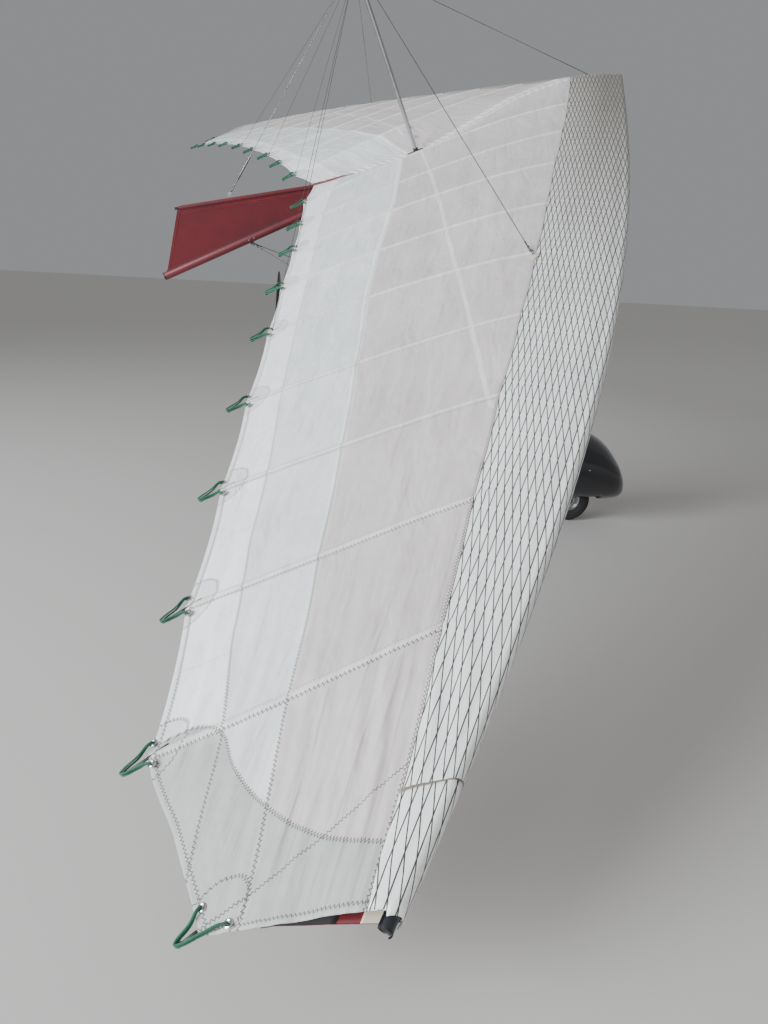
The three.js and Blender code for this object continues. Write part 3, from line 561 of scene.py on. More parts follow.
    def finished(
        self, crease: float = 35.0, levels: int = 0, wall: float = 0.0, closed: bool = True
    ) -> bpy.types.Object:
        """Turns the mesh into an object in the row frame and hands it to its body.

        Args:
            crease: angle in degrees past which an edge stays sharp.
            levels: subdivision levels.
            wall: thickness given to an open shell.
            closed: whether the normals are recalculated.

        Returns:
            The object.
        """
        bmesh.ops.remove_doubles(self.bm, verts=self.bm.verts[:], dist=1e-5)
        if closed:
            bmesh.ops.recalc_face_normals(self.bm, faces=self.bm.faces[:])
        bmesh.ops.transform(self.bm, matrix=self.body.frame, verts=self.bm.verts[:])
        mesh = bpy.data.meshes.new(self.name)
        self.bm.to_mesh(mesh)
        self.bm.free()
        mesh.polygons.foreach_set("use_smooth", [True] * len(mesh.polygons))
        mesh.set_sharp_from_angle(angle=math.radians(crease))
        mesh.materials.append(self.finish.make())
        made = bpy.data.objects.new(self.name, mesh)
        bpy.context.scene.collection.objects.link(made)
        if levels:
            rounder = made.modifiers.new("round", "SUBSURF")
            rounder.levels = rounder.render_levels = levels
        if wall:
            thicker = made.modifiers.new("wall", "SOLIDIFY")
            thicker.thickness = wall
            thicker.offset = -1
        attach(made, self.body.value)
        if self.covers:
            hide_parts(*self.covers)
        LOG.info("%s: %d faces", self.name, len(mesh.polygons))
        return made


def between(table: Table, x: float) -> float:
    """Reads a table of pairs at x, along a smooth curve through its rows.

    Args:
        table: pairs of x and value, x rising.
        x: where to read.

    Returns:
        The value.
    """
    rows = list(table)
    if x <= rows[0][0]:
        return rows[0][1]
    for i, (near, far) in enumerate(zip(rows, rows[1:])):
        if x <= far[0]:
            before = rows[i - 1] if i else near
            after = rows[i + 2] if i + 2 < len(rows) else far
            run = far[0] - near[0]
            t = (x - near[0]) / run
            m0 = (far[1] - before[1]) / (far[0] - before[0]) * run
            m1 = (after[1] - near[1]) / (after[0] - near[0]) * run
            return (
                (2 * t**3 - 3 * t**2 + 1) * near[1]
                + (t**3 - 2 * t**2 + t) * m0
                + (3 * t**2 - 2 * t**3) * far[1]
                + (t**3 - t**2) * m1
            )
    return rows[-1][1]


def straight(table: Table, x: float) -> float:
    """Reads a table of pairs at x, along straight lines.

    Args:
        table: pairs of x and value, x rising.
        x: where to read.

    Returns:
        The value.
    """
    for near, far in zip(table, table[1:]):
        if x <= far[0]:
            t = max(0.0, (x - near[0]) / (far[0] - near[0]))
            return near[1] + (far[1] - near[1]) * t
    return table[-1][1]


@dataclass(frozen=True)
class Cutter:
    """Draws the cloth's masks from distances in metres that are kept on the mesh.

    Attributes:
        recipe: the material.
        pitch: length of one zigzag, in metres.
        swing: how far a zigzag goes to either side, in metres.
        stitch: width of a stitch line, in metres.
    """

    recipe: Recipe
    pitch: float
    swing: float
    stitch: float

    def inside(self, dist: Socket, limit: float = 0.0, soft: float = 0.0015) -> Socket:
        """Marks the side of a line.

        Args:
            dist: distance from the line.
            limit: the distance past which it counts.
            soft: half the width of the soft edge.

        Returns:
            1 where the distance is above the limit.
        """
        return self.recipe.add("MapRange", dist, limit - soft, limit + soft, 0.0, 1.0)

    def near(self, dist: Socket, width: float, soft: float = 0.0008) -> Socket:
        """Marks a band along a line.

        Args:
            dist: distance from the line.
            width: how far the band goes to either side.
            soft: half the width of its soft edge.

        Returns:
            1 on the band.
        """
        size = self.recipe.add("Math", dist, operation="ABSOLUTE")
        return self.recipe.add("MapRange", size, width - soft, width + soft, 1.0, 0.0)

    def zigzags(self, run: Socket, *lines: tuple[Socket, float]) -> Socket:
        """Zigzag stitches along lines.

        Args:
            run: a length that grows along those lines.
            lines: the distance from each line and how far to one side of it the stitch lies.

        Returns:
            1 on a stitch.
        """
        tooth = self.recipe.add("Math", run, self.pitch / 2, operation="PINGPONG")
        swung = self.recipe.add("MapRange", tooth, 0.0, self.pitch / 2, -self.swing, self.swing)
        masks = []
        for dist, offset in lines:
            moved = self.recipe.add("Math", dist, offset, operation="SUBTRACT")
            masks.append(self.near(self.recipe.add("Math", moved, swung, operation="ADD"), self.stitch / 2))
        return self.either(*masks)

    def times(self, first: Socket, second: Socket | float) -> Socket:
        """The product of two values."""
        return self.recipe.add("Math", first, second, operation="MULTIPLY")

    def either(self, *masks: Socket) -> Socket:
        """The strongest of several masks.

        Args:
            masks: the masks.

        Returns:
            The highest of their values.
        """
        whole = masks[0]
        for mask in masks[1:]:
            whole = self.recipe.add("Math", whole, mask, operation="MAXIMUM")
        return whole

    def over(self, base: Socket | Point, tone: str, mask: Socket) -> Socket:
        """Lays one colour over another.

        Args:
            base: the colour below.
            tone: the colour above, sRGB hex.
            mask: 1 where it covers.

        Returns:
            The mixed colour.
        """
        mix = self.recipe.add("Mix", mask, data_type="RGBA", out=2)
        self.recipe.fill(mix.node.inputs[6], base)
        self.recipe.fill(mix.node.inputs[7], linear(tone))
        return mix


@dataclass(frozen=True)
class SailCloth(Surface):
    """Woven polyester sailcloth in sewn panels, with a scrim laminate along the leading edge.

    It gives the eye soft whites of different warmth, creases that run along the span, zigzag
    seams, batten pockets, and the slim black diamonds of the laminate's yarns.

    Attributes:
        name: the real material.
        main: the front panel.
        rear: the panel behind it.
        strip: the panel along the trailing edge.
        tip: the tip panel.
        laminate: film of the leading edge.
        pocket: doubled cloth of batten pockets and patches.
        nose_shade_tone: painted shade on the leading edge near the nose.
        front_shade_tone: painted shade on the front of the leading edge near the nose.
        thread: stitches.
        yarn: the laminate's net.
        diamond: width and length of one mesh of the net, in metres.
        yarn_width: width of one yarn at the nose and at the tip, in metres.
        pitch: length of one zigzag, in metres.
        swing: how far a zigzag goes to either side, in metres.
        stitch: width of a stitch line, in metres.
    """

    name: str = "polyester_sailcloth"
    main: str = "D3CCC8"
    rear: str = "E4E9E8"
    strip: str = "FBFDFD"
    tip: str = "B9BBB7"
    laminate: str = "FAFBF8"
    pocket: str = "EEEBE5"
    nose_shade_tone: str = "A19C8F"
    front_shade_tone: str = "6F6655"
    thread: str = "55554F"
    yarn: str = "0E1012"
    diamond: tuple[float, float] = (0.0232, 0.180)
    yarn_width: tuple[float, float] = (0.0050, 0.0028)
    pitch: float = 0.0120
    swing: float = 0.0042
    stitch: float = 0.0042

    def net(self, recipe: Recipe, across: Socket, along: Socket) -> Socket:
        """Draws the laminate's net: two families of yarns that cross in slim diamonds.

        Args:
            recipe: the material.
            across: pattern place across the net, in metres.
            along: pattern place along it.

        Returns:
            1 on a yarn.
        """
        half, length = self.diamond[0] / 2, self.diamond[1] / 2
        span = recipe.add("Attribute", attribute_name="keel", out="Fac")
        edge = recipe.add("MapRange", span, 0.0, 5.0, self.yarn_width[0] / 2, self.yarn_width[1] / 2)
        inner = recipe.add("Math", edge, 0.7, operation="MULTIPLY")
        outer = recipe.add("Math", edge, 1.3, operation="MULTIPLY")
        wide = recipe.add("Math", across, half, operation="DIVIDE")
        long = recipe.add("Math", along, length, operation="DIVIDE")
        nets = []
        for way in ("ADD", "SUBTRACT"):
            family = recipe.add("Math", wide, long, operation=way)
            bent = recipe.add("Math", family, 1.0, operation="PINGPONG")
            metres = recipe.add("Math", bent, half, operation="MULTIPLY")
            nets.append(recipe.add("MapRange", metres, inner, outer, 1.0, 0.0))
        return recipe.add("Math", *nets, operation="MAXIMUM")

    def creases(self, recipe: Recipe, uv: Socket, sharp: Socket, pleated: Socket) -> Socket:
        """Draws soft folds along the span and the sharper crinkles that folding has left.

        Args:
            recipe: the material.
            uv: pattern place.
            sharp: strength of the crinkles.
            pleated: strength of the gathered pleats.

        Returns:
            The height of the folds.
        """
        drawn = recipe.add("Mapping", uv, None, None, (9.0, 3.2, 1.0))
        folds = recipe.add("TexNoise", drawn, None, 1.0, 3.0, 0.5, None, None, None, 0.45)
        turned = recipe.add("Mapping", uv, None, (0.0, 0.0, 0.6), (17.0, 2.6, 1.0))
        crinkle = recipe.add(
            "TexNoise", turned, None, 1.0, 2.0, 0.5, 2.2, 1.0, 2.0, 0.25, noise_type="RIDGED_MULTIFRACTAL"
        )
        gathered = recipe.add("Mapping", uv, None, (0.0, 0.0, -0.25), (34.0, 2.2, 1.0))
        pleats = recipe.add("TexNoise", gathered, None, 1.0, 1.0, 0.5, None, None, None, 0.6)
        soft = recipe.add("Math", crinkle, sharp, operation="MULTIPLY")
        tight = recipe.add("Math", pleats, pleated, soft, operation="MULTIPLY_ADD")
        return recipe.add("Math", folds, tight, operation="ADD")

    def draw(self, recipe: Recipe) -> None:
        """Draws the sail's panels, pockets, stitches and net, its tints and its relief.

        Args:
            recipe: the material.
        """
        r = recipe
        keys = ("band", "mid", "rear", "tip", "batten", "wand", "patch", "hem", "end", "stripe", "keel")
        keys += ("aft", "nose", "arc", "round")
        seam = {k: r.add("Attribute", attribute_name=k, out="Fac") for k in keys}
        uv = r.add("UVMap", uv_map="cloth")
        axes = r.add("SeparateXYZ", uv)
        across, along = axes.node.outputs[0], axes.node.outputs[1]
        cut = Cutter(r, self.pitch, self.swing, self.stitch)
        band = cut.inside(seam["band"])
        keel = cut.near(seam["keel"], 0.072, 0.0015)

        colour = cut.over(linear(self.main), self.rear, cut.inside(seam["mid"]))
        colour = cut.over(colour, self.strip, cut.inside(seam["rear"]))
        colour = cut.over(colour, self.tip, cut.inside(seam["tip"]))
        doubled = r.add("MapRange", seam["keel"], 1.5, 4.2, 0.9, 0.1)
        colour = cut.over(colour, self.strip, cut.times(cut.near(seam["mid"], 0.014), doubled))
        colour = cut.over(colour, self.pocket, cut.times(cut.near(seam["batten"], 0.015), 0.75))
        colour = cut.over(colour, self.pocket, cut.times(cut.near(seam["stripe"], 0.010), 0.8))
        colour = cut.over(colour, self.strip, cut.times(keel, 0.55))
        around = cut.inside(cut.times(seam["patch"], -1.0))
        colour = cut.over(colour, self.tip, cut.times(around, 0.35))
        hems = cut.either(cut.near(seam["hem"], 0.025), cut.near(seam["end"], 0.025))
        colour = cut.over(colour, self.tip, cut.times(hems, 0.4))
        outward = r.add("Math", seam["keel"], 1.07, operation="MULTIPLY")
        slant = r.add("Math", seam["aft"], 0.927, outward, operation="MULTIPLY_ADD")
        threads = cut.either(
            cut.zigzags(seam["keel"], (seam["mid"], 0.0), (seam["rear"], 0.0), (seam["hem"], 0.020)),
            cut.zigzags(along, (seam["band"], -0.007), (seam["nose"], 0.0)),
            cut.zigzags(seam["aft"], (seam["batten"], 0.013)),
            cut.times(cut.zigzags(seam["aft"], (seam["batten"], -0.013)), 0.30),
            cut.zigzags(seam["aft"], (seam["end"], 0.020), (seam["keel"], 0.068)),
            cut.zigzags(seam["arc"], (seam["tip"], 0.0)),
            cut.zigzags(slant, (seam["wand"], 0.0)),
            cut.zigzags(seam["round"], (seam["patch"], 0.0)),
        )
        plain = r.add("MapRange", seam["keel"], 2.0, 4.1, 0.22, 0.95)
        colour = cut.over(colour, self.thread, cut.times(threads, plain))
        colour = cut.over(colour, self.laminate, band)
        # painted shade: the leading edge film is darkened towards the nose, fading out along the span
        dusty = r.add("MapRange", seam["keel"], 0.2, 3.4, 0.85, 0.0)
        colour = cut.over(colour, self.nose_shade_tone, cut.times(band, dusty))
        # painted shade: the front of the leading edge near the nose, which faces away from the light, is
        # darkened
        front = r.add("MapRange", seam["band"], 0.02, 0.24, 0.0, 1.0)
        front_shade_fade = r.add("MapRange", seam["keel"], 0.1, 2.6, 0.9, 0.0)
        colour = cut.over(colour, self.front_shade_tone, cut.times(front, front_shade_fade))
        net = cut.times(self.net(r, across, along), band)
        colour = cut.over(colour, self.yarn, cut.times(net, 0.95))

        place = r.add("TexCoord", out="Object")
        cloud = r.add("TexNoise", place, None, 2.2, 5.0, 0.6)
        weave = r.add("TexNoise", uv, None, 260.0, 2.0, 0.6)
        sharp = r.add("MapRange", seam["keel"], 1.5, 4.0, 0.06, 0.05)
        outboard = r.add("MapRange", seam["keel"], 3.7, 4.5, 0.0, 0.60)
        forward = r.add("MapRange", seam["mid"], -0.25, 0.15, 1.0, 0.25)
        creases = self.creases(r, uv, sharp, cut.times(outboard, forward))
        shade = r.add("MapRange", cloud, 0.3, 0.7, 0.90, 1.04)
        fine = r.add("MapRange", weave, 0.3, 0.7, 0.975, 1.02)
        scuffs = r.add("TexNoise", uv, None, 22.0, 6.0, 0.65)
        worn = r.add("MapRange", scuffs, 0.3, 0.7, 0.955, 1.035)
        tint = cut.times(cut.times(shade, fine), worn)
        bright = r.add("HueSaturation", 0.5, 1.0, tint, 1.0, colour)
        rough = r.add("MapRange", band, 0.0, 1.0, 0.58, 0.34)

        gathers = r.add("Math", cut.times(seam["aft"], 2 * math.pi / 0.052), operation="SINE")
        ruffle = cut.times(cut.times(gathers, keel), 0.12)
        loose = r.add("MapRange", band, 0.0, 1.0, 1.0, 0.25)
        raised = cut.times(cut.near(seam["mid"], 0.011, 0.004), cut.times(doubled, 0.14))
        folded = r.add("Math", cut.times(creases, loose), ruffle, operation="ADD")
        folded = r.add("Math", folded, raised, operation="ADD")
        first = r.add("Bump", 1.0, 0.017, None, folded)
        relief = r.add("Math", cut.times(cut.either(threads, net), 0.6), weave, operation="ADD")
        bump = r.add("Bump", 0.4, 0.0006, None, relief, first)
        r.fill(r.shader.inputs["Normal"], bump)
        r.shade(Base_Color=bright, Roughness=rough, Sheen_Weight=0.12)


@dataclass(frozen=True)
class SleeveFilm(SailCloth):
    """The same laminate in the slipped-on sleeve at the tip: pale film, black net."""

    name: str = "scrim_laminate_sleeve"

    def draw(self, recipe: Recipe) -> None:
        """Draws the film, its net and the sewn edge.

        Args:
            recipe: the material.
        """
        r = recipe
        uv = r.add("UVMap", uv_map="cloth")
        axes = r.add("SeparateXYZ", uv)
        net = self.net(r, axes.node.outputs[0], axes.node.outputs[1])
        cut = Cutter(r, self.pitch, self.swing, self.stitch)
        edge = r.add("Attribute", attribute_name="cuff", out="Fac")
        colour = cut.over(linear(self.laminate), self.yarn, cut.times(net, 0.95))
        colour = cut.over(colour, "8B8373", cut.times(cut.near(edge, 0.0045), 0.9))
        cloud = r.add("TexNoise", uv, None, 30.0, 3.0, 0.6)
        rough = r.add("MapRange", cloud, 0.3, 0.7, 0.30, 0.42)
        bump = r.add("Bump", 0.4, 0.0006, None, net)
        r.fill(r.shader.inputs["Normal"], bump)
        r.shade(Base_Color=colour, Roughness=rough)


SAIL = SailCloth()
# Coated undersurface cloth: a deep plain red with a soft weave
UNDER = Finish("coated_red_polyester", "6E161F", "58131B", (0.5, 0.68), 3.0, 0.05, Grain.WOVEN, sheen=0.1)
# Painted shade: a black sheet standing for the dark inside of the open tip, behind the lower skin's edge
TIP_SHADE = Finish("painted_shade_black_cloth", "1B1B1E", "2A2A2E", (0.6, 0.8), 3.0, 0.05, Grain.WOVEN, sheen=0.1)
# Anodised tube gone dull, with long drawing marks
DARK_TUBE = Finish("dark_anodised_tube", "4A4D52", "5E6166", (0.3, 0.5), 2.0, 0.02, Grain.BRUSHED, metal=1.0)
# Clear anodised tube: pale grey, faint drawing marks
PALE_TUBE = Finish(
    "clear_anodised_tube", "B9BCC0", "9A9DA1", (0.26, 0.45), 2.0, 0.02, Grain.BRUSHED, metal=1.0
)
# Stranded stainless wire: bright with dark gaps between strands; its grey is darkened as painted shade, for
# stays that lie in shade
WIRE = Finish("stranded_stainless_wire", "808285", "46484A", (0.25, 0.4), 1.2, 0.2, Grain.RIBBED, metal=1.0)
# Zinc plated steel fittings
PLATED = Finish("zinc_plated_steel", "A9ABAD", "7D7F82", (0.3, 0.5), 6.0, 0.03, Grain.MOTTLED, metal=1.0)
# Elastic cord in a woven cover: dark green with paler flecks
CORD = Finish("covered_elastic_cord", "0B4A33", "2A7A5A", (0.6, 0.8), 2.2, 0.3, Grain.WOVEN, sheen=0.2)
# Grey luff line, waxed
LINE = Finish("waxed_line", "3A3833", "55524B", (0.5, 0.7), 1.5, 0.2, Grain.WOVEN)
# Moulded nylon end caps and grips
NYLON = Finish("black_moulded_nylon", "16171A", "26272B", (0.4, 0.6), 1.6, 0.08, Grain.PEBBLED)
# Silver eyelets pressed in brass and plated
EYELET = Finish("plated_brass_eyelet", "D6D7D5", "A7A8A6", (0.15, 0.3), 4.0, 0.02, metal=1.0)

# Laminate of the slipped-on tip sleeve, net and all
SLEEVE = SleeveFilm()
# Deep red ripstop of the fin
FIN = Finish("red_fin_cloth", "6E1722", "50111B", (0.45, 0.62), 2.6, 0.06, Grain.WOVEN, sheen=0.15)
# The same red folded double and sewn
FIN_TAPE = Finish("red_doubled_tape", "96222F", "741824", (0.5, 0.66), 2.2, 0.08, Grain.WOVEN, sheen=0.15)
# Cream reinforcing patch
POCKET = Finish("cream_polyester_patch", "CFC4B0", "B8AD9B", (0.55, 0.7), 2.4, 0.08, Grain.WOVEN, sheen=0.1)


@dataclass(frozen=True)
class Ripple:
    """A soft random ripple of the cloth.

    Attributes:
        chordwise: waves to a metre along the chord.
        spanwise: waves to a metre along the span.
        seed: which ripple it is.
        height: its height.
        slant: how far its waves lie over towards the tip.
    """

    chordwise: float
    spanwise: float
    seed: float
    height: float
    slant: float = 0.0

    def at(self, y: float, back: float) -> float:
        """Its height at a distance from the keel and behind the leading edge."""
        spot = ((back + self.slant * y) * self.chordwise, y * self.spanwise, self.seed)
        return self.height * noise.noise(Vector(spot))


FOLDS = Ripple(9, 1.3, 3.1, 0.0050)
PLEATS = Ripple(17, 2.0, 8.4, 0.0022)
TIP_CREASES = Ripple(27, 1.2, 5.7, 0.0130, slant=0.35)
UNDER_SAG = Ripple(9, 2.0, 1.7, 0.004)


@dataclass
class Wing:
    """The flexwing: its cloth, tubes, wires and ties."""

    half_span: float = 5.031
    nose_x: float = 1.532
    sweep: float = math.radians(21.6)
    bow: float = 0.130
    hook: float = 0.611
    droop: float = 0.350
    rise: float = 0.231
    nose_drop: float = 0.022
    edge_radius: float = 0.034
    tail_height: float = 0.156
    tail_slope: float = 0.317
    tail_fall: float = 0.557
    tip_front: float = 5.005
    tip_rear: float = 4.917
    scallop: float = 0.012
    lean_from: float = 4.3
    past_tip: float = 5.2
    pocket_rise: float = 0.0055
    pocket_reach: float = 0.011
    calm_reach: float = 0.045
    crease_middle: float = 4.55
    crease_reach: float = 0.6
    billow: float = 0.012
    chords: Table = (
        (0, 2.256), (0.412, 2.208), (0.892, 2.077), (1.325, 1.973), (1.815, 1.867), (2.296, 1.746),
        (2.848, 1.605), (3.372, 1.449), (3.9, 1.274), (4.396, 1.062), (4.656, 0.806),
        (4.917, 0.5465),
    )
    battens: tuple[float, ...] = (0.412, 0.892, 1.325, 1.815, 2.296, 2.848, 3.372, 3.900, 4.396)
    batten_lean: tuple[float, ...] = (0.080, 0.050, 0.060, 0.055, 0.070, -0.030, -0.065, -0.115, -0.150)
    upper: Table = (
        (0.0, 0.0), (0.03, 0.012), (0.09, 0.025), (0.19, 0.039), (0.34, 0.048),
        (0.50, 0.045), (0.65, 0.036), (0.82, 0.021), (1.0, 0.0),
    )
    root: Table = (
        (0.0, 0.0), (0.03, 0.0116), (0.09, 0.0295), (0.19, 0.0461), (0.34, 0.0418),
        (0.50, 0.0116), (0.65, -0.0091), (0.82, -0.0090), (1.0, 0.0),
    )
    valley: tuple[float, float] = (0.055, 0.412)
    lower: Table = ((0.0, 0.0), (0.09, 0.0), (0.19, 0.002), (0.34, 0.008), (0.50, 0.018), (0.65, 0.030))
    band: Table = (
        (0, 0.351), (0.51, 0.37), (0.96, 0.393), (1.5, 0.42), (2.27, 0.421), (2.9, 0.404),
        (3.3, 0.382), (3.67, 0.347), (3.9, 0.313), (4.07, 0.287), (4.31, 0.239), (4.515, 0.192),
        (4.74, 0.144), (5.01, 0.078),
    )
    mid_seam: Table = (
        (0, 1.541), (0.5, 1.496), (1.07, 1.409), (1.66, 1.347), (2.2, 1.268), (2.9, 1.102),
        (3.38, 0.972), (3.74, 0.868), (4.03, 0.777), (4.38, 0.657), (4.64, 0.555), (4.8, 0.489),
        (5, 0.412),
    )
    rear_seam: Table = (
        (0, 2.061), (0.9, 1.92), (1.6, 1.762), (2.36, 1.581), (2.9, 1.428), (3.29, 1.291),
        (3.71, 1.155), (4.1, 0.996), (4.37, 0.856), (4.41, 0.832), (5, 0.592),
    )
    tip_seam: Table = (
        (0.049, 4.87), (0.125, 4.854), (0.216, 4.827), (0.32, 4.789), (0.442, 4.728),
        (0.553, 4.66), (0.656, 4.585), (0.748, 4.502), (0.83, 4.412), (0.963, 4.36), (1.213, 4.4),
    )
    stripe: Table = (
        (0.3, 1.403), (0.58, 1.32), (1.26, 1.121), (2.04, 0.895), (2.48, 0.744), (2.89, 0.599),
        (3.3, 0.44), (3.42, 0.382),
    )
    wand: Table = ((0.165, 4.677), (0.232, 4.73), (0.32, 4.789), (0.461, 4.868), (0.568, 4.905))
    nose_seam: Table = ((0, 0.371), (0.51, 0.402), (0.6, 0.402))
    tip_tie: Table = ((4.855, 0.586), (4.914, 0.475), (4.920, 0.597))
    cuff_from: float = 4.744
    cuff_lift: float = 0.0016
    cuff_shift: float = 0.011
    fill_step: float = 0.042
    chord_steps: int = 104
    arc_steps: int = 9
    arc_angle: float = 165.0
    crowding: float = 1.15
    under_steps: int = 33
    under_arc_steps: int = 3
    under_end: float = 0.665
    under_crowding: float = 1.1
    cuff_steps: int = 8
    cuff_arc_steps: int = 12
    cuff_angle: float = 170.0

    def edge(self, y: float) -> Vector:
        """The leading edge at a distance from the keel.

        Args:
            y: distance from the keel.

        Returns:
            The foremost point there.
        """
        s = y / self.half_span
        x = self.nose_x - y * math.tan(self.sweep) - self.bow * s**2 - self.hook * s**3
        drop = self.nose_drop * max(0.0, 1 - 4 * s) ** 2
        return Vector((x, y, self.rise * s * s - self.droop * s - drop))

    def tail(self, y: float) -> float:
        """Height of the trailing edge."""
        s = y / self.half_span
        return self.tail_height + self.tail_slope * s - self.tail_fall * s * s

    def chord(self, y: float) -> float:
        """Chord of the cloth, with a hollow between one batten and the next.

        Args:
            y: distance from the keel.

        Returns:
            The chord.
        """
        size = straight(self.chords, y)
        stops = (0.0, *self.battens)
        for near, far in zip(stops, stops[1:]):
            if near < y < far:
                part = (y - near) / (far - near)
                size -= self.scallop * 4 * part * (1 - part)
        if y > self.battens[-1]:
            size = between(self.chords[-4:], y)
        return size

    def batten_at(self, index: int, back: float) -> float:
        """Distance of a batten from the keel, at a distance behind the leading edge.

        Args:
            index: which batten, counted from the keel.
            back: distance behind the leading edge.

        Returns:
            The distance from the keel.
        """
        y = self.battens[index]
        part = 1 - min(1.0, max(0.0, back - self.edge_radius) / (self.chord(y) - self.edge_radius))
        return y + self.batten_lean[index] * part**2

    def columns(self) -> list[float]:
        """Leading edge places of the cloth's columns: close together at each batten.

        Returns:
            Distances from the keel.
        """
        heads = [y + lean for y, lean in zip(self.battens, self.batten_lean)]
        spots = [0.0, 0.03, 0.055, 0.09]
        spots += [head + step for head in heads for step in (-0.020, -0.013, -0.007, 0, 0.007, 0.013, 0.020)]
        spots += [self.tip_front - 0.012, self.tip_front]
        fills = []
        for near, far in zip(spots, spots[1:]):
            count = math.ceil((far - near) / self.fill_step)
            fills += [near + (far - near) * i / count for i in range(count)]
        return [*fills, self.tip_front]

    def follow(self, front: float, u: float) -> float:
        """Moves a column along with the lean of the battens beside it.

        Args:
            front: distance of its leading edge point from the keel.
            u: share of the chord, from nose tube to trailing edge.

        Returns:
            Distance of its point from the keel.
        """
        leans = [(0.0, 0.0)]
        leans += [(y + lean, lean) for y, lean in zip(self.battens, self.batten_lean)]
        leans.append((self.tip_front, 0.0))
        return front - straight(leans, front) * (1 - (1 - u) ** 2)

    def line(self, front: float, u: float) -> tuple[float, float, float]:
        """A point of the upper skin's plan.

        Args:
            front: distance of its leading edge point from the keel.
            u: share of the chord, from nose tube to trailing edge.

        Returns:
            Distance from the keel, distance behind the leading edge, and the chord.
        """
        share = max(0.0, (front - self.lean_from) / (self.tip_front - self.lean_from))
        lean = (self.tip_front - self.tip_rear) * share**2
        y = front - lean * u
        rear = front - lean
        tail_x = self.edge(rear).x - self.chord(rear)
        start = self.edge(front).x - self.edge_radius
        x = start - (start - tail_x) * u
        return y, self.edge(y).x - x, self.chord(rear)

    def relief(self, y: float, back: float, u: float) -> float:
        """Billow between the battens, their raised pockets, and soft folds.

        Args:
            y: distance from the keel.
            back: distance behind the leading edge.
            u: share of the chord.

        Returns:
            Height over the smooth skin.
        """
        height = 0.0
        marks = [self.batten_at(i, back) for i in range(len(self.battens))]
        stops = [0.0, *marks, self.past_tip]
        for near, far in zip(stops, stops[1:]):
            if near <= y < far:
                part = (y - near) / (far - near)
                height -= self.billow * math.sin(math.pi * part) ** 2 * math.sin(math.pi * min(u * 1.15, 1))
        gap = min(abs(y - m) for m in marks)
        rise = math.exp(-((gap / self.pocket_reach) ** 4)) * min(1.0, 12 * max(0.0, u - 0.1))
        height += self.pocket_rise * rise
        tight = max(0.0, 1 - abs(y - self.crease_middle) / self.crease_reach)
        ripple = FOLDS.at(y, back) + PLEATS.at(y, back) + TIP_CREASES.at(y, back) * tight
        calm = 1 - 0.85 * math.exp(-((gap / self.calm_reach) ** 2))
        return height + ripple * min(1.0, 8 * u) * min(1.0, 9 * (1 - u) + 0.25) * calm

    def upper_point(self, front: float, u: float) -> Vector:
        """A point of the upper skin behind the nose tube.

        Args:
            front: distance of its leading edge point from the keel.
            u: share of the chord.

        Returns:
            The point.
        """
        y, back, chord = self.line(front, u)
        nose = self.edge(front)
        tail = self.tail(self.line(front, 1.0)[0])
        height = nose.z * (1 - u) + tail * u + self.edge_radius * (1 - u) ** 3
        drawn = 1 - min(1.0, max(0.0, (y - self.valley[0]) / (self.valley[1] - self.valley[0])))
        rise = between(self.upper, u) * (1 - drawn) + between(self.root, u) * drawn
        height += chord * rise + self.relief(y, back, u)
        return Vector((self.edge(y).x - back, y, height))

    def nose_point(self, front: float, degrees: float, lift: float = 0.0) -> Vector:
        """A point of the cloth round the nose tube.

        Args:
            front: distance of its leading edge point from the keel.
            degrees: turn round the tube, from straight ahead up.
            lift: height over the cloth.

        Returns:
            The point.
        """
        turn = math.radians(degrees)
        centre = self.edge(front) - Vector((self.edge_radius, 0, 0))
        return centre + Vector((math.cos(turn), 0, math.sin(turn))) * (self.edge_radius + lift)

    def lower_point(self, front: float, u: float) -> Vector:
        """A point of the lower skin.

        Args:
            front: distance of its leading edge point from the keel.
            u: share of the chord.

        Returns:
            The point.
        """
        y, back, chord = self.line(front, u)
        nose = self.edge(front)
        tail = self.tail(self.line(front, 1.0)[0])
        base = nose.z * (1 - u) + tail * u
        belly = base - self.edge_radius * (1 - u) ** 3 + chord * between(self.lower, u)
        roof = self.upper_point(front, u).z - 0.006 if u > 0.3 else belly
        return Vector((self.edge(y).x - back, y, min(belly + UNDER_SAG.at(y, back), roof)))

    def top(self, y: float, back: float) -> Vector:
        """The upper skin's point at a distance from the keel and behind the leading edge.

        Args:
            y: distance from the keel.
            back: distance behind the leading edge.

        Returns:
            The point.
        """
        front, u = y, 0.0
        for _ in range(8):
            here, behind = self.line(front, u)[:2]
            front += y - here
            u = max(0.0, u + (back - behind) / (self.chord(min(y, self.tip_rear)) - self.edge_radius))
        return self.upper_point(front, u)

    def arc(self, y: float) -> float:
        """Length along the leading edge from the nose, close enough for a pattern."""
        return y * 1.03 + 0.034 * y * y / self.half_span

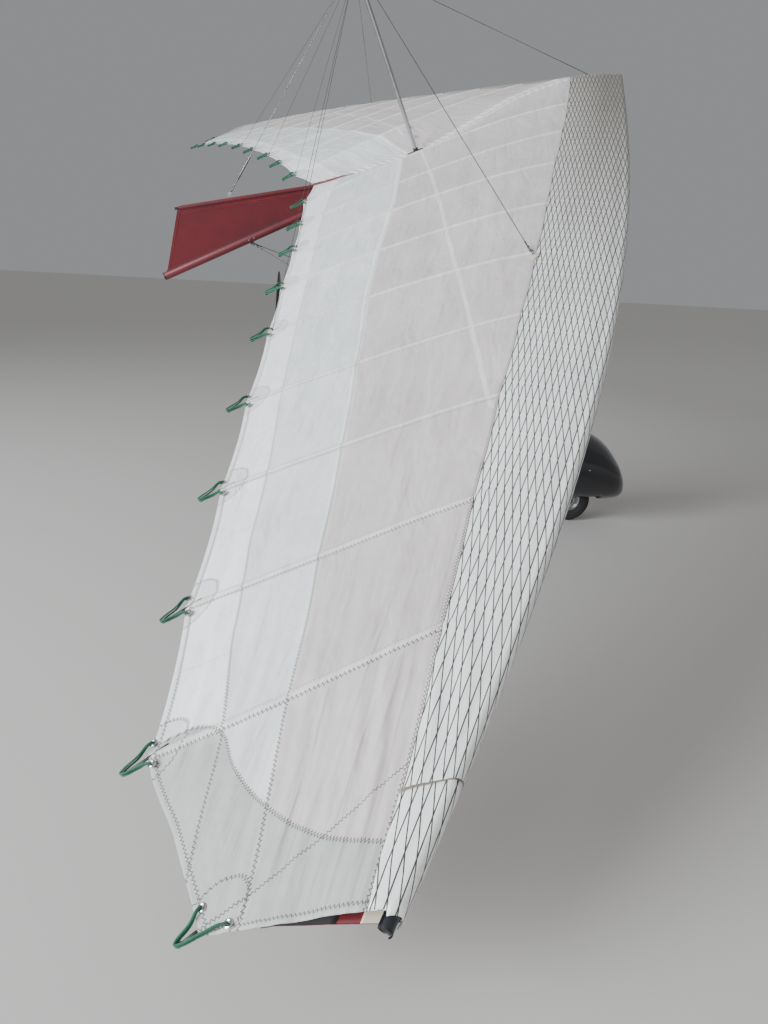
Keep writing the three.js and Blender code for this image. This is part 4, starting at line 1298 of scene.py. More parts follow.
    def marks(self, front: float, y: float, back: float) -> dict[str, float]:
        """Distances in metres from each seam, pocket and hem, for the cloth's finish.

        Args:
            front: the strip's own distance from the keel at its leading edge.
            y: distance from the keel.
            back: distance behind the leading edge.

        Returns:
            One number for each attribute of the finish.
        """
        gaps = [y - self.batten_at(i, back) for i in range(len(self.battens))]
        ties = [(b, self.chord(b) - 0.008) for b in self.battens] + [(4.900, 0.545)]
        patch, tie_y, tie_back = min((math.hypot(y - a, back - c), a, c) for a, c in ties)
        on_stripe = self.stripe[0][0] < y < self.stripe[-1][0]
        return {
            "band": straight(self.band, y) - back,
            "mid": back - between(self.mid_seam, y),
            "rear": back - straight(self.rear_seam, y),
            "tip": (y - between(self.tip_seam, back)) * 0.86,
            "batten": min(gaps, key=abs),
            "wand": (y - straight(self.wand, back)) * 0.87 if back < self.wand[-1][0] + 0.02 else 1.0,
            "patch": patch - 0.092,
            "hem": self.chord(y) - back,
            "end": self.tip_front - front,
            "stripe": back - between(self.stripe, y) if on_stripe else 1.0,
            "keel": y,
            "aft": back,
            "nose": back - straight(self.nose_seam, y) if y < 0.56 else 1.0,
            "cuff": y - self.cuff_from,
            "arc": 1.36 * math.atan2(back + 0.213, y - 3.534),
            "round": 0.092 * math.atan2(y - tie_y, tie_back - back),
        }

    def sheet(
        self,
        piece: Piece,
        side: int,
        place: Callable[[float, int], tuple[Vector, float, float]],
        columns: Sequence[float],
        rows: int,
        facing: int,
    ) -> Piece:
        """Lays a grid of cloth over one half of the wing.

        Args:
            piece: the empty piece.
            side: 1 for the left half, -1 for the right.
            place: gives a point, its distance behind the leading edge and its pattern place.
            columns: leading edge places of the grid's columns.
            rows: number of steps from back to front.
            facing: 1 where its face looks up, -1 where it looks down.

        Returns:
            The piece.
        """
        bm = piece.bm
        layers = {k: bm.verts.layers.float.new(k) for k in self.marks(1.0, 1.0, 1.0)}
        uv = bm.loops.layers.uv.new("cloth")
        last = len(columns) - 1
        bmesh.ops.create_grid(bm, x_segments=last, y_segments=rows, size=1)
        bm.verts.index_update()
        spots = {}
        for vert in bm.verts:
            front = columns[round((vert.co.x + 1) / 2 * last)]
            point, back, across = place(front, round((vert.co.y + 1) / 2 * rows))
            for key, value in self.marks(front, point.y, back).items():
                vert[layers[key]] = value
            s = point.y / self.half_span
            curve = (2 * self.bow * s + 3 * self.hook * s**2) / self.half_span
            slope = math.atan(math.tan(self.sweep) + curve)
            drift = 0.033 * max(0.0, point.y - 1.75) ** 2
            along = self.arc(point.y) + across * math.sin(slope)
            spots[vert.index] = (across * math.cos(slope) + drift, along)
            vert.co = Vector((point.x, side * point.y, point.z))
        for face in bm.faces:
            for loop in face.loops:
                loop[uv].uv = spots[loop.vert.index]
        bm.normal_update()
        if sum(face.normal.z for face in bm.faces) * facing < 0:
            bmesh.ops.reverse_faces(bm, faces=bm.faces[:])
        return piece

    def above(self, front: float, row: int) -> tuple[Vector, float, float]:
        """A point of the upper skin and of the cloth round the nose tube.

        Args:
            front: distance of its leading edge point from the keel.
            row: step from the trailing edge forwards, then round the tube.

        Returns:
            The point, its distance behind the leading edge and its pattern place.
        """
        if row <= self.chord_steps:
            u = (1 - row / self.chord_steps) ** self.crowding
            column = self.follow(front, u)
            back = self.line(column, u)[1]
            return self.upper_point(column, u), back, back - self.edge_radius
        turn = 90 - (row - self.chord_steps) / self.arc_steps * self.arc_angle
        point = self.nose_point(front, turn)
        wrap = -self.edge_radius * math.radians(90 - turn)
        return point, self.edge(front).x - point.x, wrap

    def below(self, front: float, row: int) -> tuple[Vector, float, float]:
        """A point of the lower skin.

        Args:
            front: distance of its leading edge point from the keel.
            row: step from the tube backwards.

        Returns:
            The point, its distance behind the leading edge and its pattern place.
        """
        steps = self.under_arc_steps
        if row <= steps:
            point = self.nose_point(front, -60 - row / steps * 30)
            return point, self.edge(front).x - point.x, row * 0.012
        u = self.under_end * ((row - steps) / self.under_steps) ** self.under_crowding
        column = self.follow(front, u)
        back = self.line(column, u)[1]
        return self.lower_point(column, u), back, back

    def cuff(self, front: float, row: int) -> tuple[Vector, float, float]:
        """A point of the sleeve that is slipped over the tip's leading edge.

        Args:
            front: distance of its leading edge point from the keel.
            row: step forwards, then round the tube.

        Returns:
            The point, its distance behind the leading edge and its pattern place.
        """
        steps = self.cuff_steps
        if row <= steps:
            back = self.edge_radius + (straight(self.band, front) - self.edge_radius) * (1 - row / steps)
            u = (back - self.edge_radius) / (self.chord(front) - self.edge_radius)
            point = self.upper_point(front, u) + vz(self.cuff_lift)
            return point, back, back - self.edge_radius + self.cuff_shift
        turn = 90 - (row - steps) / self.cuff_arc_steps * self.cuff_angle
        front += 0.014 * (front - self.cuff_from) / (self.tip_front - self.cuff_from)
        point = self.nose_point(front, turn, self.cuff_lift)
        wrap = -self.edge_radius * math.radians(90 - turn)
        return point, self.edge(front).x - point.x, wrap + self.cuff_shift

    def cloth(self) -> None:
        """Makes the upper and lower skins of both halves, and the sleeves at the tips."""
        columns = self.columns()
        over_rows = self.chord_steps + self.arc_steps
        under_rows = self.under_steps + self.under_arc_steps
        cuff_rows = self.cuff_steps + self.cuff_arc_steps
        ends = [self.cuff_from + (self.tip_front - 0.001 - self.cuff_from) * i / 14 for i in range(15)]
        for side, word in SIDES:
            sail = [f"sail_{word}"]
            upper = Piece(f"upper_cloth_{word}", Body.WING, "sail", SAIL, sail)
            self.sheet(upper, side, self.above, columns, over_rows, 1)
            upper = upper.finished(crease=80, wall=0.0012, closed=False)
            lower = Piece(f"lower_cloth_{word}", Body.WING, "sail", UNDER, sail)
            self.sheet(lower, side, self.below, columns, under_rows, -1)
            lower = lower.finished(crease=80, wall=0.0012, closed=False)
            sleeve = Piece(f"tip_sleeve_{word}", Body.WING, "sail", SLEEVE)
            self.sheet(sleeve, side, self.cuff, ends, cuff_rows, 1)
            sleeve = sleeve.finished(crease=80, wall=0.0008, closed=False)

    def tip_fittings(self) -> None:
        """Makes the tube ends that show at the tips."""
        for side, word in SIDES:
            flip = mirrored(side)
            inner = flip @ (self.edge(4.62) - Vector((self.edge_radius, 0, 0)))
            outer = flip @ (self.edge(self.half_span) - Vector((self.edge_radius, 0, 0)))
            run = (outer - inner).normalized()
            tube = Piece(f"edge_tube_end_{word}", Body.WING, "spar_alloy", DARK_TUBE, [f"edge_tube_{word}"])
            tube.bar(inner, outer - run * 0.006, 0.0195, sides=40)
            tube.finished()
            plug = Piece(f"edge_plug_{word}", Body.WING, "spar_alloy", NYLON)
            rim = (
                (0.0, -0.003), (0.0145, -0.003), (0.016, 0.0), (0.0185, -0.001), (0.0190, -0.008),
                (0.0, -0.008),
            )
            plug.turned(rim, outer, run, sides=40)
            hook = outer - run * 0.020 + vz(-0.026)
            plug.tube([hook, hook + run * 0.012 + vz(-0.012), hook + run * 0.022 + vz(-0.004)], 0.0025)
            plug.finished()

    def underside(self) -> None:
        """Makes the edge of the lower skin at the tips: cream cloth ahead, and behind it a black sheet of
        painted shade for the dark inside of the open tip.
        """
        for side, word in SIDES:
            # the second sheet is painted shade: black where the inside of the open tip lies in shade
            for name, finish, ahead, rear, length in (
                ("under_patch", POCKET, 0.0, 0.17, 0.10), ("tip_shade_sheet", TIP_SHADE, 0.29, 0.66, 0.20)
            ):
                edging = Piece(f"{name}_{word}", Body.WING, "sail", finish)
                rows = []
                for step in range(13):
                    u = ahead + (rear - ahead) * step / 12
                    fronts = (4.925, 4.965, 5.0045)
                    points = [self.lower_point(front, u) + vz(0.0045) for front in fronts]
                    rows.append(edging.row((p.x, side * p.y, p.z) for p in points))
                made = edging.web(rows).finished(crease=80, wall=0.0060)

    def fin(self) -> None:
        """Makes the keel fin, its batten pocket, edging and the strip that runs up the sail."""
        low, high = 0.026, 0.383
        back, front = -1.969, self.nose_x - self.chords[0][1]
        corners = [
            (back + 0.037, low), (back + 0.313, high), (front - 0.02, self.tail_height - 0.006),
            (front + 0.16, self.tail_height - 0.05), (front + 0.33, low),
        ]
        web = Piece("fin_cloth", Body.WING, "fin", FIN, ["keel_fin"])
        face = web.bm.faces.new(web.row((x, -0.003, z) for x, z in corners))
        made = bmesh.ops.extrude_face_region(web.bm, geom=[face])
        moved = [v for v in made["geom"] if isinstance(v, bmesh.types.BMVert)]
        bmesh.ops.translate(web.bm, verts=moved, vec=(0, 0.006, 0))
        web.finished()
        top, rear = Vector((corners[2][0], 0, corners[2][1])), Vector((corners[1][0], 0, corners[1][1]))
        foot = Vector((corners[0][0], 0, corners[0][1]))
        run = (top - rear).normalized()
        pocket = Piece("fin_pocket", Body.WING, "fin", FIN)
        frames = []
        for place, size in (
            (rear + run * 0.004, 0.008), (rear + run * 0.03, 0.011), (top, 0.011), (top + run * 0.03, 0.009)
        ):
            base = Matrix.Translation(place) @ run.to_track_quat("Z", "Y").to_matrix().to_4x4()
            frames.append(base @ Matrix.Diagonal((size, size * 1.3, 1, 1)))
        pocket.skin(frames, sides=20)
        pocket.finished()
        hem = Piece("fin_hem", Body.WING, "fin", FIN_TAPE)
        drop = Vector((run.z, 0, -run.x)) * 0.030
        for side in (-1, 1):
            y = side * 0.0042
            for offset in (drop, drop * 1.35):
                a, b = rear + offset + run * 0.02, top + offset
                hem.tube([(a.x, y, a.z), (b.x, y, b.z)], 0.0016, sharp=True)
            a = foot + (rear - foot) * 0.04
            hem.tube([(a.x + 0.014, y, a.z), (rear.x + 0.014, y, rear.z - 0.01)], 0.0014, sharp=True)
        hem.finished()
        wrap = Piece("fin_sleeve", Body.WING, "fin", FIN)
        wrap.bar((back + 0.012, 0, 0), (front + 0.30, 0, 0), 0.0285, 0.0272, sides=36, edge=0.001)
        wrap.finished()
        bead = Piece("fin_edging", Body.WING, "fin", NYLON)
        bead.tube([(corners[0][0], 0, low + 0.004), (corners[4][0], 0, low + 0.004)], 0.0045, sharp=True)
        bead.bar(rear - run * 0.020, rear + run * 0.012, 0.0085, sides=20, edge=0.0015)
        bead.finished()
        strip = Piece("sail_strip", Body.WING, "fin", FIN_TAPE)
        lift = vz(0.0040)
        widths = (0.024, 0.023, 0.021, 0.018, 0.014, 0.010, 0.006)
        rows = []
        for step, width in enumerate(widths):
            place = self.chords[0][1] + 0.004 - step * 0.05
            rows.append((self.top(0.004, place) + lift, self.top(0.004 + width, place) + lift))
        for side in (-1, 1):
            flip = mirrored(side)
            for (p, q), (r, s) in zip(rows, rows[1:]):
                strip.bm.faces.new(strip.row(flip @ c for c in (p, q, s, r)))
        strip.finished(closed=False)

    def wire(self, piece: Piece, top: Vector, foot: Vector, screw: bool = False) -> None:
        """Adds a stay with its pressed ferrules and thimbles.

        Args:
            piece: where it goes.
            top: upper end.
            foot: lower end.
            screw: add a turnbuckle near its foot.
        """
        run = (foot - top).normalized()
        piece.bar(top, foot, 0.0021, sides=12)
        for end, way in ((top, run), (foot, -run)):
            piece.bar(end + way * 0.035, end + way * 0.065, 0.0052, sides=16, edge=0.001)
            piece.bar(end + way * 0.075, end + way * 0.095, 0.0046, sides=16, edge=0.001)
            eye = end + way * 0.018
            side = run.orthogonal().normalized()
            loop = [
                eye + way * math.cos(a) * 0.016 + side * math.sin(a) * 0.010
                for a in (0.3, 1.2, 2.2, 3.1, 4.1, 5.1, 6.0)
            ]
            piece.tube(loop, 0.0024)
        if screw:
            piece.bar(foot - run * 0.30, foot - run * 0.13, 0.0075, sides=16, edge=0.002)
            piece.bar(foot - run * 0.315, foot - run * 0.115, 0.0042, sides=12)

    def wires(self) -> None:
        """Makes the stays over and under the wing."""
        masthead = Vector((0.023, 0, 1.250))
        stays = {
            "upper_front_wire": (masthead, Vector((self.nose_x - 0.150, 0, 0.012)), False),
            "upper_rear_wire": (masthead, Vector((-1.30, 0, 0.318)), True),
        }
        entry = self.top(2.36, 0.43)
        for side, word in SIDES:
            flip = mirrored(side)
            bar_end = flip @ Vector((0.0, 0.752, -1.55))
            stays[f"upper_side_wire_{word}"] = (masthead, flip @ entry, False)
            stays[f"lower_side_wire_{word}"] = (flip @ self.lower_point(2.36, 0.23), bar_end, False)
            stays[f"lower_front_wire_{word}"] = (Vector((1.395, 0.0, -0.045)), bar_end, False)
            stays[f"lower_rear_wire_{word}"] = (Vector((-1.30, 0.0, -0.027)), bar_end, False)
        for name, (top, foot, screw) in stays.items():
            piece = Piece(f"{name}_rope", Body.WING, "stay_wire", WIRE, [name])
            self.wire(piece, top, foot, screw)
            piece.finished()
        ring = Piece("side_wire_patches", Body.WING, "sail", POCKET)
        for side in (1, -1):
            spot = mirrored(side) @ entry
            lift = vz(0.003)
            ring.bar(spot - lift, spot + lift, 0.030, 0.024, sides=28, edge=0.001)
        ring.finished()

    def masthead(self) -> None:
        """Makes the kingpost, its foot, its crown and the small lines at its foot."""
        post = Piece("kingpost_tube", Body.WING, "bright_alloy", PALE_TUBE, ["kingpost"])
        post.bar((0.023, 0, 0.026), (0.023, 0, 1.262), 0.014, sides=32)
        post.finished()
        caps = Piece("kingpost_fittings", Body.WING, "bright_alloy", NYLON)
        caps.bar((0.023, 0, 1.245), (0.023, 0, 1.270), 0.0165, sides=32, edge=0.003)
        caps.bar((0.023, -0.024, 1.235), (0.023, 0.024, 1.235), 0.006, sides=20, edge=0.001)
        deck_back = self.nose_x - 0.023
        deck = self.top(0.001, deck_back)
        along = (self.top(0.001, deck_back - 0.04) - self.top(0.001, deck_back + 0.04)).normalized()
        lean = Matrix.Translation(deck) @ Matrix.Rotation(-math.atan2(along.z, along.x), 4, "Y")
        caps.box((-0.052, -0.010, -0.004), (0.044, 0.010, 0.011), 0.004, lean)
        caps.bar(deck, deck + vz(0.034), 0.0200, 0.0165, sides=32, edge=0.003)
        caps.finished()
        tab = Piece("kingpost_slot_patch", Body.WING, "fin", FIN_TAPE)
        rise = math.atan2(self.top(0.031, deck_back).z - deck.z, 0.030)
        for side in (-1, 1):
            slope = lean @ Matrix.Rotation(side * rise, 4, "X")
            low, high = sorted((0.0, side * 0.031))
            tab.box((-0.062, low, -0.001), (0.054, high, 0.0090), 0.002, slope)
        tab.finished()
        string = Piece("reflex_string", Body.WING, "stay_wire", LINE)
        end = self.top(0.34, 1.315) + vz(0.03)
        start = deck + Vector((-0.010, 0.004, 0.028))
        string.tube([start, start.lerp(end, 0.5), end], 0.0016, sharp=True)
        string.bar(start.lerp(end, 0.55), start.lerp(end, 0.64), 0.006, sides=12, edge=0.001)
        string.bar(end - vz(0.03), end + vz(0.002), 0.004, sides=12)
        string.finished()

    def ties(self) -> None:
        """Makes the eyelets, batten ends and elastic loops along the trailing edge."""
        eyes = Piece("tie_eyelets", Body.WING, "sail", EYELET)
        ends = Piece("batten_ends", Body.WING, "sail", DARK_TUBE)
        loops = Piece("tie_loops", Body.WING, "sail", CORD)
        ring = ((0.0055, -0.0022), (0.0115, -0.0022), (0.0122, 0.0), (0.0115, 0.0022))
        ring += ((0.0085, 0.0034), (0.0055, 0.0022), (0.0055, -0.0022))
        rise = vz(1)
        seats = []
        for y in self.battens:
            back = self.chord(y) - 0.012
            base = self.top(y, back)
            out = Vector((-1, 0.09 * (y - 0.4), 0)).normalized()
            out = (out + rise * (base - self.top(y, back - 0.05)).z / 0.05).normalized()
            across = vy(0.036)
            seats.append((base - across, base + across, base + out * 0.092))
        seats.append(tuple(self.top(*spot) for spot in self.tip_tie))
        for index, (first, second, tip) in enumerate(seats):
            root = 0.14 if index < len(self.battens) else 0.05
            spots = [first + rise * 0.001, second + rise * 0.001]
            base = (first + second) / 2
            out = (tip - base).normalized()
            across = (second - first).normalized()
            for side in (1, -1):
                flip = mirrored(side)
                low = rise * 0.004
                ends.bar(flip @ (tip - out * root - low), flip @ (tip - low), 0.0042, sides=14, edge=0.001)
                cap = (flip @ (tip - out * 0.010 - low), flip @ (tip + out * 0.004 - low))
                ends.bar(*cap, 0.0062, sides=14, edge=0.0015)
                for spot in spots:
                    eyes.turned(ring, flip @ spot, (0, 0, 1), sides=24)
                for lift in (0.0042, -0.0042):
                    crest = rise * (0.003 + lift)
                    path = [spots[0] - rise * 0.004 - across * 0.004]
                    path.append(spots[0] + rise * (0.006 + lift * 0.4) + out * 0.004)
                    path.append(spots[0].lerp(tip, 0.5) + crest)
                    path += [tip + crest - across * 0.006, tip + crest + out * 0.006]
                    path += [tip + crest + across * 0.006, spots[1].lerp(tip, 0.5) + crest]
                    path.append(spots[1] + rise * (0.006 + lift * 0.4) + out * 0.004)
                    path.append(spots[1] - rise * 0.004 + across * 0.004)
                    loops.tube([flip @ p for p in path], 0.0031)
        for piece in (eyes, ends, loops):
            piece.finished()

    def luff_lines(self) -> None:
        """Makes the lines from the kingpost down to three battens on each side."""
        lines = Piece("luff_lines", Body.WING, "stay_wire", LINE)
        crown = Vector((0.023, 0, 1.236))
        for index in (0, 2, 4):
            y = self.batten_at(index, self.chord(self.battens[index]))
            foot = self.top(y, self.chord(y) - 0.03)
            for side in (1, -1):
                spot = Vector((foot.x, side * foot.y, foot.z + 0.004))
                lines.tube([crown, spot], 0.0014, sharp=True)
                lines.bar(spot - vz(0.004), spot + vz(0.010), 0.0045, 0.003, sides=12)
        lines.finished()

    def keel(self) -> None:
        """Makes the keel tube with the block for the uprights, its plugs and bolts."""
        tube = Piece("keel_bar", Body.WING, "spar_alloy", DARK_TUBE, ["keel_tube"])
        tube.bar((-1.965, 0, 0), (1.445, 0, 0), 0.025, sides=40)
        tube.box((0.072, -0.076, -0.062), (0.130, 0.076, -0.024), 0.005)
        tube.finished()
        plugs = Piece("keel_plugs", Body.WING, "spar_alloy", NYLON)
        plugs.bar((-1.969, 0, 0), (-1.955, 0, 0), 0.0262, sides=40, edge=0.003)
        for x in (-0.13, 0.0):
            plugs.bar((x - 0.010, 0, 0), (x + 0.010, 0, 0), 0.0275, sides=40, edge=0.002)
        plugs.finished()
        bolts = Piece("keel_bolts", Body.WING, "steel_fitting", PLATED)
        for side in (-1, 1):
            bolts.bolt((0.100, side * 0.076, -0.043), (0, side, 0), 0.008)
        for x, out in ((-1.30, 0.028), (-1.26, 0.028), (1.38, 0.0245)):
            bolts.bolt((x, out, 0), (0, 1, 0), 0.006, 2 * out)
        bolts.finished()

    def control_frame(self) -> None:
        """Makes the base bar with its grips and knuckles, and the faired uprights."""
        bar = Piece("base_tube", Body.WING, "bright_alloy", PALE_TUBE, ["base_bar"])
        bar.bar((0, -0.750, -1.55), (0, 0.750, -1.55), 0.0148, sides=32)
        bar.finished()
        grips = Piece("base_grips", Body.WING, "bright_alloy", NYLON)
        for side in (-1, 1):
            grips.bar((0, side * 0.22, -1.55), (0, side * 0.52, -1.55), 0.0185, sides=32, edge=0.003)
            for step in range(12):
                y = side * (0.235 + step * 0.0245)
                grips.bar((0, y, -1.55), (0, y + side * 0.010, -1.55), 0.0198, sides=32, edge=0.0012)
            grips.bar((0, side * 0.748, -1.55), (0, side * 0.760, -1.55), 0.0160, sides=32, edge=0.003)
        grips.finished()
        top, foot = Vector((0.100, 0.060, -0.042)), Vector((0, 0.730, -1.55))
        run = (foot - top).normalized()
        for side, word in SIDES:
            legs = Piece(f"upright_fairing_{word}", Body.WING, "bright_alloy", PALE_TUBE, [f"upright_{word}"])
            flip = mirrored(side)
            z = flip @ run
            x = (Vector((1, 0, 0)) - z * z.x).normalized()
            oval = Matrix((x, z.cross(x), z)).transposed().to_4x4() @ Matrix.Diagonal((0.028, 0.012, 1, 1))
            ends = (top + run * 0.075, foot - run * 0.045)
            frames = [Matrix.Translation(flip @ place) @ oval for place in ends]
            legs.skin(frames, sides=40)
            legs.finished(crease=50)
            knuckle = Piece(f"corner_knuckles_{word}", Body.WING, "steel_fitting", PLATED)
            knuckle.bar(
                flip @ (foot - run * 0.085), flip @ (foot - run * 0.004), 0.0125, sides=24, edge=0.002
            )
            knuckle.bar(flip @ (top + run * 0.012), flip @ (top + run * 0.115), 0.0125, sides=24, edge=0.002)
            knuckle.bar((0, side * 0.700, -1.55), (0, side * 0.748, -1.55), 0.0185, sides=28, edge=0.002)
            knuckle.bolt(flip @ (foot - run * 0.05 + Vector((0.0125, 0, 0))), (1, 0, 0), 0.006, 0.025)
            knuckle.bolt(flip @ (top + run * 0.05 + Vector((0.0125, 0, 0))), (1, 0, 0), 0.006, 0.025)
            knuckle.finished()

    def build(self) -> None:
        """Builds the whole wing."""
        self.cloth()
        self.tip_fittings()
        self.underside()
        self.fin()
        self.wires()
        self.masthead()
        self.ties()
        self.luff_lines()
        self.keel()
        self.control_frame()


# Satin black powder coat of the trike's tubes: even, with the faint dimple of baked paint
FRAME_PAINT = Finish("satin_black_powder_coat", "1D1F23", "2A2C31", (0.34, 0.48), 1.8, 0.03, Grain.PEBBLED)
# Tyre rubber: matte and a little dusty
RUBBER = Finish("tyre_rubber", "1C1C1D", "2D2B29", (0.72, 0.9), 3.5, 0.06, Grain.MOTTLED)
# Cast wheel halves: bright, machined where they meet
CAST_WHEEL = Finish("cast_wheel_alloy", "BFC1C3", "9B9DA0", (0.32, 0.5), 2.0, 0.05, Grain.MOTTLED, metal=1.0)
# Black gel coat of pod and spats: deep gloss
GELCOAT = Finish("black_gel_coat", "0B0D13", "10131A", (0.1, 0.17), 40.0, 0.01, Grain.MOTTLED, coat=0.8)
# Rough inside of the glass-fibre shells
FIBREGLASS = Finish("grey_flow_coat", "3A3B3D", "2E2F31", (0.5, 0.7), 6.0, 0.2, Grain.WOVEN)
# Sand-cast cases: light grey with a fine pitted skin
CAST_CASE = Finish(
    "sand_cast_aluminium", "A2A3A4", "7F8184", (0.42, 0.6), 1.4, 0.12, Grain.PEBBLED, metal=1.0
)
# Black crackle paint of rocker covers and housings
CRACKLE = Finish("black_crackle_paint", "1A1B1D", "26272A", (0.45, 0.6), 1.6, 0.25, Grain.PEBBLED)
# Machined fins and flanges: bright, with fine turning marks
MACHINED = Finish("machined_aluminium", "C3C5C7", "A8AAAD", (0.22, 0.36), 1.2, 0.03, Grain.BRUSHED, metal=1.0)
# Exhaust: stainless steel browned by heat
HOT_STEEL = Finish(
    "heat_browned_stainless", "8F7F6F", "5E5650", (0.3, 0.5), 45.0, 0.01, Grain.MOTTLED, metal=1.0
)
# Radiator fins: matte black over aluminium
CORE = Finish("matte_black_radiator", "202224", "34373A", (0.55, 0.7), 2.0, 0.08, Grain.RIBBED)
# Oiled gauze of the air filters
GAUZE = Finish("oiled_filter_gauze", "7A2A26", "571D1B", (0.6, 0.8), 1.6, 0.3, Grain.WOVEN)
# Rubber hoses
HOSE = Finish("rubber_hose", "18191B", "242527", (0.5, 0.65), 1.5, 0.1, Grain.WOVEN)
# Propeller: black lacquered composite with a fine cloth grain under it
BLADE = Finish("lacquered_composite", "101114", "1A1B20", (0.2, 0.3), 2.4, 0.01, Grain.WOVEN, coat=0.4)
# Leading-edge tape on the blades
EDGE_TAPE = Finish("clear_edge_tape", "6C6E72", "7A7C80", (0.25, 0.4), 5.0, 0.02, Grain.MOTTLED)
# Coil springs: bright red enamel, lightly scuffed
SPRING = Finish("enamelled_spring", "6A1E22", "4C1518", (0.3, 0.45), 3.0, 0.02, Grain.MOTTLED)
# Seat cloth: dark blue-black, woven and slightly fuzzy
SEAT_CLOTH = Finish("padded_seat_cloth", "23262F", "2E323D", (0.75, 0.92), 1.8, 0.25, Grain.WOVEN, sheen=0.4)
# Seat belt webbing
WEBBING = Finish("black_webbing", "17181B", "232428", (0.6, 0.75), 1.6, 0.3, Grain.RIBBED, sheen=0.2)
# Fuel tank: milky moulded polythene
TANK = Finish("milky_polythene", "CFCBBB", "BDB8A6", (0.4, 0.55), 25.0, 0.02, Grain.MOTTLED)
# Instrument panel: fine grained black
PANEL = Finish("grained_black_panel", "141517", "1E1F22", (0.5, 0.62), 1.2, 0.15, Grain.PEBBLED)
# Dial faces and their white print
DIAL_BLACK = Finish("dial_black", "08090A", "0C0D0F", (0.4, 0.5), 8.0, 0.0, Grain.MOTTLED)
DIAL_WHITE = Finish("dial_white", "E8E8E4", "DADAD5", (0.5, 0.6), 8.0, 0.0, Grain.MOTTLED)

# Body, material slot and finish that many of the trike's pieces share
TUBES = (Body.TRIKE, "frame_paint", FRAME_PAINT)
FITTINGS = (Body.TRIKE, "steel_fitting", PLATED)
RUBBERS = (Body.TRIKE, "panel_plastic", HOSE)
MOULDINGS = (Body.TRIKE, "panel_plastic", NYLON)
CASTINGS = (Body.TRIKE, "engine_metal", CAST_CASE)
ENGINE_BOLTS = (Body.TRIKE, "engine_metal", PLATED)
MACHINED_PARTS = (Body.TRIKE, "engine_metal", MACHINED)


@dataclass(frozen=True)
class ClearSheet(Surface):
    """Clear acrylic, slightly tinted, with fine cleaning haze."""

    name: str = "clear_acrylic"
    tint: str = "DCE8EC"

    def draw(self, recipe: Recipe) -> None:
        """Draws the clear sheet with its haze.

        Args:
            recipe: the material.
        """
        place = recipe.add("TexCoord", out="Object")
        haze = recipe.add("TexNoise", place, None, 9.0, 4.0, 0.6)
        rough = recipe.add("MapRange", haze, 0.4, 0.75, 0.015, 0.08)
        recipe.shade(
            Base_Color=linear(self.tint),
            Roughness=rough,
            Transmission_Weight=1.0,
            IOR=1.05,
            Specular_IOR_Level=0.8,
        )


CLEAR = ClearSheet()


@dataclass(frozen=True)
class WheelSize:
    """One wheel: where it is and how large.

    Attributes:
        name: word that its pieces' names start with.
        node: pattern of its solids' names.
        body: the body that it turns with.
        centre: middle of the wheel in the trike's frame.
        radius: outer radius of the tyre.
        width: width of the tyre.
        rim: radius of the rim.
        hub: width of the hub.
        axle: radius of the axle's bore.
    """

    name: str
    node: str
    body: Body
    centre: tuple[float, float, float]
    radius: float
    width: float
    rim: float
    hub: float
    axle: float


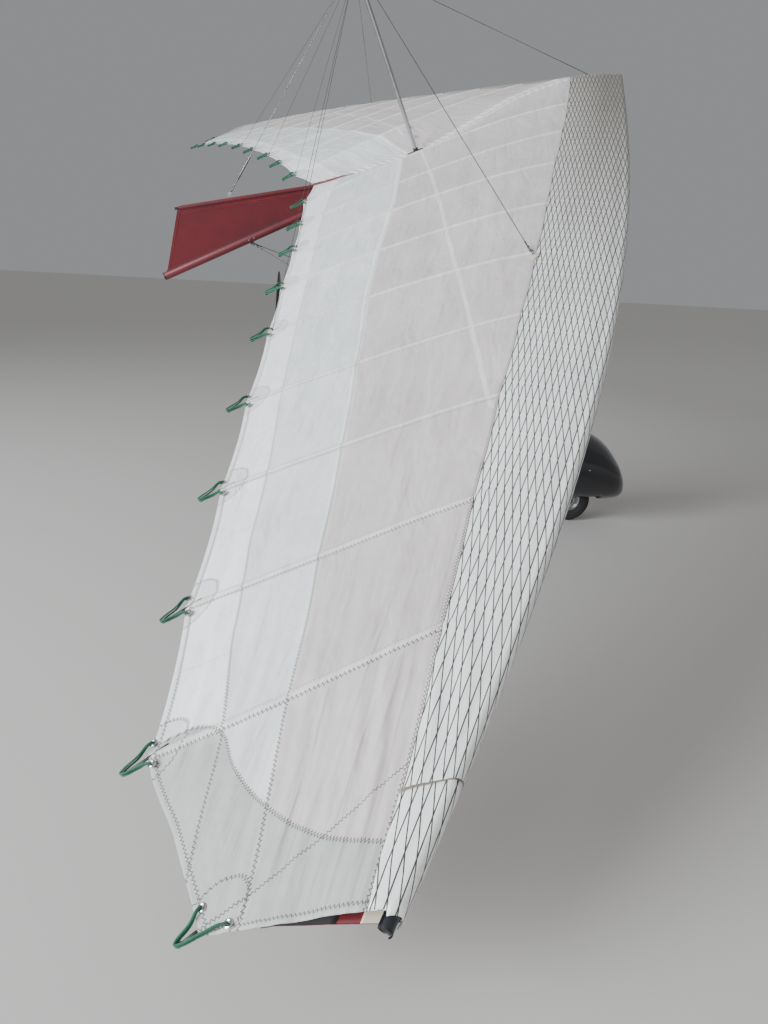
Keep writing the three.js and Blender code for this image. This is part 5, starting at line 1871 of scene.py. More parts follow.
class Wheel:
    """A ribbed tyre on a two-piece cast rim."""

    def __init__(self, size: WheelSize) -> None:
        """Keeps the wheel's size."""
        self.size = size

    def tyre(self) -> None:
        """Makes the tyre with its three grooves and sidewall rings."""
        s = self.size
        half, r = s.width / 2, s.radius
        side = [
            (s.rim, 0.60), (s.rim * 1.02, 0.73), (s.rim * 1.08, 0.80), (r * 0.68, 0.97), (r * 0.71, 0.985),
            (r * 0.72, 1.0), (r * 0.735, 1.0), (r * 0.745, 0.99), (r * 0.82, 0.985), (r * 0.88, 0.94),
            (r * 0.915, 0.88), (r * 0.945, 0.78), (r * 0.967, 0.66), (r * 0.974, 0.60), (r * 0.976, 0.50),
            (r * 0.955, 0.49), (r * 0.955, 0.43), (r * 0.984, 0.42), (r * 0.992, 0.28), (r * 0.996, 0.10),
            (r * 0.968, 0.09),
        ]
        profile = [(radius, -half * h) for radius, h in side]
        profile += [(radius, -h) for radius, h in reversed(profile)]
        profile.append(profile[0])
        piece = Piece(f"{s.name}_tyre_tread", s.body, "tyre", RUBBER, [s.node.format("tyre")])
        piece.turned(profile, s.centre, (0, 1, 0), 96)
        piece.finished(crease=40)

    def rim(self) -> None:
        """Makes the rim halves, spokes, bolts and the valve."""
        s = self.size
        x, y, z = s.centre
        half, rim = s.hub / 2, s.rim
        piece = Piece(f"{s.name}_rim", s.body, "wheel_alloy", CAST_WHEEL, [s.node.format("hub")])
        lip = half * 0.86
        well = [
            (rim * 0.78, -lip * 0.55), (rim * 0.90, -lip * 0.80), (rim * 0.97, -lip),
            (rim * 1.035, -lip * 1.02), (rim * 1.04, -lip * 0.94), (rim * 0.995, -lip * 0.86),
            (rim * 0.98, -lip * 0.5), (rim * 0.98, lip * 0.5), (rim * 0.995, lip * 0.86),
            (rim * 1.04, lip * 0.94), (rim * 1.035, lip * 1.02), (rim * 0.97, lip),
            (rim * 0.90, lip * 0.80), (rim * 0.78, lip * 0.55), (rim * 0.78, -lip * 0.55),
        ]
        piece.turned(well, s.centre, (0, 1, 0), 72)
        axle = s.axle + 0.0006
        boss = [
            (axle, -half), (rim * 0.30, -half), (rim * 0.34, -half * 0.92), (rim * 0.40, -half * 0.5),
            (rim * 0.46, -half * 0.42), (rim * 0.46, half * 0.42), (rim * 0.40, half * 0.5),
            (rim * 0.34, half * 0.92), (rim * 0.30, half), (axle, half), (axle, -half),
        ]
        piece.turned(boss, s.centre, (0, 1, 0), 48)
        spokes = 6
        for i in range(spokes):
            turn = 2 * math.pi * i / spokes
            way = Vector((math.cos(turn), 0, math.sin(turn)))
            a, b = Vector(s.centre) + way * rim * 0.38, Vector(s.centre) + way * rim * 0.86
            side = vy(1).cross(way)
            frame = Matrix((side, vy(1), way)).transposed().to_4x4()
            frame.translation = (a + b) / 2
            size = Matrix.Diagonal((rim * 0.30, half * 0.62, (b - a).length, 1))
            made = bmesh.ops.create_cube(piece.bm, size=1, matrix=frame @ size)
            piece.soften(made["verts"], rim * 0.05, 3, False)
        piece.finished(crease=40)
        bolts = Piece(f"{s.name}_wheel_bolts", s.body, "wheel_alloy", PLATED)
        for i in range(spokes):
            turn = 2 * math.pi * (i + 0.5) / spokes
            spot = Vector((x + math.cos(turn) * rim * 0.41, y, z + math.sin(turn) * rim * 0.41))
            for side in (-1, 1):
                bolts.bolt(spot + vy(side * half * 0.46), (0, side, 0), 0.0055)
        valve = Vector((x + rim * 0.80, y + lip * 0.45, z))
        bolts.bar(valve, valve + Vector((-0.004, 0.026, 0)), 0.004, sides=12, edge=0.001)
        bolts.finished()

    def build(self) -> None:
        """Builds the wheel."""
        self.tyre()
        self.rim()


@dataclass
class TrikeFrame:
    """Tubes of the trike: beam, mast, front strut, fork, main gear, engine bed and seat rails."""

    beam: tuple[Point, Point] = ((-0.640, 0, 0.345), (1.240, 0, 0.455))
    beam_size: float = 0.050
    mast_foot: tuple[float, float, float] = (-0.400, 0, 0.384)
    mast_radius: float = 0.029
    strut_foot: tuple[float, float, float] = (1.190, 0, 0.480)
    strut_top: float = 2.345
    strut_radius: float = 0.022
    nose: tuple[float, float, float] = (1.343, 0, 0.170)
    rake: float = math.radians(12)
    fork_half: float = 0.066
    foot_bar: float = 0.205
    half_track: float = 0.850
    main: tuple[float, float, float] = (-0.430, 0.850, 0.200)
    spring_top: float = 1.010

    @property
    def hang_bolt(self) -> Vector:
        """Middle of the hang bolt."""
        return TRIKE_FRAME.inverted() @ HANG_FRAME @ Vector((-0.062, 0, -0.072))

    @property
    def mast_way(self) -> Vector:
        """Direction of the mast, upwards."""
        return (self.hang_bolt - Vector(self.mast_foot)).normalized()

    def on_mast(self, height: float) -> Vector:
        """The mast's centreline at a height."""
        foot, way = Vector(self.mast_foot), self.mast_way
        return foot + way * ((height - foot.z) / way.z)

    def on_steer(self, length: float) -> Vector:
        """The steering axis at a length above the wheel's centre."""
        return Vector(self.nose) + Vector((-math.sin(self.rake), 0, math.cos(self.rake))) * length

    def on_beam(self, x: float, lift: float = 0.0) -> Vector:
        """A point over the beam's centreline.

        Args:
            x: its place along the machine.
            lift: height over the centreline, square to the beam.

        Returns:
            The point.
        """
        a, b = Vector(self.beam[0]), Vector(self.beam[1])
        way = (b - a).normalized()
        up = Vector((-way.z, 0, way.x))
        return a + (b - a) * ((x - a.x) / (b.x - a.x)) + up * lift

    def spine(self) -> None:
        """Makes the beam with its end plug and steering head."""
        s = self.beam_size
        piece = Piece("spine_beam", *TUBES, ["base_beam"])
        piece.beam(self.beam[0], self.beam[1], s, s, 0.005)
        piece.beam(Vector(self.beam[1]) - Vector((0.04, 0, 0)), self.on_steer(0.293), 0.044, 0.044, 0.004)
        piece.bar(self.on_steer(0.235), self.on_steer(0.350), 0.027, sides=40, edge=0.002)
        for x in (-0.43, 1.15):
            for side in (-1, 1):
                a, b = self.on_beam(x - 0.06, -0.02), self.on_beam(x + 0.06, 0.055)
                near, far = sorted((side * 0.0255, side * 0.0255 + side * 0.004))
                piece.box((a.x, near, a.z), (b.x, far, b.z), 0.0015)
        piece.finished()
        trims = Piece("beam_trims", *MOULDINGS)
        end, way = Vector(self.beam[0]), (Vector(self.beam[0]) - Vector(self.beam[1])).normalized()
        trims.beam(end - way * 0.004, end + way * 0.0035, s - 0.006, s - 0.006, 0.0015)
        for length in (0.2375, 0.3475):
            trims.bar(
                self.on_steer(length - 0.003), self.on_steer(length + 0.003), 0.0285, sides=40, edge=0.001
            )
        trims.finished()
        bolts = Piece("beam_bolts", *FITTINGS)
        for x, lift in (
            (-0.46, 0.03), (-0.41, 0.035), (1.12, 0.035), (1.17, 0.04), (0.15, 0.0), (-0.49, 0.0)
        ):
            bolts.bolt(self.on_beam(x, lift) + vy(0.030), (0, 1, 0), 0.0075, 0.060)
        bolts.finished()

    def uprights(self) -> None:
        """Makes the mast with its fork at the hang bolt, and the front strut."""
        way, bolt = self.mast_way, self.hang_bolt
        top = bolt - way * 0.062
        mast = Piece("mast_tube", *TUBES, ["mast"])
        mast.bar(Vector(self.mast_foot) - way * 0.012, top, self.mast_radius, sides=40, edge=0.002)
        mast.bar(
            Vector(self.mast_foot) + way * 0.02,
            Vector(self.mast_foot) + way * 0.10,
            0.0315,
            sides=40,
            edge=0.002,
        )
        frame = Piece.lie(bolt - way * 0.055, way)
        for side in (-1, 1):
            y = side * 0.0173
            mast.box((y - 0.005, -0.020, -0.055), (y + 0.005, 0.020, 0.055), 0.002, frame)
            mast.bar(bolt + vy(y - 0.005), bolt + vy(y + 0.005), 0.020, sides=32, edge=0.0015)
        mast.finished()
        pins = Piece("hang_bolt", *FITTINGS)
        pins.bolt(bolt + vy(0.0225), (0, 1, 0), 0.0105, 0.045)
        pins.bar(bolt + vy(-0.022), bolt + vy(0.022), 0.0068, sides=20)
        for drop in (0.075, 0.105):
            pins.bolt(bolt - way * drop + vy(0.0285), (0, 1, 0), 0.007, 0.057)
        foot = self.on_mast(self.spring_top)
        pins.bolt(foot + vy(0.030), (0, 1, 0), 0.0075, 0.060)
        pins.finished()
        a, b = Vector(self.strut_foot), self.on_mast(self.strut_top)
        run = (b - a).normalized()
        strut = Piece("front_strut_tube", *TUBES, ["front_strut"])
        strut.bar(a + run * 0.03, b - run * 0.045, self.strut_radius, sides=36, edge=0.002)
        for end, sign in ((a, 1), (b, -1)):
            strut.bar(end + run * 0.004 * sign, end + run * 0.075 * sign, 0.0125, sides=24, edge=0.002)
            strut.bar(end + run * 0.060 * sign, end + run * 0.095 * sign, 0.0235, sides=36, edge=0.003)
        strut.finished()
        pad = Piece("bar_pad", *MOULDINGS)
        spot = a + run * ((1.10 - a.z) / run.z)
        pad.bar(spot, spot + run * 0.16, 0.0245, sides=32, edge=0.003)
        pad.finished()
        ties = Piece("strut_fittings", *FITTINGS)
        for end, sign in ((a, 1), (b, -1)):
            ties.bolt(end + run * 0.078 * sign + vy(0.0235), (0, 1, 0), 0.0065, 0.047)
        frame = Piece.lie(b, way)
        ties.bar(frame @ vz(-0.028), frame @ vz(0.028), self.mast_radius + 0.0035, sides=36, edge=0.002)
        ties.finished()

    def steering(self) -> None:
        """Makes the fork, its foot bar with rubber pegs, and the axle."""
        fork = Piece("fork_weldment", Body.FORK, "frame_paint", FRAME_PAINT, ["nose_fork"])
        low, high = self.on_steer(0.196), self.on_steer(0.2347)
        fork.beam(low, high, 0.158, 0.056, 0.006)
        fork.bar(self.on_steer(0.190), self.on_steer(0.370), 0.0135, sides=28)
        fork.bar(self.on_steer(0.3503), self.on_steer(0.364), 0.022, sides=36, edge=0.003)
        bar = self.on_steer(0.215)
        fork.bar(bar + vy(-self.foot_bar), bar + vy(self.foot_bar), 0.011, sides=28, edge=0.001)
        for side in (-1, 1):
            y = vy(side * self.fork_half)
            top, foot = self.on_steer(0.205) + y, Vector(self.nose) + y
            fork.bar(top, foot + (top - foot).normalized() * 0.018, 0.013, sides=28)
            fork.bar(foot + vy(-0.006), foot + vy(0.006), 0.024, sides=32, edge=0.0015)
        fork.finished()
        pegs = Piece("foot_pegs", Body.FORK, "panel_plastic", NYLON)
        for side in (-1, 1):
            for step in range(9):
                y = side * (0.105 + step * 0.0112)
                pegs.bar(
                    bar + vy(y),
                    bar + vy(y + side * 0.0105),
                    0.0158 if step % 2 else 0.0145,
                    sides=28,
                    edge=0.001,
                )
        pegs.finished()
        axle = Piece("nose_axle", Body.FORK, "steel_fitting", PLATED)
        centre = Vector(self.nose)
        axle.bar(centre + vy(-0.060), centre + vy(0.060), 0.0098, sides=24)
        for side in (-1, 1):
            axle.bar(centre + vy(side * 0.043), centre + vy(side * 0.059), 0.0145, sides=24, edge=0.001)
        axle.bolt(centre + vy(0.0725), (0, 1, 0), 0.012, 0.145)
        axle.finished()

    def main_gear(self, side: int, word: str) -> None:
        """Makes one side's arm, drag strut, sprung strut, brake and its hose.

        Args:
            side: 1 for the left, -1 for the right.
            word: the side's name.
        """
        inner = Vector((self.main[0] - 0.06, 0, 0.354))
        outer = Vector((self.main[0], self.half_track - 0.105, 0.200))
        run = (outer - inner).normalized()
        flip = mirrored(side)

        def along(share: float) -> Vector:
            """A point of the arm on the left, at a share of its length."""
            return inner.lerp(outer, share)

        arm = Piece(f"arm_tube_{word}", *TUBES, [f"main_arm_{word}"])
        arm.bar(flip @ (inner + run * 0.028), flip @ (outer + run * 0.004), 0.0228, sides=36, edge=0.002)
        arm.bar(flip @ (outer - run * 0.05), flip @ (outer + run * 0.008), 0.0255, sides=36, edge=0.003)
        stub = Vector((self.main[0], self.half_track, self.main[2]))
        arm.bar(flip @ (stub + vy(-0.117)), flip @ (stub + vy(0.062)), 0.0128, sides=28, edge=0.002)
        disc = [(0.013, -0.066), (0.070, -0.066), (0.0718, -0.062), (0.0718, -0.056), (0.070, -0.054)]
        disc += [(0.013, -0.054), (0.013, -0.066)]
        arm.turned(disc, flip @ stub, (0, side, 0), 64)
        arm.finished()
        tube = Piece(f"drag_tube_{word}", *TUBES, [f"drag_strut_{word}"])
        a, b = Vector((0.150, 0.025, 0.392)), along(0.93)
        way = (b - a).normalized()
        tube.bar(flip @ (a + way * 0.03), flip @ (b - way * 0.045), 0.014, sides=28, edge=0.002)
        tube.finished()
        ends = Piece(f"strut_ends_{word}", *FITTINGS)
        for end, sign in ((a, 1), (b, -1)):
            ends.bar(flip @ (end + way * sign * 0.006), flip @ (end + way * sign * 0.036), 0.0085, sides=20)
            ends.bar(
                flip @ (end + way * sign * 0.030),
                flip @ (end + way * sign * 0.046),
                0.0125,
                sides=6,
                edge=0.001,
            )
        ends.bolt(flip @ (b + vz(0.030)), (0, 0, 1), 0.008, 0.060)
        ends.finished()
        self.spring(word, flip, self.on_mast(self.spring_top), along(0.84))
        brake = Piece(f"brake_{word}", Body.TRIKE, "steel_fitting", MACHINED)
        spot = flip @ (stub + Vector((0.045, -0.078, 0.045)))
        brake.box(spot - Vector((0.022, 0.012, 0.016)), spot + Vector((0.022, 0.012, 0.016)), 0.004)
        brake.bolt(spot + Vector((0.0, -side * 0.012, 0.006)), (0, -side, 0), 0.005)
        brake.finished()
        hose = Piece(f"brake_hose_{word}", *RUBBERS)
        way_in = [flip @ (along(share) + vz(0.031)) for share in (0.9, 0.6, 0.3, 0.06)]
        hose.tube([spot + vz(0.016), spot + Vector((0.01, -side * 0.04, 0.05)), *way_in], 0.0035)
        hose.finished()

    def spring(self, word: str, flip: Matrix, top: Vector, foot: Vector) -> None:
        """Makes one sprung strut: a tube, a slider, a coil and its cups.

        Args:
            word: the side's name.
            flip: puts it on its side.
            top: upper end, on the left.
            foot: lower end, on the left.
        """
        node = f"spring_strut_{word}"
        run = (foot - top).normalized()
        length = (foot - top).length
        strut = Piece(f"strut_tube_{word}", *TUBES, [node])
        strut.bar(
            flip @ (top + run * 0.055), flip @ (top + run * (length * 0.62)), 0.0165, sides=32, edge=0.002
        )
        strut.finished()
        rod = Piece(f"strut_slider_{word}", *FITTINGS)
        rod.bar(flip @ (top + run * (length * 0.60)), flip @ (foot - run * 0.045), 0.0105, sides=28)
        rod.bar(flip @ (top + run * 0.032), flip @ (top + run * 0.058), 0.0120, sides=24, edge=0.002)
        for share in (0.62, 0.90):
            rod.bar(
                flip @ (top + run * (length * share)),
                flip @ (top + run * (length * share + 0.008)),
                0.0225,
                sides=36,
                edge=0.001,
            )
        rod.bar(flip @ (foot - run * 0.050), flip @ (foot - run * 0.028), 0.0120, sides=24, edge=0.002)
        rod.finished()
        coil = Piece(f"coil_{word}", Body.TRIKE, "steel_fitting", SPRING)
        turns, steps = 8, 18
        start, long = length * 0.62 + 0.011, length * 0.28 - 0.014
        side = run.orthogonal().normalized()
        other = run.cross(side)
        path = []
        for i in range(turns * steps + 1):
            angle = 2 * math.pi * i / steps
            centre = top + run * (start + long * i / (turns * steps))
            path.append(flip @ (centre + (side * math.cos(angle) + other * math.sin(angle)) * 0.0185))
        coil.tube(path, 0.0032, sides=6, sharp=True)
        coil.finished(crease=60)

    def engine_bed(self) -> None:
        """Makes the engine rails, their cross pieces, struts and the bolts on them."""
        bed = Piece("engine_rails", *TUBES, ["engine_bed"])
        for side in (-1, 1):
            y = side * 0.110
            bed.beam((-0.825, y, 0.740), (-0.330, y, 0.740), 0.026, 0.030, 0.003)
            bed.bar((-0.790, y, 0.735), (-0.604, side * 0.014, 0.368), 0.015, sides=28)
        for x in (-0.345, -0.780):
            bed.box((x - 0.020, -0.120, 0.7255), (x + 0.020, 0.120, 0.7545), 0.003)
        bed.finished()
        bolts = Piece("bed_bolts", *FITTINGS)
        for x in (-0.815, -0.345):
            for side in (-1, 1):
                bolts.bolt((x, side * 0.110, 0.7555), (0, 0, 1), 0.006)
        bolts.finished()

    def seat_rails(self) -> None:
        """Makes the bent seat tubes, their cross tubes and the round caps on their ends."""
        rails = Piece("seat_tubes", *TUBES, ["seat_frame"])
        for side in (-1, 1):
            y = side * 0.185
            bends = [
                (-0.352, 0.560), (-0.02, 0.560), (0.036, 0.556), (0.066, 0.535), (0.106, 0.472),
                (0.136, 0.454), (0.19, 0.452), (0.485, 0.452),
            ]
            rails.tube([(x, y, z) for x, z in bends], 0.0118, sides=12)
        for x, z in ((-0.352, 0.560), (0.120, 0.452), (0.485, 0.452)):
            rails.bar((x, -0.187, z), (x, 0.187, z), 0.0118, sides=28, edge=0.002)
        rails.finished()
        caps = Piece("seat_tube_caps", *MOULDINGS)
        for side in (-1, 1):
            for x, z in ((-0.352, 0.560), (0.120, 0.452), (0.485, 0.452)):
                caps.ball((x, side * 0.187, z), 0.0130, 8)
        caps.finished()

    def bracket(self) -> None:
        """Makes the hang bracket: its sleeve, and the lug with its round boss."""
        piece = Piece("hang_sleeve", Body.BRACKET, "steel_fitting", MACHINED, ["hang_bracket"])
        piece.turned(
            [
                (0.0256, -0.050), (0.0372, -0.050), (0.038, -0.048), (0.038, 0.048), (0.0372, 0.050),
                (0.0256, 0.050), (0.0256, -0.050),
            ],
            (-0.062, 0, 0),
            (1, 0, 0),
            56,
        )
        piece.box((-0.082, -0.0118, -0.072), (-0.042, 0.0118, -0.034), 0.002)
        piece.bar((-0.062, -0.0118, -0.072), (-0.062, 0.0118, -0.072), 0.020, sides=36, edge=0.001)
        piece.finished()

    def build(self) -> None:
        """Builds all the trike's tubes and its wheels."""
        self.spine()
        self.uprights()
        self.steering()
        for side, word in SIDES:
            self.main_gear(side, word)
        self.engine_bed()
        self.seat_rails()
        self.bracket()
        x, y, z = self.main
        wheels = [WheelSize("nose", "nose_{}", Body.NOSE_WHEEL, self.nose, 0.170, 0.095, 0.084, 0.080, 0.010)]
        for body, (side, word) in zip((Body.LEFT_WHEEL, Body.RIGHT_WHEEL), SIDES):
            centre = (x, side * y, z)
            name, node = f"main_{word}", f"main_{{}}_{word}"
            wheels.append(WheelSize(name, node, body, centre, 0.200, 0.105, 0.100, 0.092, 0.013))
        for size in wheels:
            Wheel(size).build()



@dataclass
class Powerplant:
    """Flat-four engine with its intakes, exhaust, radiator and gearbox."""

    crank: float = 1.000
    case: tuple[float, float] = (-0.430, -0.770)
    cylinders: tuple[float, float] = (-0.515, -0.675)
    barrel_z: float = 0.985
    head_in: float = 0.228
    head_out: float = 0.306
    head_low: float = 0.915
    head_high: float = 1.055
    muffler_y: float = 0.240
    muffler_z: float = 0.840
    intake_y: float = 0.168
    intake_z: float = 1.132

    def crankcase(self) -> None:
        """Makes the case halves, ribs, sump, feet and flywheel housing."""
        front, rear = self.case
        piece = Piece("crankcase", *CASTINGS, ["engine"])
        for side in (-1, 1):
            low, high = sorted((side * 0.0012, side * 0.114))
            piece.box((rear + 0.001, low, 0.884), (front - 0.001, high, 1.096), 0.014)
            for i in range(7):
                x = rear + 0.035 + i * 0.045
                piece.box(
                    (x - 0.003, side * 0.06 - 0.045, 1.088), (x + 0.003, side * 0.06 + 0.045, 1.1045), 0.0012
                )
        piece.box((rear + 0.006, -0.006, 0.880), (front - 0.006, 0.006, 1.103), 0.002)
        piece.box((-0.738, -0.083, 0.802), (-0.472, 0.083, 0.888), 0.012)
        piece.bar((front - 0.01, 0, self.crank), (-0.394, 0, self.crank), 0.077, 0.074, sides=56, edge=0.004)
        for x in (-0.470, -0.730):
            for side in (-1, 1):
                piece.box(
                    (x - 0.023, side * 0.110 - 0.017, 0.780), (x + 0.023, side * 0.110 + 0.017, 0.899), 0.005
                )
        piece.finished()
        rubber = Piece("engine_mounts", *RUBBERS)
        bolts = Piece("case_bolts", *ENGINE_BOLTS)
        for x in (-0.470, -0.730):
            for side in (-1, 1):
                rubber.bar(
                    (x, side * 0.110, 0.7556), (x, side * 0.110, 0.7815), 0.0178, 0.0165, sides=32, edge=0.003
                )
                bolts.bolt((x, side * 0.1275, 0.86), (0, side, 0), 0.006)
        for i in range(6):
            turn = math.pi * (i + 0.5) / 3
            bolts.bolt(
                (-0.3945, math.cos(turn) * 0.058, self.crank + math.sin(turn) * 0.058), (1, 0, 0), 0.005
            )
        for i in range(5):
            x = rear + 0.05 + i * 0.06
            bolts.bolt((x, 0.0, 1.1035), (0, 0, 1), 0.005)
            for side in (-1, 1):
                bolts.bolt((x, side * 0.0835, 0.832), (0, side, 0), 0.0042)
        rubber.finished()
        bolts.finished()
        covers = Piece("starter_housing", Body.TRIKE, "engine_metal", CRACKLE)
        covers.turned(
            [(0, 0), (0.045, 0), (0.058, 0.003), (0.062, 0.008), (0.045, 0.010), (0.018, 0.011), (0, 0.011)],
            (-0.3955, 0, self.crank),
            (1, 0, 0),
            48,
        )
        covers.bar((-0.455, -0.060, 0.886), (-0.455, -0.060, 0.810), 0.0345, sides=36, edge=0.006)
        covers.box((-0.720, -0.030, 1.100), (-0.660, 0.030, 1.132), 0.006)
        covers.finished()

    def cylinder(
        self, x: float, side: int, fins: Piece, heads: Piece, covers: Piece, metal: Piece, leads: Piece
    ) -> None:
        """Adds one cylinder with its fins, head, rocker cover, plugs and leads.

        Args:
            x: middle of the cylinder.
            side: 1 for the left, -1 for the right.
            fins: takes the barrel.
            heads: takes the head.
            covers: takes the rocker cover.
            metal: takes the bolt and the plugs.
            leads: takes the caps and leads.
        """

        def at(y: float, z: float = self.barrel_z, dx: float = 0.0) -> Vector:
            """A point at y on this side and height z, dx ahead of the cylinder's middle."""
            return Vector((x + dx, side * y, z))

        fins.bar(at(0.105), at(0.232), 0.050, sides=48)
        for i in range(12):
            y = 0.128 + i * 0.0082
            fins.bar(at(y), at(y + 0.0026), 0.0635, sides=48, edge=0.0008)
        y0, y1 = sorted((side * self.head_in, side * (self.head_out - 0.001)))
        heads.box((x - 0.065, y0, self.head_low + 0.001), (x + 0.065, y1, self.head_high - 0.001), 0.010)
        for i in range(5):
            z = 0.930 + i * 0.026
            heads.box((x - 0.0662, y0 + 0.012, z), (x + 0.0662, y1 - 0.012, z + 0.004), 0.0012)
        y0, y1 = sorted((side * 0.303, side * 0.3178))
        covers.box((x - 0.050, y0, 0.935), (x + 0.050, y1, 1.000), 0.007)
        covers.box((x - 0.042, y0, 1.004), (x + 0.042, y1, 1.034), 0.006)
        metal.bolt((x, side * 0.3178, 0.968), (0, side, 0), 0.0065)
        for dx in (-0.056, 0.056):
            metal.bar(at(0.302, 1.010, dx), at(0.318, 1.010, dx), 0.009, sides=6)
            leads.bar(at(0.312, 1.010, dx), at(0.338, 1.010, dx), 0.0085, 0.0075, sides=24, edge=0.003)
            run = [at(0.335, 1.010, dx), at(0.345, 1.022, dx * 0.98), at(0.33, 1.062, dx * 0.6)]
            run += [at(0.25, 1.078, dx * 0.2), at(0.16, 1.098, 0.01)]
            leads.tube([*run, Vector((-0.69 + dx * 0.2, side * 0.04, 1.118))], 0.0036)

    def cylinder_bank(self) -> None:
        """Makes the four cylinders."""
        fins = Piece("barrel_fins", *MACHINED_PARTS)
        heads = Piece("cylinder_heads", *CASTINGS)
        covers = Piece("rocker_covers", Body.TRIKE, "engine_metal", CRACKLE)
        metal = Piece("head_bolts", *ENGINE_BOLTS)
        leads = Piece("plug_leads", *RUBBERS)
        pieces = (fins, heads, covers, metal, leads)
        for x in self.cylinders:
            for side in (-1, 1):
                self.cylinder(x, side, *pieces)
        for piece in pieces:
            piece.finished()

    def intake(self, side: int, pipes: Piece, carbs: Piece, gauze: Piece, rubber: Piece) -> None:
        """Adds one side's manifold, carburettor and filter.

        Args:
            side: 1 for the left, -1 for the right.
            pipes: takes the manifold.
            carbs: takes the carburettor and clamps.
            gauze: takes the filter.
            rubber: takes its ends and the cables.
        """
        y, z = self.intake_y, self.intake_z

        def at(x: float, w: float = y, h: float = z) -> Vector:
            """A point at x, w out on this side and h up."""
            return Vector((x, side * w, h))

        for x in self.cylinders:
            bends = [at(x, y + 0.090, 1.045), at(x, y + 0.084, z - 0.024), at((x - 0.595) / 2, y + 0.030)]
            pipes.tube([*bends, at(-0.595)], 0.0148, sides=12)
            pipes.bar(at(x, y + 0.090, 1.050), at(x, y + 0.090, 1.061), 0.024, sides=6, edge=0.001)
        carbs.bar(at(-0.562), at(-0.645), 0.0275, sides=40, edge=0.004)
        carbs.bar(at(-0.590), at(-0.630), 0.0305, sides=40, edge=0.004)
        carbs.bar(at(-0.610, y, z - 0.051), at(-0.610, y, z), 0.0255, sides=36, edge=0.004)
        carbs.bar(at(-0.610, y, z), at(-0.610, y, z + 0.040), 0.0190, 0.0165, sides=36, edge=0.003)
        for x in (-0.566, -0.648, -0.664):
            carbs.bar(at(x - 0.003), at(x + 0.003), 0.0318, sides=40, edge=0.001)
        rubber.bar(at(-0.640), at(-0.672), 0.0295, sides=36, edge=0.003)
        rubber.bar(at(-0.664), at(-0.676), 0.0465, sides=48, edge=0.004)
        rubber.bar(at(-0.750), at(-0.762), 0.0465, sides=48, edge=0.004)
        half, pleats = 0.038, 30
        profile = [(0.030, -half)]
        for i in range(pleats):
            h = -half + 2 * half * i / (pleats - 1)
            profile.append((0.0445 if i % 2 else 0.0410, h))
        profile += [(0.030, half), (0.030, -half)]
        gauze.turned(profile, at(-0.713), (-1, 0, 0), 48)
        cable = [at(-0.610, y, z + 0.036), at(-0.600, y - 0.02, z + 0.075), at(-0.50, y - 0.08, z + 0.055)]
        cable += [at(-0.40, y - 0.12, z - 0.02), at(-0.36, 0.03, z - 0.14)]
        rubber.tube(cable, 0.0028)
        feed = [at(-0.610, y - 0.024, z - 0.034), at(-0.60, y - 0.07, z - 0.026)]
        feed += [at(-0.52, 0.05, z - 0.020), at(-0.45, 0.03, z - 0.028)]
        rubber.tube(feed, 0.0042)

    def intakes(self) -> None:
        """Makes the manifolds, carburettors, filters and the fuel pump."""
        pipes = Piece("intake_pipes", *MACHINED_PARTS)
        carbs = Piece("carburettors", *CASTINGS)
        gauze = Piece("air_filters", Body.TRIKE, "engine_metal", GAUZE)
        rubber = Piece("filter_ends", *RUBBERS)
        pieces = (pipes, carbs, gauze, rubber)
        for side in (-1, 1):
            self.intake(side, *pieces)
        carbs.bar((-0.450, 0, 1.096), (-0.450, 0, 1.128), 0.026, sides=36, edge=0.004)
        for piece in pieces:
            piece.finished()

    def cooling(self) -> None:
        """Makes the header tank, the radiator with its tanks, and the hoses."""
        tank = Piece("header_tank", *MACHINED_PARTS)
        tank.bar((-0.600, 0, 1.096), (-0.600, 0, 1.158), 0.041, sides=48, edge=0.006)
        tank.bar((-0.600, 0, 1.156), (-0.600, 0, 1.1715), 0.022, sides=32, edge=0.003)
        tank.finished()
        front, rear, half, low, high = -0.470, -0.700, 0.135, 0.665, 0.7247
        core = Piece("radiator_core_fins", Body.TRIKE, "radiator_core", CORE, ["radiator"])
        core.box((rear + 0.02, -half + 0.018, low + 0.006), (front - 0.02, half - 0.018, high - 0.006), 0.002)
        for i in range(44):
            y = -half + 0.022 + i * (2 * half - 0.044) / 43
            core.box((rear + 0.018, y - 0.0008, low + 0.002), (front - 0.018, y + 0.0008, high - 0.003), 0)
        core.finished()
        ends = Piece("radiator_tanks", Body.TRIKE, "radiator_core", CRACKLE)
        for side in (-1, 1):
            y0, y1 = sorted((side * (half - 0.020), side * half))
            ends.box((rear + 0.002, y0, low + 0.001), (front - 0.002, y1, high - 0.001), 0.006)
        for x in (rear, front):
            x0, x1 = sorted((x, x + (0.020 if x == rear else -0.020)))
            ends.box(
                (x0 + 0.001, -half + 0.014, low + 0.001), (x1 - 0.001, half - 0.014, high - 0.001), 0.002
            )
        ends.finished()
        hoses = Piece("coolant_hoses", *RUBBERS)
        hoses.tube(
            [
                (-0.50, -0.125, 0.695), (-0.455, -0.135, 0.720), (-0.425, -0.125, 0.80),
                (-0.43, -0.08, 0.865), (-0.45, -0.05, 0.90),
            ],
            0.0125,
            sides=12,
        )
        hoses.tube(
            [
                (-0.68, 0.125, 0.700), (-0.735, 0.142, 0.72), (-0.790, 0.150, 0.80), (-0.79, 0.142, 0.92),
                (-0.76, 0.10, 1.07), (-0.69, 0.04, 1.128), (-0.62, 0.01, 1.130),
            ],
            0.0125,
            sides=12,
        )
        for x in self.cylinders:
            for side in (-1, 1):
                hoses.tube(
                    [
                        (x + 0.03, side * 0.262, 1.052), (x + 0.03, side * 0.25, 1.082),
                        (x + 0.01, side * 0.16, 1.092), (-0.600, side * 0.038, 1.125),
                    ],
                    0.0062,
                    sides=8,
                )
        hoses.finished()

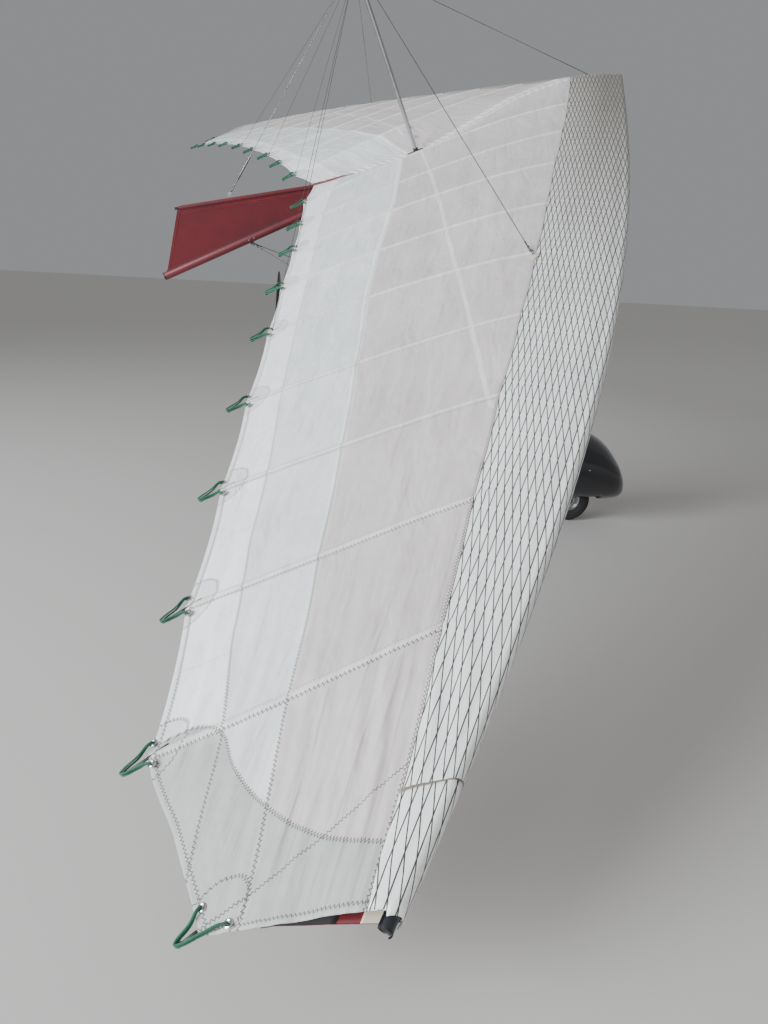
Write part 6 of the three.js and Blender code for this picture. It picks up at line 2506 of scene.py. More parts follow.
    def exhaust(self) -> None:
        """Makes the silencer with its bands, the pipes, their studs and the silencer's brackets."""
        y, z = self.muffler_y, self.muffler_z
        piece = Piece("silencer", Body.TRIKE, "exhaust_steel", HOT_STEEL, ["exhaust"])
        profile = [
            (0, 0), (0.038, 0), (0.044, 0.003), (0.0475, 0.010), (0.0475, 0.390), (0.044, 0.397),
            (0.038, 0.400), (0, 0.400),
        ]
        piece.turned(profile, (-0.840, y, z), (1, 0, 0), 64)
        for x in (-0.805, -0.640, -0.475):
            piece.turned(
                [(0.0470, -0.008), (0.0490, -0.007), (0.0490, 0.007), (0.0470, 0.008), (0.0470, -0.008)],
                (x, y, z),
                (1, 0, 0),
                64,
            )
        for x in self.cylinders:
            piece.tube([(x, 0.267, 0.913), (x, 0.266, 0.90), (x, 0.262, 0.868)], 0.0178, sides=12)
            bends = [
                (x, -0.267, 0.913), (x, -0.267, 0.828), (x, -0.217, 0.778), (x, 0.180, 0.778),
                (x, 0.220, 0.810),
            ]
            piece.tube(bends, 0.0158, sides=12)
            for side in (-1, 1):
                piece.bar((x, side * 0.267, 0.9045), (x, side * 0.267, 0.9145), 0.027, sides=32, edge=0.002)
        piece.tube(
            [(-0.790, y + 0.020, z), (-0.790, y + 0.052, z - 0.028), (-0.790, y + 0.078, z - 0.098)],
            0.0198,
            sides=16,
        )
        piece.finished(crease=50)
        studs = Piece("exhaust_studs", Body.TRIKE, "exhaust_steel", PLATED)
        for x in self.cylinders:
            for side in (-1, 1):
                for dx in (-0.021, 0.021):
                    studs.bolt((x + dx, side * 0.267, 0.9045), (0, 0, -1), 0.004)
        studs.finished()
        stays = Piece("silencer_brackets", *TUBES)
        for x in (-0.740, -0.520):
            stays.beam((x, 0.115, 0.748), (x, 0.205, 0.805), 0.020, 0.004, 0.001)
        stays.finished()

    def gearbox(self) -> None:
        """Makes the gearbox with its bolts, collar and shaft."""
        piece = Piece("gearbox_case", *CASTINGS, ["gearbox"])
        profile = [
            (0, 0.0003), (0.1030, 0.0003), (0.1040, 0.002), (0.1040, 0.012), (0.1030, 0.014), (0.093, 0.014),
            (0.0915, 0.020), (0.0890, 0.066), (0.0820, 0.078), (0.066, 0.0800), (0, 0.0800),
        ]
        piece.turned(profile, (-0.770, 0, self.crank + 0.010), (-1, 0, 0), 72)
        piece.turned(
            [(0, 0), (0.0500, 0), (0.0500, 0.028), (0.0470, 0.0347), (0, 0.0347)],
            (-0.850, 0, self.crank),
            (-1, 0, 0),
            56,
        )
        piece.bar((-0.880, 0, self.crank), (-0.9395, 0, self.crank), 0.0196, sides=40, edge=0.001)
        for i in range(8):
            turn = 2 * math.pi * i / 8
            way = Vector((0, math.cos(turn), math.sin(turn)))
            a = Vector((-0.784, 0, self.crank + 0.010)) + way * 0.086
            piece.beam(a, a + Vector((-0.050, 0, 0)) - way * 0.004, 0.008, 0.008, 0.002)
        piece.finished()
        bolts = Piece("gearbox_bolts", *ENGINE_BOLTS)
        for i in range(8):
            turn = 2 * math.pi * (i + 0.5) / 8
            spot = Vector((-0.784, math.cos(turn) * 0.097, self.crank + 0.010 + math.sin(turn) * 0.097))
            bolts.bolt(spot, (-1, 0, 0), 0.0048)
        bolts.finished()

    def build(self) -> None:
        """Builds the whole powerplant."""
        self.crankcase()
        self.cylinder_bank()
        self.intakes()
        self.cooling()
        self.exhaust()
        self.gearbox()


@dataclass
class Propeller:
    """Three-blade ground-adjustable pusher propeller."""

    centre: tuple[float, float, float] = (-0.955, 0, 1.000)
    chords: Table = (
        (0.020, 0.046), (0.060, 0.048), (0.110, 0.062), (0.180, 0.088), (0.250, 0.104), (0.350, 0.112),
        (0.450, 0.111), (0.560, 0.101), (0.660, 0.087), (0.730, 0.070), (0.765, 0.052), (0.779, 0.028),
    )
    depths: Table = (
        (0.020, 0.045), (0.060, 0.044), (0.110, 0.035), (0.180, 0.026), (0.250, 0.0195), (0.450, 0.0125),
        (0.660, 0.0085), (0.779, 0.0035),
    )
    angles: Table = ((0.020, 50), (0.110, 44), (0.250, 33), (0.450, 22), (0.660, 15), (0.780, 12))
    blades: int = 3
    hub_face: float = -0.8853

    def section(self, radius: float, points: int) -> list[Vector]:
        """One closed section of the blade at a radius, in the propeller's frame.

        Args:
            radius: distance from the shaft.
            points: number of points round the section.

        Returns:
            The ring of points.
        """
        chord, depth = between(self.chords, radius), between(self.depths, radius)
        twist = math.radians(between(self.angles, radius))
        root = max(0.0, min(1.0, (radius - 0.06) / 0.12))
        ring = []
        for i in range(points):
            turn = 2 * math.pi * i / points
            along = math.cos(turn) / 2 * chord
            thick = math.sin(turn) / 2 * depth
            foil = depth * 0.62 * math.sin(turn) * (1 + 0.55 * math.cos(turn)) * (
                1.0 if math.sin(turn) > 0 else 0.35
            )
            across = thick * (1 - root) + foil * root
            x = along * math.sin(twist) + across * math.cos(twist)
            ring.append(Vector((x, along * math.cos(twist) - across * math.sin(twist), radius)))
        return ring

    def blade_set(self) -> None:
        """Makes the blades with their edge tape."""
        piece = Piece("propeller_blades", Body.PROPELLER, "propeller", BLADE, ["propeller"])
        tape = Piece("blade_edge_tape", Body.PROPELLER, "propeller", EDGE_TAPE)
        stations = [0.020 + 0.759 * (i / 44) for i in range(45)]
        count = 36
        for blade in range(self.blades):
            turn = Matrix.Translation(self.centre) @ Matrix.Rotation(
                2 * math.pi * blade / self.blades, 4, "X"
            )
            rings = [piece.row(turn @ p for p in self.section(radius, count)) for radius in stations]
            piece.web(rings, loop=True)
            strips = []
            for radius in stations[22:42]:
                ring = self.section(radius, count)
                middle = sum(ring, Vector()) / count
                edge = ring[-3:] + ring[:4]
                strips.append(tape.row(turn @ (p + (p - middle).normalized() * 0.0005) for p in edge))
            tape.web(strips)
        piece.finished(crease=60)
        tape.finished(crease=60, closed=False)

    def hub(self) -> None:
        """Makes the clamp plates, blade roots, bolts and the spinner."""
        face = Vector((self.hub_face, 0, self.centre[2]))
        piece = Piece("propeller_hub", Body.PROPELLER, "propeller", MACHINED)
        piece.turned(
            [
                (0.0205, 0), (0.0545, 0), (0.0565, 0.002), (0.0570, 0.024), (0.0550, 0.027), (0.0205, 0.027),
                (0.0205, 0),
            ],
            face,
            (-1, 0, 0),
            64,
        )
        piece.turned(
            [
                (0.0, 0.088), (0.0550, 0.088), (0.0570, 0.090), (0.0570, 0.112), (0.0550, 0.1145),
                (0.0, 0.1145), (0.0, 0.088),
            ],
            face,
            (-1, 0, 0),
            64,
        )
        for blade in range(self.blades):
            turn = 2 * math.pi * blade / self.blades
            way = Vector((0, -math.sin(turn), math.cos(turn)))
            base = Vector(self.centre) + Vector((0.012, 0, 0))
            piece.bar(base + way * 0.018, base + way * 0.070, 0.0290, sides=48, edge=0.003)
        piece.finished()
        spinner = Piece("spinner", Body.PROPELLER, "propeller", GELCOAT)
        turns = [i * math.pi / 2 / 14 for i in range(15)]
        profile = [(0, 0.1150)] + [(0.0545 * math.cos(t), 0.1150 + 0.069 * math.sin(t)) for t in turns]
        profile[-1] = (0, profile[-1][1])
        spinner.turned(profile, face, (-1, 0, 0), 64)
        spinner.finished(crease=50)
        bolts = Piece("hub_bolts", Body.PROPELLER, "propeller", PLATED)
        for i in range(6):
            turn = math.pi * (i + 0.5) / 3
            spot = face + Vector((-0.0005, math.cos(turn) * 0.046, math.sin(turn) * 0.046))
            bolts.bar(spot, spot + Vector((-0.112, 0, 0)), 0.004, sides=16)
            bolts.bar(spot + Vector((0.0045, 0, 0)), spot, 0.0062, sides=6, edge=0.0008)
        bolts.finished()

    def build(self) -> None:
        """Builds the propeller."""
        self.blade_set()
        self.hub()


@dataclass
class Pod:
    """Glass-fibre pod round the feet, with its screen and instrument panel."""

    half: Table = (
        (0.430, 0.280), (0.700, 0.285), (1.000, 0.280), (1.200, 0.270), (1.400, 0.245), (1.560, 0.205),
        (1.680, 0.150), (1.742, 0.088), (1.765, 0.034),
    )
    low: Table = (
        (0.430, 0.260), (0.700, 0.235), (1.000, 0.215), (1.200, 0.200), (1.400, 0.190), (1.560, 0.190),
        (1.680, 0.200), (1.742, 0.222), (1.765, 0.258),
    )
    high: Table = (
        (0.430, 0.600), (0.700, 0.700), (1.000, 0.760), (1.200, 0.775), (1.400, 0.730), (1.560, 0.640),
        (1.680, 0.500), (1.742, 0.385), (1.765, 0.306),
    )
    back: float = 0.430
    nose: float = 1.765
    deck: float = 1.110
    rim: Table = ((0.300, 0.450), (1.110, 0.690))
    arch: tuple[float, float, float] = (1.122, 1.562, 0.150)
    arch_top: float = 0.42
    wall: float = 0.006
    screen: tuple[float, float, float] = (0.330, 0.245, 0.380)
    screen_centre: tuple[float, float, float] = (0.930, 0.0, 0.745)
    screen_back: float = 0.955
    screen_top: float = 1.075

    def around(self, x: float, turn: float) -> Vector:
        """A point of the pod's outside at x, turn radians up from the left flank.

        Args:
            x: its place along the machine.
            turn: the angle in its section.

        Returns:
            The point.
        """
        half, low, high = between(self.half, x), between(self.low, x), between(self.high, x)
        c, s = math.cos(turn), math.sin(turn)
        y = half * math.copysign(abs(c) ** 0.8, c)
        z = (low + high) / 2 + (high - low) / 2 * math.copysign(abs(s) ** 0.8, s)
        return Vector((x, y, z))

    def rim_turn(self, x: float) -> float:
        """The turn at which the cockpit's rim crosses the section at x.

        Args:
            x: the section's place along the machine.

        Returns:
            The angle, as in around.
        """
        low, high = between(self.low, x), between(self.high, x)
        share = (straight(self.rim, x) - (low + high) / 2) / ((high - low) / 2)
        share = max(-0.98, min(0.98, share))
        return math.asin(math.copysign(abs(share) ** 1.25, share))

    def top_at(self, x: float, y: float) -> float:
        """Height of the pod's uncut top at a place.

        Args:
            x: the place along the machine.
            y: the place across it.

        Returns:
            The height.
        """
        half, low, high = between(self.half, x), between(self.low, x), between(self.high, x)
        c = min(1.0, abs(y) / half) ** 1.25
        s = math.sqrt(max(0.0, 1 - c * c))
        return (low + high) / 2 + (high - low) / 2 * s**0.8

    def shell(self) -> None:
        """Makes the shell with its open cockpit and wheel arch, its edge trim, screws and stays."""
        piece = Piece("pod_shell", Body.TRIKE, "pod_gloss", GELCOAT, ["pod"])
        under, over = 56, 26
        fixed = self.rim_turn(self.deck)
        xs = [self.back + (self.deck - self.back) * i / 26 for i in range(27)]
        nose = [self.deck + (self.nose - self.deck) * math.sin(math.pi / 2 * i / 34) for i in range(1, 35)]
        rings = []
        for x in xs + nose:
            start = self.rim_turn(x) if x <= self.deck else fixed
            ring = [start - (math.pi + 2 * start) * i / under for i in range(under + 1)]
            if x >= self.deck:
                end = ring[-1]
                ring += [end - (math.pi - 2 * start) * i / over for i in range(1, over)]
            rings.append(piece.row(self.around(x, turn) for turn in ring))
        for near, far in zip(rings, rings[1:]):
            shared = min(len(near), len(far))
            for i in range(shared - 1):
                piece.bm.faces.new((near[i], near[i + 1], far[i + 1], far[i]))
            if len(near) == len(far) > under + 1:
                piece.bm.faces.new((near[-1], near[0], far[0], far[-1]))
        piece.bm.faces.new(rings[-1])
        x0, x1, y = self.arch
        ahead, out = (1, 0, 0), (0, 1, 0)
        for spot, way in (((x0, 0, 0), ahead), ((x1, 0, 0), ahead), ((0, y, 0), out), ((0, -y, 0), out)):
            faces = [f for f in piece.bm.faces if f.calc_center_median().z < self.arch_top]
            geom = faces + [e for f in faces for e in f.edges] + [v for f in faces for v in f.verts]
            bmesh.ops.bisect_plane(piece.bm, geom=list(dict.fromkeys(geom)), plane_co=spot, plane_no=way)
        gone = []
        for face in piece.bm.faces:
            c = face.calc_center_median()
            if x0 < c.x < x1 and abs(c.y) < y and c.z < self.arch_top:
                gone.append(face)
        bmesh.ops.delete(piece.bm, geom=gone, context="FACES")
        bmesh.ops.recalc_face_normals(piece.bm, faces=piece.bm.faces[:])
        piece.finished(crease=60, wall=self.wall, closed=True)
        edge = Piece("pod_edge_trim", *RUBBERS)
        line = [self.around(x, self.rim_turn(x)) for x in xs]
        arc = [self.around(self.deck, fixed + (math.pi - 2 * fixed) * i / 24) for i in range(25)]
        other = [Vector((p.x, -p.y, p.z)) for p in reversed(line)]
        edge.tube([p - vz(0.002) for p in line + arc[1:-1] + other], 0.0062, sides=8, sharp=True)
        start = self.rim_turn(self.back)
        foot = [self.around(self.back, start - (math.pi + 2 * start) * i / 30) for i in range(31)]
        edge.tube(foot, 0.0058, sides=8, sharp=True)
        edge.finished(crease=60)
        screws = Piece("pod_screws", *FITTINGS)
        for x, turn in ((0.52, -0.15), (0.80, -0.15), (1.05, -0.12), (1.22, 0.0), (1.42, 0.0)):
            p = self.around(x, turn)
            for side in (-1, 1):
                spot = Vector((p.x, side * p.y, p.z))
                screws.bar(
                    spot - vy(side * 0.002), spot + vy(side * 0.0018), 0.0075, 0.0065, sides=24, edge=0.0008
                )
        screws.finished()
        post = Piece("pod_post", *TUBES)
        post.box((1.071, -0.058, 0.218), (1.081, 0.058, 0.412), 0.002)
        post.box((0.560, -0.150, 0.246), (0.590, 0.150, 0.256), 0.002)
        post.finished()

    def windscreen(self) -> None:
        """Makes the curved clear screen with its edge strip and screws."""
        cx, _, cz = self.screen_centre
        rx, ry, rz = self.screen
        piece = Piece("screen_sheet", Body.TRIKE, "screen", CLEAR, ["windscreen"])
        columns, rows = 48, 20

        def spot(share: float, rise: float) -> Vector:
            """A point of the screen.

            Args:
                share: place across it, from -1 to 1.
                rise: place from its foot to its top, from 0 to 1.

            Returns:
                The point.
            """
            low = 0.70
            point = Vector()
            for _ in range(8):
                z = low + (self.screen_top - low) * rise
                scale = math.sqrt(max(0.02, 1 - ((z - cz) / rz) ** 2))
                limit = math.acos(min(0.99, (self.screen_back - cx) / (rx * scale)))
                turn = limit * share
                point = Vector((cx + rx * scale * math.cos(turn), ry * scale * math.sin(turn), z))
                base = math.sqrt(max(0.02, 1 - ((low - cz) / rz) ** 2))
                rest = math.acos(min(0.99, (self.screen_back - cx) / (rx * base))) * share
                low = self.top_at(cx + rx * base * math.cos(rest), ry * base * math.sin(rest)) + 0.001
            return point

        shares = [-1 + 2 * i / columns for i in range(columns + 1)]
        grid = [piece.row(spot(share, j / rows) for share in shares) for j in range(rows + 1)]
        piece.web(grid)
        foot = [v.co.copy() for v in grid[0]]
        rim = [v.co.copy() for v in [row[0] for row in grid] + grid[-1] + [row[-1] for row in reversed(grid)]]
        piece.finished(crease=80, wall=0.003)
        strip = Piece("screen_edge", *RUBBERS)
        strip.tube(foot, 0.0055, sides=8, sharp=True)
        strip.tube(rim, 0.0035, sides=8, sharp=True)
        strip.finished(crease=60)
        screws = Piece("screen_screws", *FITTINGS)
        for i in range(6, 43, 6):
            p = foot[i] + vz(0.016)
            out = Vector((p.x - cx, p.y, 0)).normalized()
            screws.bar(p - out * 0.002, p + out * 0.0035, 0.0062, 0.0052, sides=20, edge=0.0008)
        screws.finished()

    def panel(self) -> None:
        """Makes the instrument panel with dials, switches and its cover."""
        piece = Piece("panel_board", Body.TRIKE, "panel_plastic", PANEL, ["instrument_panel"])
        piece.box((1.0605, -0.149, 0.561), (1.0945, 0.149, 0.724), 0.010)
        piece.finished()
        faces = Piece("dial_faces", Body.TRIKE, "panel_plastic", DIAL_BLACK)
        marks = Piece("dial_marks", Body.TRIKE, "panel_plastic", DIAL_WHITE)
        rings = Piece("dial_bezels", Body.TRIKE, "panel_plastic", MACHINED)
        dials = [(-0.095, 0.672, 0.036, 2.3), (-0.010, 0.676, 0.036, 0.6), (0.075, 0.676, 0.036, 3.6)]
        dials += [(-0.112, 0.602, 0.022, 4.0), (-0.058, 0.600, 0.022, 1.4), (0.120, 0.606, 0.020, 5.0)]
        for y, z, size, needle in dials:
            centre = Vector((1.0605, y, z))
            rings.turned(
                [
                    (size * 0.90, 0), (size * 1.08, 0), (size * 1.10, 0.0015), (size * 1.04, 0.0042),
                    (size * 0.93, 0.0045), (size * 0.90, 0.0015), (size * 0.90, 0),
                ],
                centre,
                (-1, 0, 0),
                48,
            )
            faces.bar(centre + Vector((0.002, 0, 0)), centre - Vector((0.0012, 0, 0)), size * 0.92, sides=48)
            for i in range(12):
                turn = math.radians(30 * i + 15)
                way = Vector((0, math.cos(turn), math.sin(turn)))
                a, b = centre + way * size * 0.68, centre + way * size * 0.84
                marks.beam(a - Vector((0.0014, 0, 0)), b - Vector((0.0014, 0, 0)), size * 0.045, 0.0005, 0)
            way = Vector((0, math.cos(needle), math.sin(needle)))
            a = centre - Vector((0.0022, 0, 0))
            marks.bar(a - way * size * 0.12, a + way * size * 0.66, size * 0.035, size * 0.012, sides=12)
            marks.bar(a + Vector((0.001, 0, 0)), a - Vector((0.001, 0, 0)), size * 0.09, sides=24)
        for i in range(4):
            y = 0.000 + i * 0.026
            rings.bar((1.061, y, 0.598), (1.0565, y, 0.598), 0.0065, sides=6, edge=0.0006)
            rings.bar(
                (1.057, y, 0.598),
                (1.0455, y, 0.594 if i % 2 else 0.603),
                0.0022,
                0.0030,
                sides=16,
                edge=0.0008,
            )
        faces.box((1.0592, -0.002, 0.618), (1.0608, 0.085, 0.632), 0.0006)
        for part in (faces, marks, rings):
            part.finished()
        hood = Piece("panel_hood", *MOULDINGS)
        hood.box((1.040, -0.154, 0.7245), (1.100, 0.154, 0.7305), 0.003)
        hood.finished()

    def build(self) -> None:
        """Builds the pod."""
        self.shell()
        self.windscreen()
        self.panel()


@dataclass(frozen=True)
class PadSize:
    """One cushion, as a slab from its foot to its head along its own length.

    Attributes:
        name: the piece's name.
        near: middle of its near edge, x and z.
        far: middle of its far edge, x and z.
        width: width at the near edge.
        end_width: width at the far edge.
        depth: thickness.
        node: solid that it stands for, if any.
        rows: places of the sewn channels along it.
    """

    name: str
    near: tuple[float, float]
    far: tuple[float, float]
    width: float
    end_width: float
    depth: float
    node: str = ""
    rows: tuple[float, ...] = (0.34, 0.67)


@dataclass
class Cushion:
    """A padded seat cushion, blown up by a short cloth simulation.

    Attributes:
        size: its measures and name.
        room: how much smaller each side of the slab starts.
        voxel: size of the even mesh's faces.
        pressure: pressure of the simulation.
        frames: its length.
        cap: the furthest that a point may move.
    """

    size: PadSize
    room: float = 0.014
    voxel: float = 0.006
    pressure: float = 4.0
    frames: int = 20
    cap: float = 0.007

    def frame(self) -> Matrix:
        """The cushion's own frame.

        Returns:
            The frame: x across, y out of its face, z along it.
        """
        s = self.size
        a, b = Vector((s.near[0], 0, s.near[1])), Vector((s.far[0], 0, s.far[1]))
        way = (b - a).normalized()
        face = way.cross(vy(1))
        if face.z < 0 and abs(way.x) > abs(way.z):
            face = -face
        if face.x < 0 and abs(way.z) > abs(way.x):
            face = -face
        across = face.cross(way)
        frame = Matrix((across, face, way)).transposed().to_4x4()
        frame.translation = (a + b) / 2
        return frame

    def blank(self) -> Piece:
        """Makes the unpressed slab, a little smaller than the finished pad.

        Returns:
            The slab.
        """
        s = self.size
        length = math.hypot(s.far[0] - s.near[0], s.far[1] - s.near[1])
        piece = Piece(s.name, Body.TRIKE, "seat_cloth", SEAT_CLOTH, [s.node] if s.node else [])
        frame = self.frame()
        made = bmesh.ops.create_cube(piece.bm, size=1)
        for vert in made["verts"]:
            wide = s.width if vert.co.z < 0 else s.end_width
            sizes = (wide, s.depth, length)
            corner = [share * (size - self.room) for share, size in zip(vert.co, sizes)]
            vert.co = frame @ Vector(corner)
        piece.soften(made["verts"], s.depth * 0.30, 4, False)
        return piece

    @staticmethod
    def shaped(pad: bpy.types.Object) -> bpy.types.Mesh:
        """A copy of the pad's mesh as its modifiers leave it."""
        return bpy.data.meshes.new_from_object(pad.evaluated_get(bpy.context.evaluated_depsgraph_get()))

    def press(self, pad: bpy.types.Object) -> None:
        """Blows the pad up by a cloth simulation and keeps its result in the mesh.

        Args:
            pad: the slab's object.
        """
        scene = bpy.context.scene
        mesher = pad.modifiers.new("even", "REMESH")
        mesher.mode = "VOXEL"
        mesher.voxel_size = self.voxel
        bpy.context.view_layer.update()
        even = self.shaped(pad)
        pad.modifiers.clear()
        finish = pad.data.materials[0]
        pad.data = even
        even.materials.clear()
        even.materials.append(finish)
        start = [v.co.copy() for v in even.vertices]
        cloth = pad.modifiers.new("press", "CLOTH")
        cloth.settings.use_pressure = True
        cloth.settings.uniform_pressure_force = self.pressure
        cloth.settings.mass = 0.3
        cloth.settings.effector_weights.gravity = 0.0
        cloth.point_cache.frame_start = 1
        cloth.point_cache.frame_end = self.frames
        for step in range(1, self.frames + 1):
            scene.frame_set(step)
        blown = self.shaped(pad)
        for vert, before, after in zip(even.vertices, start, blown.vertices):
            move = after.co - before
            if move.length > self.cap:
                move = move * (self.cap / move.length)
            vert.co = before + move
        pad.modifiers.clear()
        bpy.data.meshes.remove(blown)
        scene.frame_set(1)

    def sew(self, pad: bpy.types.Object) -> None:
        """Pulls in the sewn channels across the pad and smooths its cloth.

        Args:
            pad: the pressed pad.
        """
        s = self.size
        length = math.hypot(s.far[0] - s.near[0], s.far[1] - s.near[1])
        frame = TRIKE_FRAME @ self.frame()
        back = frame.inverted()
        for vert in pad.data.vertices:
            p = back @ vert.co
            share = p.z / length + 0.5
            depth = 0.0
            for row in s.rows:
                depth += 0.0060 * math.exp(-(((share - row) * length / 0.008) ** 2))
            for side in (-0.32, 0.32):
                depth += 0.0045 * math.exp(-(((p.x / s.width - side) * s.width / 0.007) ** 2))
            if p.y > 0:
                p.y -= depth * min(1.0, p.y / (s.depth * 0.3))
                vert.co = frame @ p
        pad.data.polygons.foreach_set("use_smooth", [True] * len(pad.data.polygons))
        rounder = pad.modifiers.new("round", "SUBSURF")
        rounder.levels = rounder.render_levels = 1

    def build(self) -> bpy.types.Object:
        """Builds the cushion.

        Returns:
            Its object.
        """
        pad = self.blank().finished(crease=60)
        self.press(pad)
        self.sew(pad)
        return pad


@dataclass
class Cabin:
    """Seats with their belts, the tank, the small controls beside them and the wheel spats."""

    spat_size: tuple[float, float, float] = (0.345, 0.112, 0.218)
    skirt: float = 0.170

    def seats(self) -> None:
        """Makes the four cushions and their backing shells."""
        pads = [
            PadSize(
                "front_squab",
                (0.148, 0.497),
                (0.487, 0.499),
                0.372,
                0.350,
                0.060,
                "front_seat",
                (0.3, 0.6, 0.85),
            ),
            PadSize("front_back_pad", (0.122, 0.520), (0.092, 0.806), 0.360, 0.300, 0.050, "", (0.35, 0.68)),
            PadSize(
                "rear_squab", (-0.245, 0.604), (0.035, 0.610), 0.390, 0.370, 0.060, "rear_seat", (0.35, 0.7)
            ),
            PadSize(
                "rear_back_pad", (-0.268, 0.640), (-0.196, 1.010), 0.375, 0.310, 0.050, "", (0.3, 0.55, 0.8)
            ),
        ]
        for size in pads:
            Cushion(size).build()
        shell = Piece("seat_backs", Body.TRIKE, "seat_cloth", FIBREGLASS)
        shell.beam((0.094, 0, 0.500), (0.062, 0, 0.800), 0.300, 0.004, 0.0015)
        shell.beam((-0.301, 0, 0.625), (-0.228, 0, 0.990), 0.310, 0.004, 0.0015)
        shell.finished()

    def strap(self, piece: Piece, points: Sequence[Point], width: float, out: Point) -> None:
        """Adds a flat strap, its width across the run.

        Args:
            piece: where it goes.
            points: its middle line.
            width: its width.
            out: direction in which its face looks.
        """
        rows = []
        for i, place in enumerate(points):
            here = Vector(place)
            ahead = Vector(points[min(i + 1, len(points) - 1)]) - Vector(points[max(i - 1, 0)])
            side = ahead.cross(Vector(out)).normalized() * width / 2
            lift = Vector(out).normalized() * 0.0011
            low, high = here - lift, here + lift
            rows.append(piece.row((low - side, low + side, high + side, high - side)))
        piece.web(rows, loop=True)

    def belts(self) -> None:
        """Makes lap straps and shoulder straps, with their buckles."""
        straps = Piece("seat_belts", Body.TRIKE, "seat_cloth", WEBBING)
        buckles = Piece("belt_buckles", *FITTINGS)
        seats = ((0.165, 0.534, 0.170, 0.455), (-0.215, 0.647, -0.205, 0.562))
        for x, z, rail_x, rail_z in seats:
            for side in (-1, 1):
                run = [
                    (rail_x - 0.01, side * 0.1975, rail_z + 0.006), (x + 0.005, side * 0.201, z - 0.03),
                    (x + 0.015, side * 0.190, z + 0.008),
                ]
                run += [
                    (x + 0.045, side * 0.140, z + 0.014), (x + 0.075, side * 0.075, z + 0.013),
                    (x + 0.090, side * 0.030, z + 0.012),
                ]
                self.strap(straps, run[:3], 0.040, (0, side, 0.25))
                self.strap(straps, run[2:], 0.040, (0, 0, 1))
            buckles.box((x + 0.060, -0.030, z + 0.010), (x + 0.112, 0.030, z + 0.026), 0.004)
            buckles.box((x + 0.072, -0.012, z + 0.024), (x + 0.100, 0.012, z + 0.029), 0.002)
        for side in (-1, 1):
            shoulder = [
                (-0.245, side * 0.070, 0.985), (-0.190, side * 0.072, 1.024), (-0.160, side * 0.072, 1.000),
                (-0.164, side * 0.072, 0.90), (-0.178, side * 0.070, 0.80),
            ]
            self.strap(straps, shoulder, 0.036, (1, 0, 0.3))
            buckles.box((-0.172, side * 0.070 - 0.024, 0.785), (-0.164, side * 0.070 + 0.024, 0.815), 0.002)
        straps.finished(crease=30)
        buckles.finished()

    def tank(self) -> None:
        """Makes the fuel tank with ribs, cap, its hose and its straps."""
        piece = Piece("tank_shell", Body.TRIKE, "tank_plastic", TANK, ["fuel_tank"])
        for side in (-1, 1):
            low, high = sorted((side * 0.0265, side * 0.1645))
            piece.box((-0.314, low, 0.3715), (0.029, high, 0.5445), 0.018)
        piece.box((-0.300, -0.040, 0.452), (0.015, 0.040, 0.5440), 0.012)
        for i in range(4):
            x = -0.265 + i * 0.080
            for side in (-1, 1):
                piece.box(
                    (x - 0.010, side * 0.1648 - 0.0022, 0.400), (x + 0.010, side * 0.1648 + 0.0022, 0.520),
                    0.002,
                )
        piece.finished()
        cap = Piece("tank_cap", *MOULDINGS)
        centre = Vector((-0.312, 0.118, 0.500))
        cap.bar(centre, centre + Vector((-0.030, 0, 0.014)), 0.030, sides=40, edge=0.003)
        for i in range(12):
            turn = 2 * math.pi * i / 12
            frame = Piece.lie(centre, (-0.030, 0, 0.014))
            a = frame @ Vector((math.cos(turn) * 0.0298, math.sin(turn) * 0.0298, 0.006))
            b = frame @ Vector((math.cos(turn) * 0.0298, math.sin(turn) * 0.0298, 0.030))
            cap.bar(a, b, 0.003, sides=10, edge=0.001)
        cap.finished()
        hose = Piece("fuel_hose", *RUBBERS)
        hose.tube(
            [
                (-0.314, -0.120, 0.400), (-0.345, -0.122, 0.405), (-0.370, -0.110, 0.470),
                (-0.375, -0.080, 0.60), (-0.380, -0.050, 0.75), (-0.415, -0.022, 0.95),
                (-0.445, -0.010, 1.095),
            ],
            0.0042,
            sides=8,
        )
        hose.finished()
        strap = Piece("tank_straps", Body.TRIKE, "seat_cloth", WEBBING)
        for x in (-0.245, -0.040):
            loop = [
                (x, 0.1678, 0.375), (x, 0.1678, 0.541), (x, 0.160, 0.5478), (x, -0.160, 0.5478),
                (x, -0.1678, 0.541), (x, -0.1678, 0.375),
            ]
            for a, b, out in zip(loop, loop[1:], ((0, 1, 0), (0, 1, 1), (0, 0, 1), (0, -1, 1), (0, -1, 0))):
                self.strap(strap, [a, b], 0.025, out)
        strap.finished(crease=30)

    def controls(self) -> None:
        """Makes the hand throttle, the choke lever and the switch box by the front seat."""
        box = Piece("side_controls", *MOULDINGS)
        box.box((0.250, -0.232, 0.455), (0.330, -0.198, 0.500), 0.006)
        box.bar((0.300, -0.215, 0.560), (0.306, -0.215, 0.592), 0.0125, sides=28, edge=0.004)
        box.bar((0.265, -0.222, 0.520), (0.262, -0.222, 0.540), 0.0095, sides=28, edge=0.003)
        box.finished()
        arms = Piece("control_levers", *FITTINGS)
        arms.beam((0.290, -0.215, 0.496), (0.301, -0.215, 0.565), 0.008, 0.004, 0.001)
        arms.beam((0.270, -0.222, 0.496), (0.264, -0.222, 0.525), 0.006, 0.004, 0.001)
        arms.bolt((0.290, -0.232, 0.482), (0, -1, 0), 0.005)
        arms.finished()

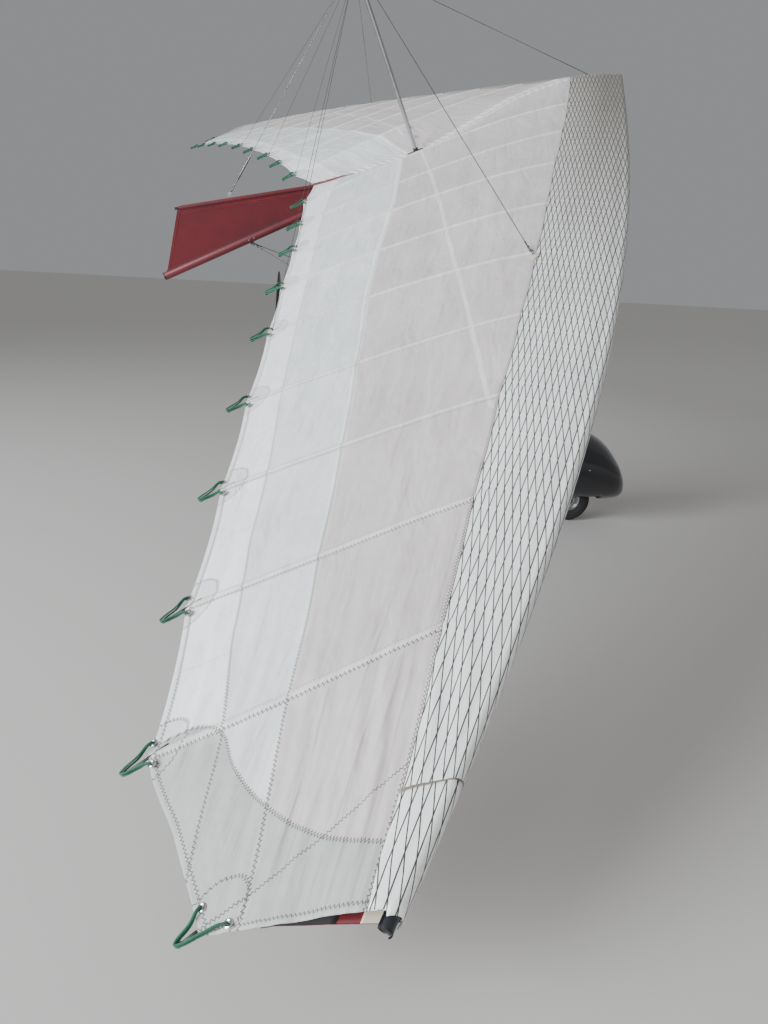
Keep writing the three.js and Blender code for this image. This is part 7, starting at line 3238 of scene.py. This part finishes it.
    def spats(self) -> None:
        """Makes the smooth wheel spats over the main wheels."""
        size = [half - 0.0008 for half in self.spat_size]
        for side, word in SIDES:
            piece = Piece(f"spat_shell_{word}", Body.TRIKE, "pod_gloss", GELCOAT, [f"spat_{word}"])
            centre = Vector((-0.455, side * 0.850, 0.235))
            piece.ball(centre, size, 40)
            geom = piece.bm.verts[:] + piece.bm.edges[:] + piece.bm.faces[:]
            foot = (0, 0, self.skirt)
            bmesh.ops.bisect_plane(piece.bm, geom=geom, plane_co=foot, plane_no=(0, 0, 1), clear_inner=True)
            edge = next(e for e in piece.bm.edges if e.is_boundary)
            start = vert = edge.verts[0]
            loop = [start.co.copy()]
            while (vert := edge.other_vert(vert)) is not start:
                loop.append(vert.co.copy())
                edge = next(e for e in vert.link_edges if e.is_boundary and e is not edge)
            piece.finished(crease=60, wall=0.004)
            lip = Piece(f"spat_edge_{word}", *RUBBERS)
            lip.tube(loop + [loop[0]], 0.0042, sides=8, sharp=True)
            stub = Vector((-0.430, side * 0.745, 0.200))
            lip.turned(
                [
                    (0.0232, -0.004), (0.036, -0.004), (0.040, 0.0), (0.036, 0.004), (0.0232, 0.004),
                    (0.0232, -0.004),
                ],
                stub,
                (0, 1, 0),
                40,
            )
            lip.finished(crease=60)

    def build(self) -> None:
        """Builds the cabin."""
        self.seats()
        self.belts()
        self.tank()
        self.controls()
        self.spats()


@dataclass
class Studio:
    """Floor, light and the camera at the photograph's viewing angle."""

    focal: float = 810.22
    place: tuple[float, float, float] = (-0.4462, -6.142, 1.7138)
    yaw: float = math.radians(3.191)
    pitch: float = math.radians(15.543)
    roll: float = math.radians(3.021)
    spread: float = math.radians(100)
    sky_angle: float = math.radians(110)
    sky_tone: str = "D8DADD"
    sky_strength: float = 0.41
    floor_tone: str = "CFCDC8"
    floor_half: float = 400

    def camera(self) -> None:
        """Sets up the camera."""
        cy, sy, cp, sp = math.cos(self.yaw), math.sin(self.yaw), math.cos(self.pitch), math.sin(self.pitch)
        ahead = Vector((sy * cp, cy * cp, -sp))
        right = Vector((cy, -sy, 0))
        up = right.cross(ahead)
        right = right * math.cos(self.roll) + up * math.sin(self.roll)
        up = right.cross(ahead)
        lens = bpy.data.cameras.new("camera")
        lens.sensor_width = 36.0
        lens.lens = 36.0 * self.focal / PHOTO_HEIGHT
        lens.clip_end = 1000
        turn = Matrix((right, up, -ahead)).transposed().to_4x4()
        seat = bpy.data.objects.new("camera", lens)
        seat.matrix_world = Matrix.Translation(Vector(self.place) + SHIFT) @ turn
        bpy.context.scene.collection.objects.link(seat)
        bpy.context.scene.camera = seat

    def lamp(self, name: str, place: Point, target: Point, size: float, power: float, tone: str) -> None:
        """Adds a large soft lamp.

        Args:
            name: its name.
            place: where it hangs.
            target: the point that it looks at.
            size: length of its sides.
            power: watts.
            tone: its colour, sRGB hex.
        """
        light = bpy.data.lights.new(name, "AREA")
        light.shape = "SQUARE"
        light.size = size
        light.spread = self.spread
        light.energy = power
        light.color = linear(tone)[:3]
        seat = bpy.data.objects.new(name, light)
        look = (Vector(target) - Vector(place)).to_track_quat("-Z", "Y").to_matrix().to_4x4()
        seat.matrix_world = Matrix.Translation(Vector(place)) @ look
        bpy.context.scene.collection.objects.link(seat)

    def sun(self, place: Point, power: float, tone: str) -> None:
        """Adds a very soft light that falls evenly on everything from one side.

        Args:
            place: direction from which it comes.
            power: its strength.
            tone: its colour, sRGB hex.
        """
        light = bpy.data.lights.new("soft_sky", "SUN")
        light.angle = self.sky_angle
        light.energy = power
        light.color = linear(tone)[:3]
        seat = bpy.data.objects.new("soft_sky", light)
        seat.matrix_world = (-Vector(place)).to_track_quat("-Z", "Y").to_matrix().to_4x4()
        bpy.context.scene.collection.objects.link(seat)

    def build(self) -> None:
        """Builds the studio."""
        self.camera()
        world = bpy.data.worlds.new("studio")
        bpy.context.scene.world = world
        world.use_nodes = True
        sky = world.node_tree.nodes["Background"]
        sky.inputs["Color"].default_value = linear(self.sky_tone)
        sky.inputs["Strength"].default_value = self.sky_strength
        self.lamp("door_light", (-13.2, -10.6, 6.2), (0, -1.5, 1.4), 8.5, 1600, "F4F8FF")
        self.lamp("front_light", (-3.0, -12.0, 4.2), (-0.3, -4.0, 1.0), 4.0, 100, "FFFFFF")
        self.sun((4.0, 3.0, 9.0), 0.20, "FFFFFF")
        self.sun((-5.0, 6.0, 5.0), 0.14, "FFF8F0")
        bm = bmesh.new()
        bmesh.ops.create_grid(bm, x_segments=1, y_segments=1, size=self.floor_half)
        mesh = bpy.data.meshes.new("studio_floor")
        bm.to_mesh(mesh)
        bm.free()
        recipe = Recipe("pale_floor_paint")
        place = recipe.add("TexCoord", out="Object")
        cloud = recipe.add("TexNoise", place, None, 0.8, 5.0, 0.6)
        rough = recipe.add("MapRange", cloud, 0.3, 0.7, 0.86, 0.94)
        mesh.materials.append(
            recipe.shade(Base_Color=linear(self.floor_tone), Roughness=rough, Specular_IOR_Level=0.25)
        )
        floor = bpy.data.objects.new("studio_floor", mesh)
        bpy.context.scene.collection.objects.link(floor)


def main() -> None:
    """Builds the machine and the studio, piece by piece."""
    logging.basicConfig(level=logging.INFO, format="%(message)s")
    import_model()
    Wing().build()
    TrikeFrame().build()
    Powerplant().build()
    Propeller().build()
    Pod().build()
    Cabin().build()
    Studio().build()
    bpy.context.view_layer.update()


if __name__ == "__main__":
    main()
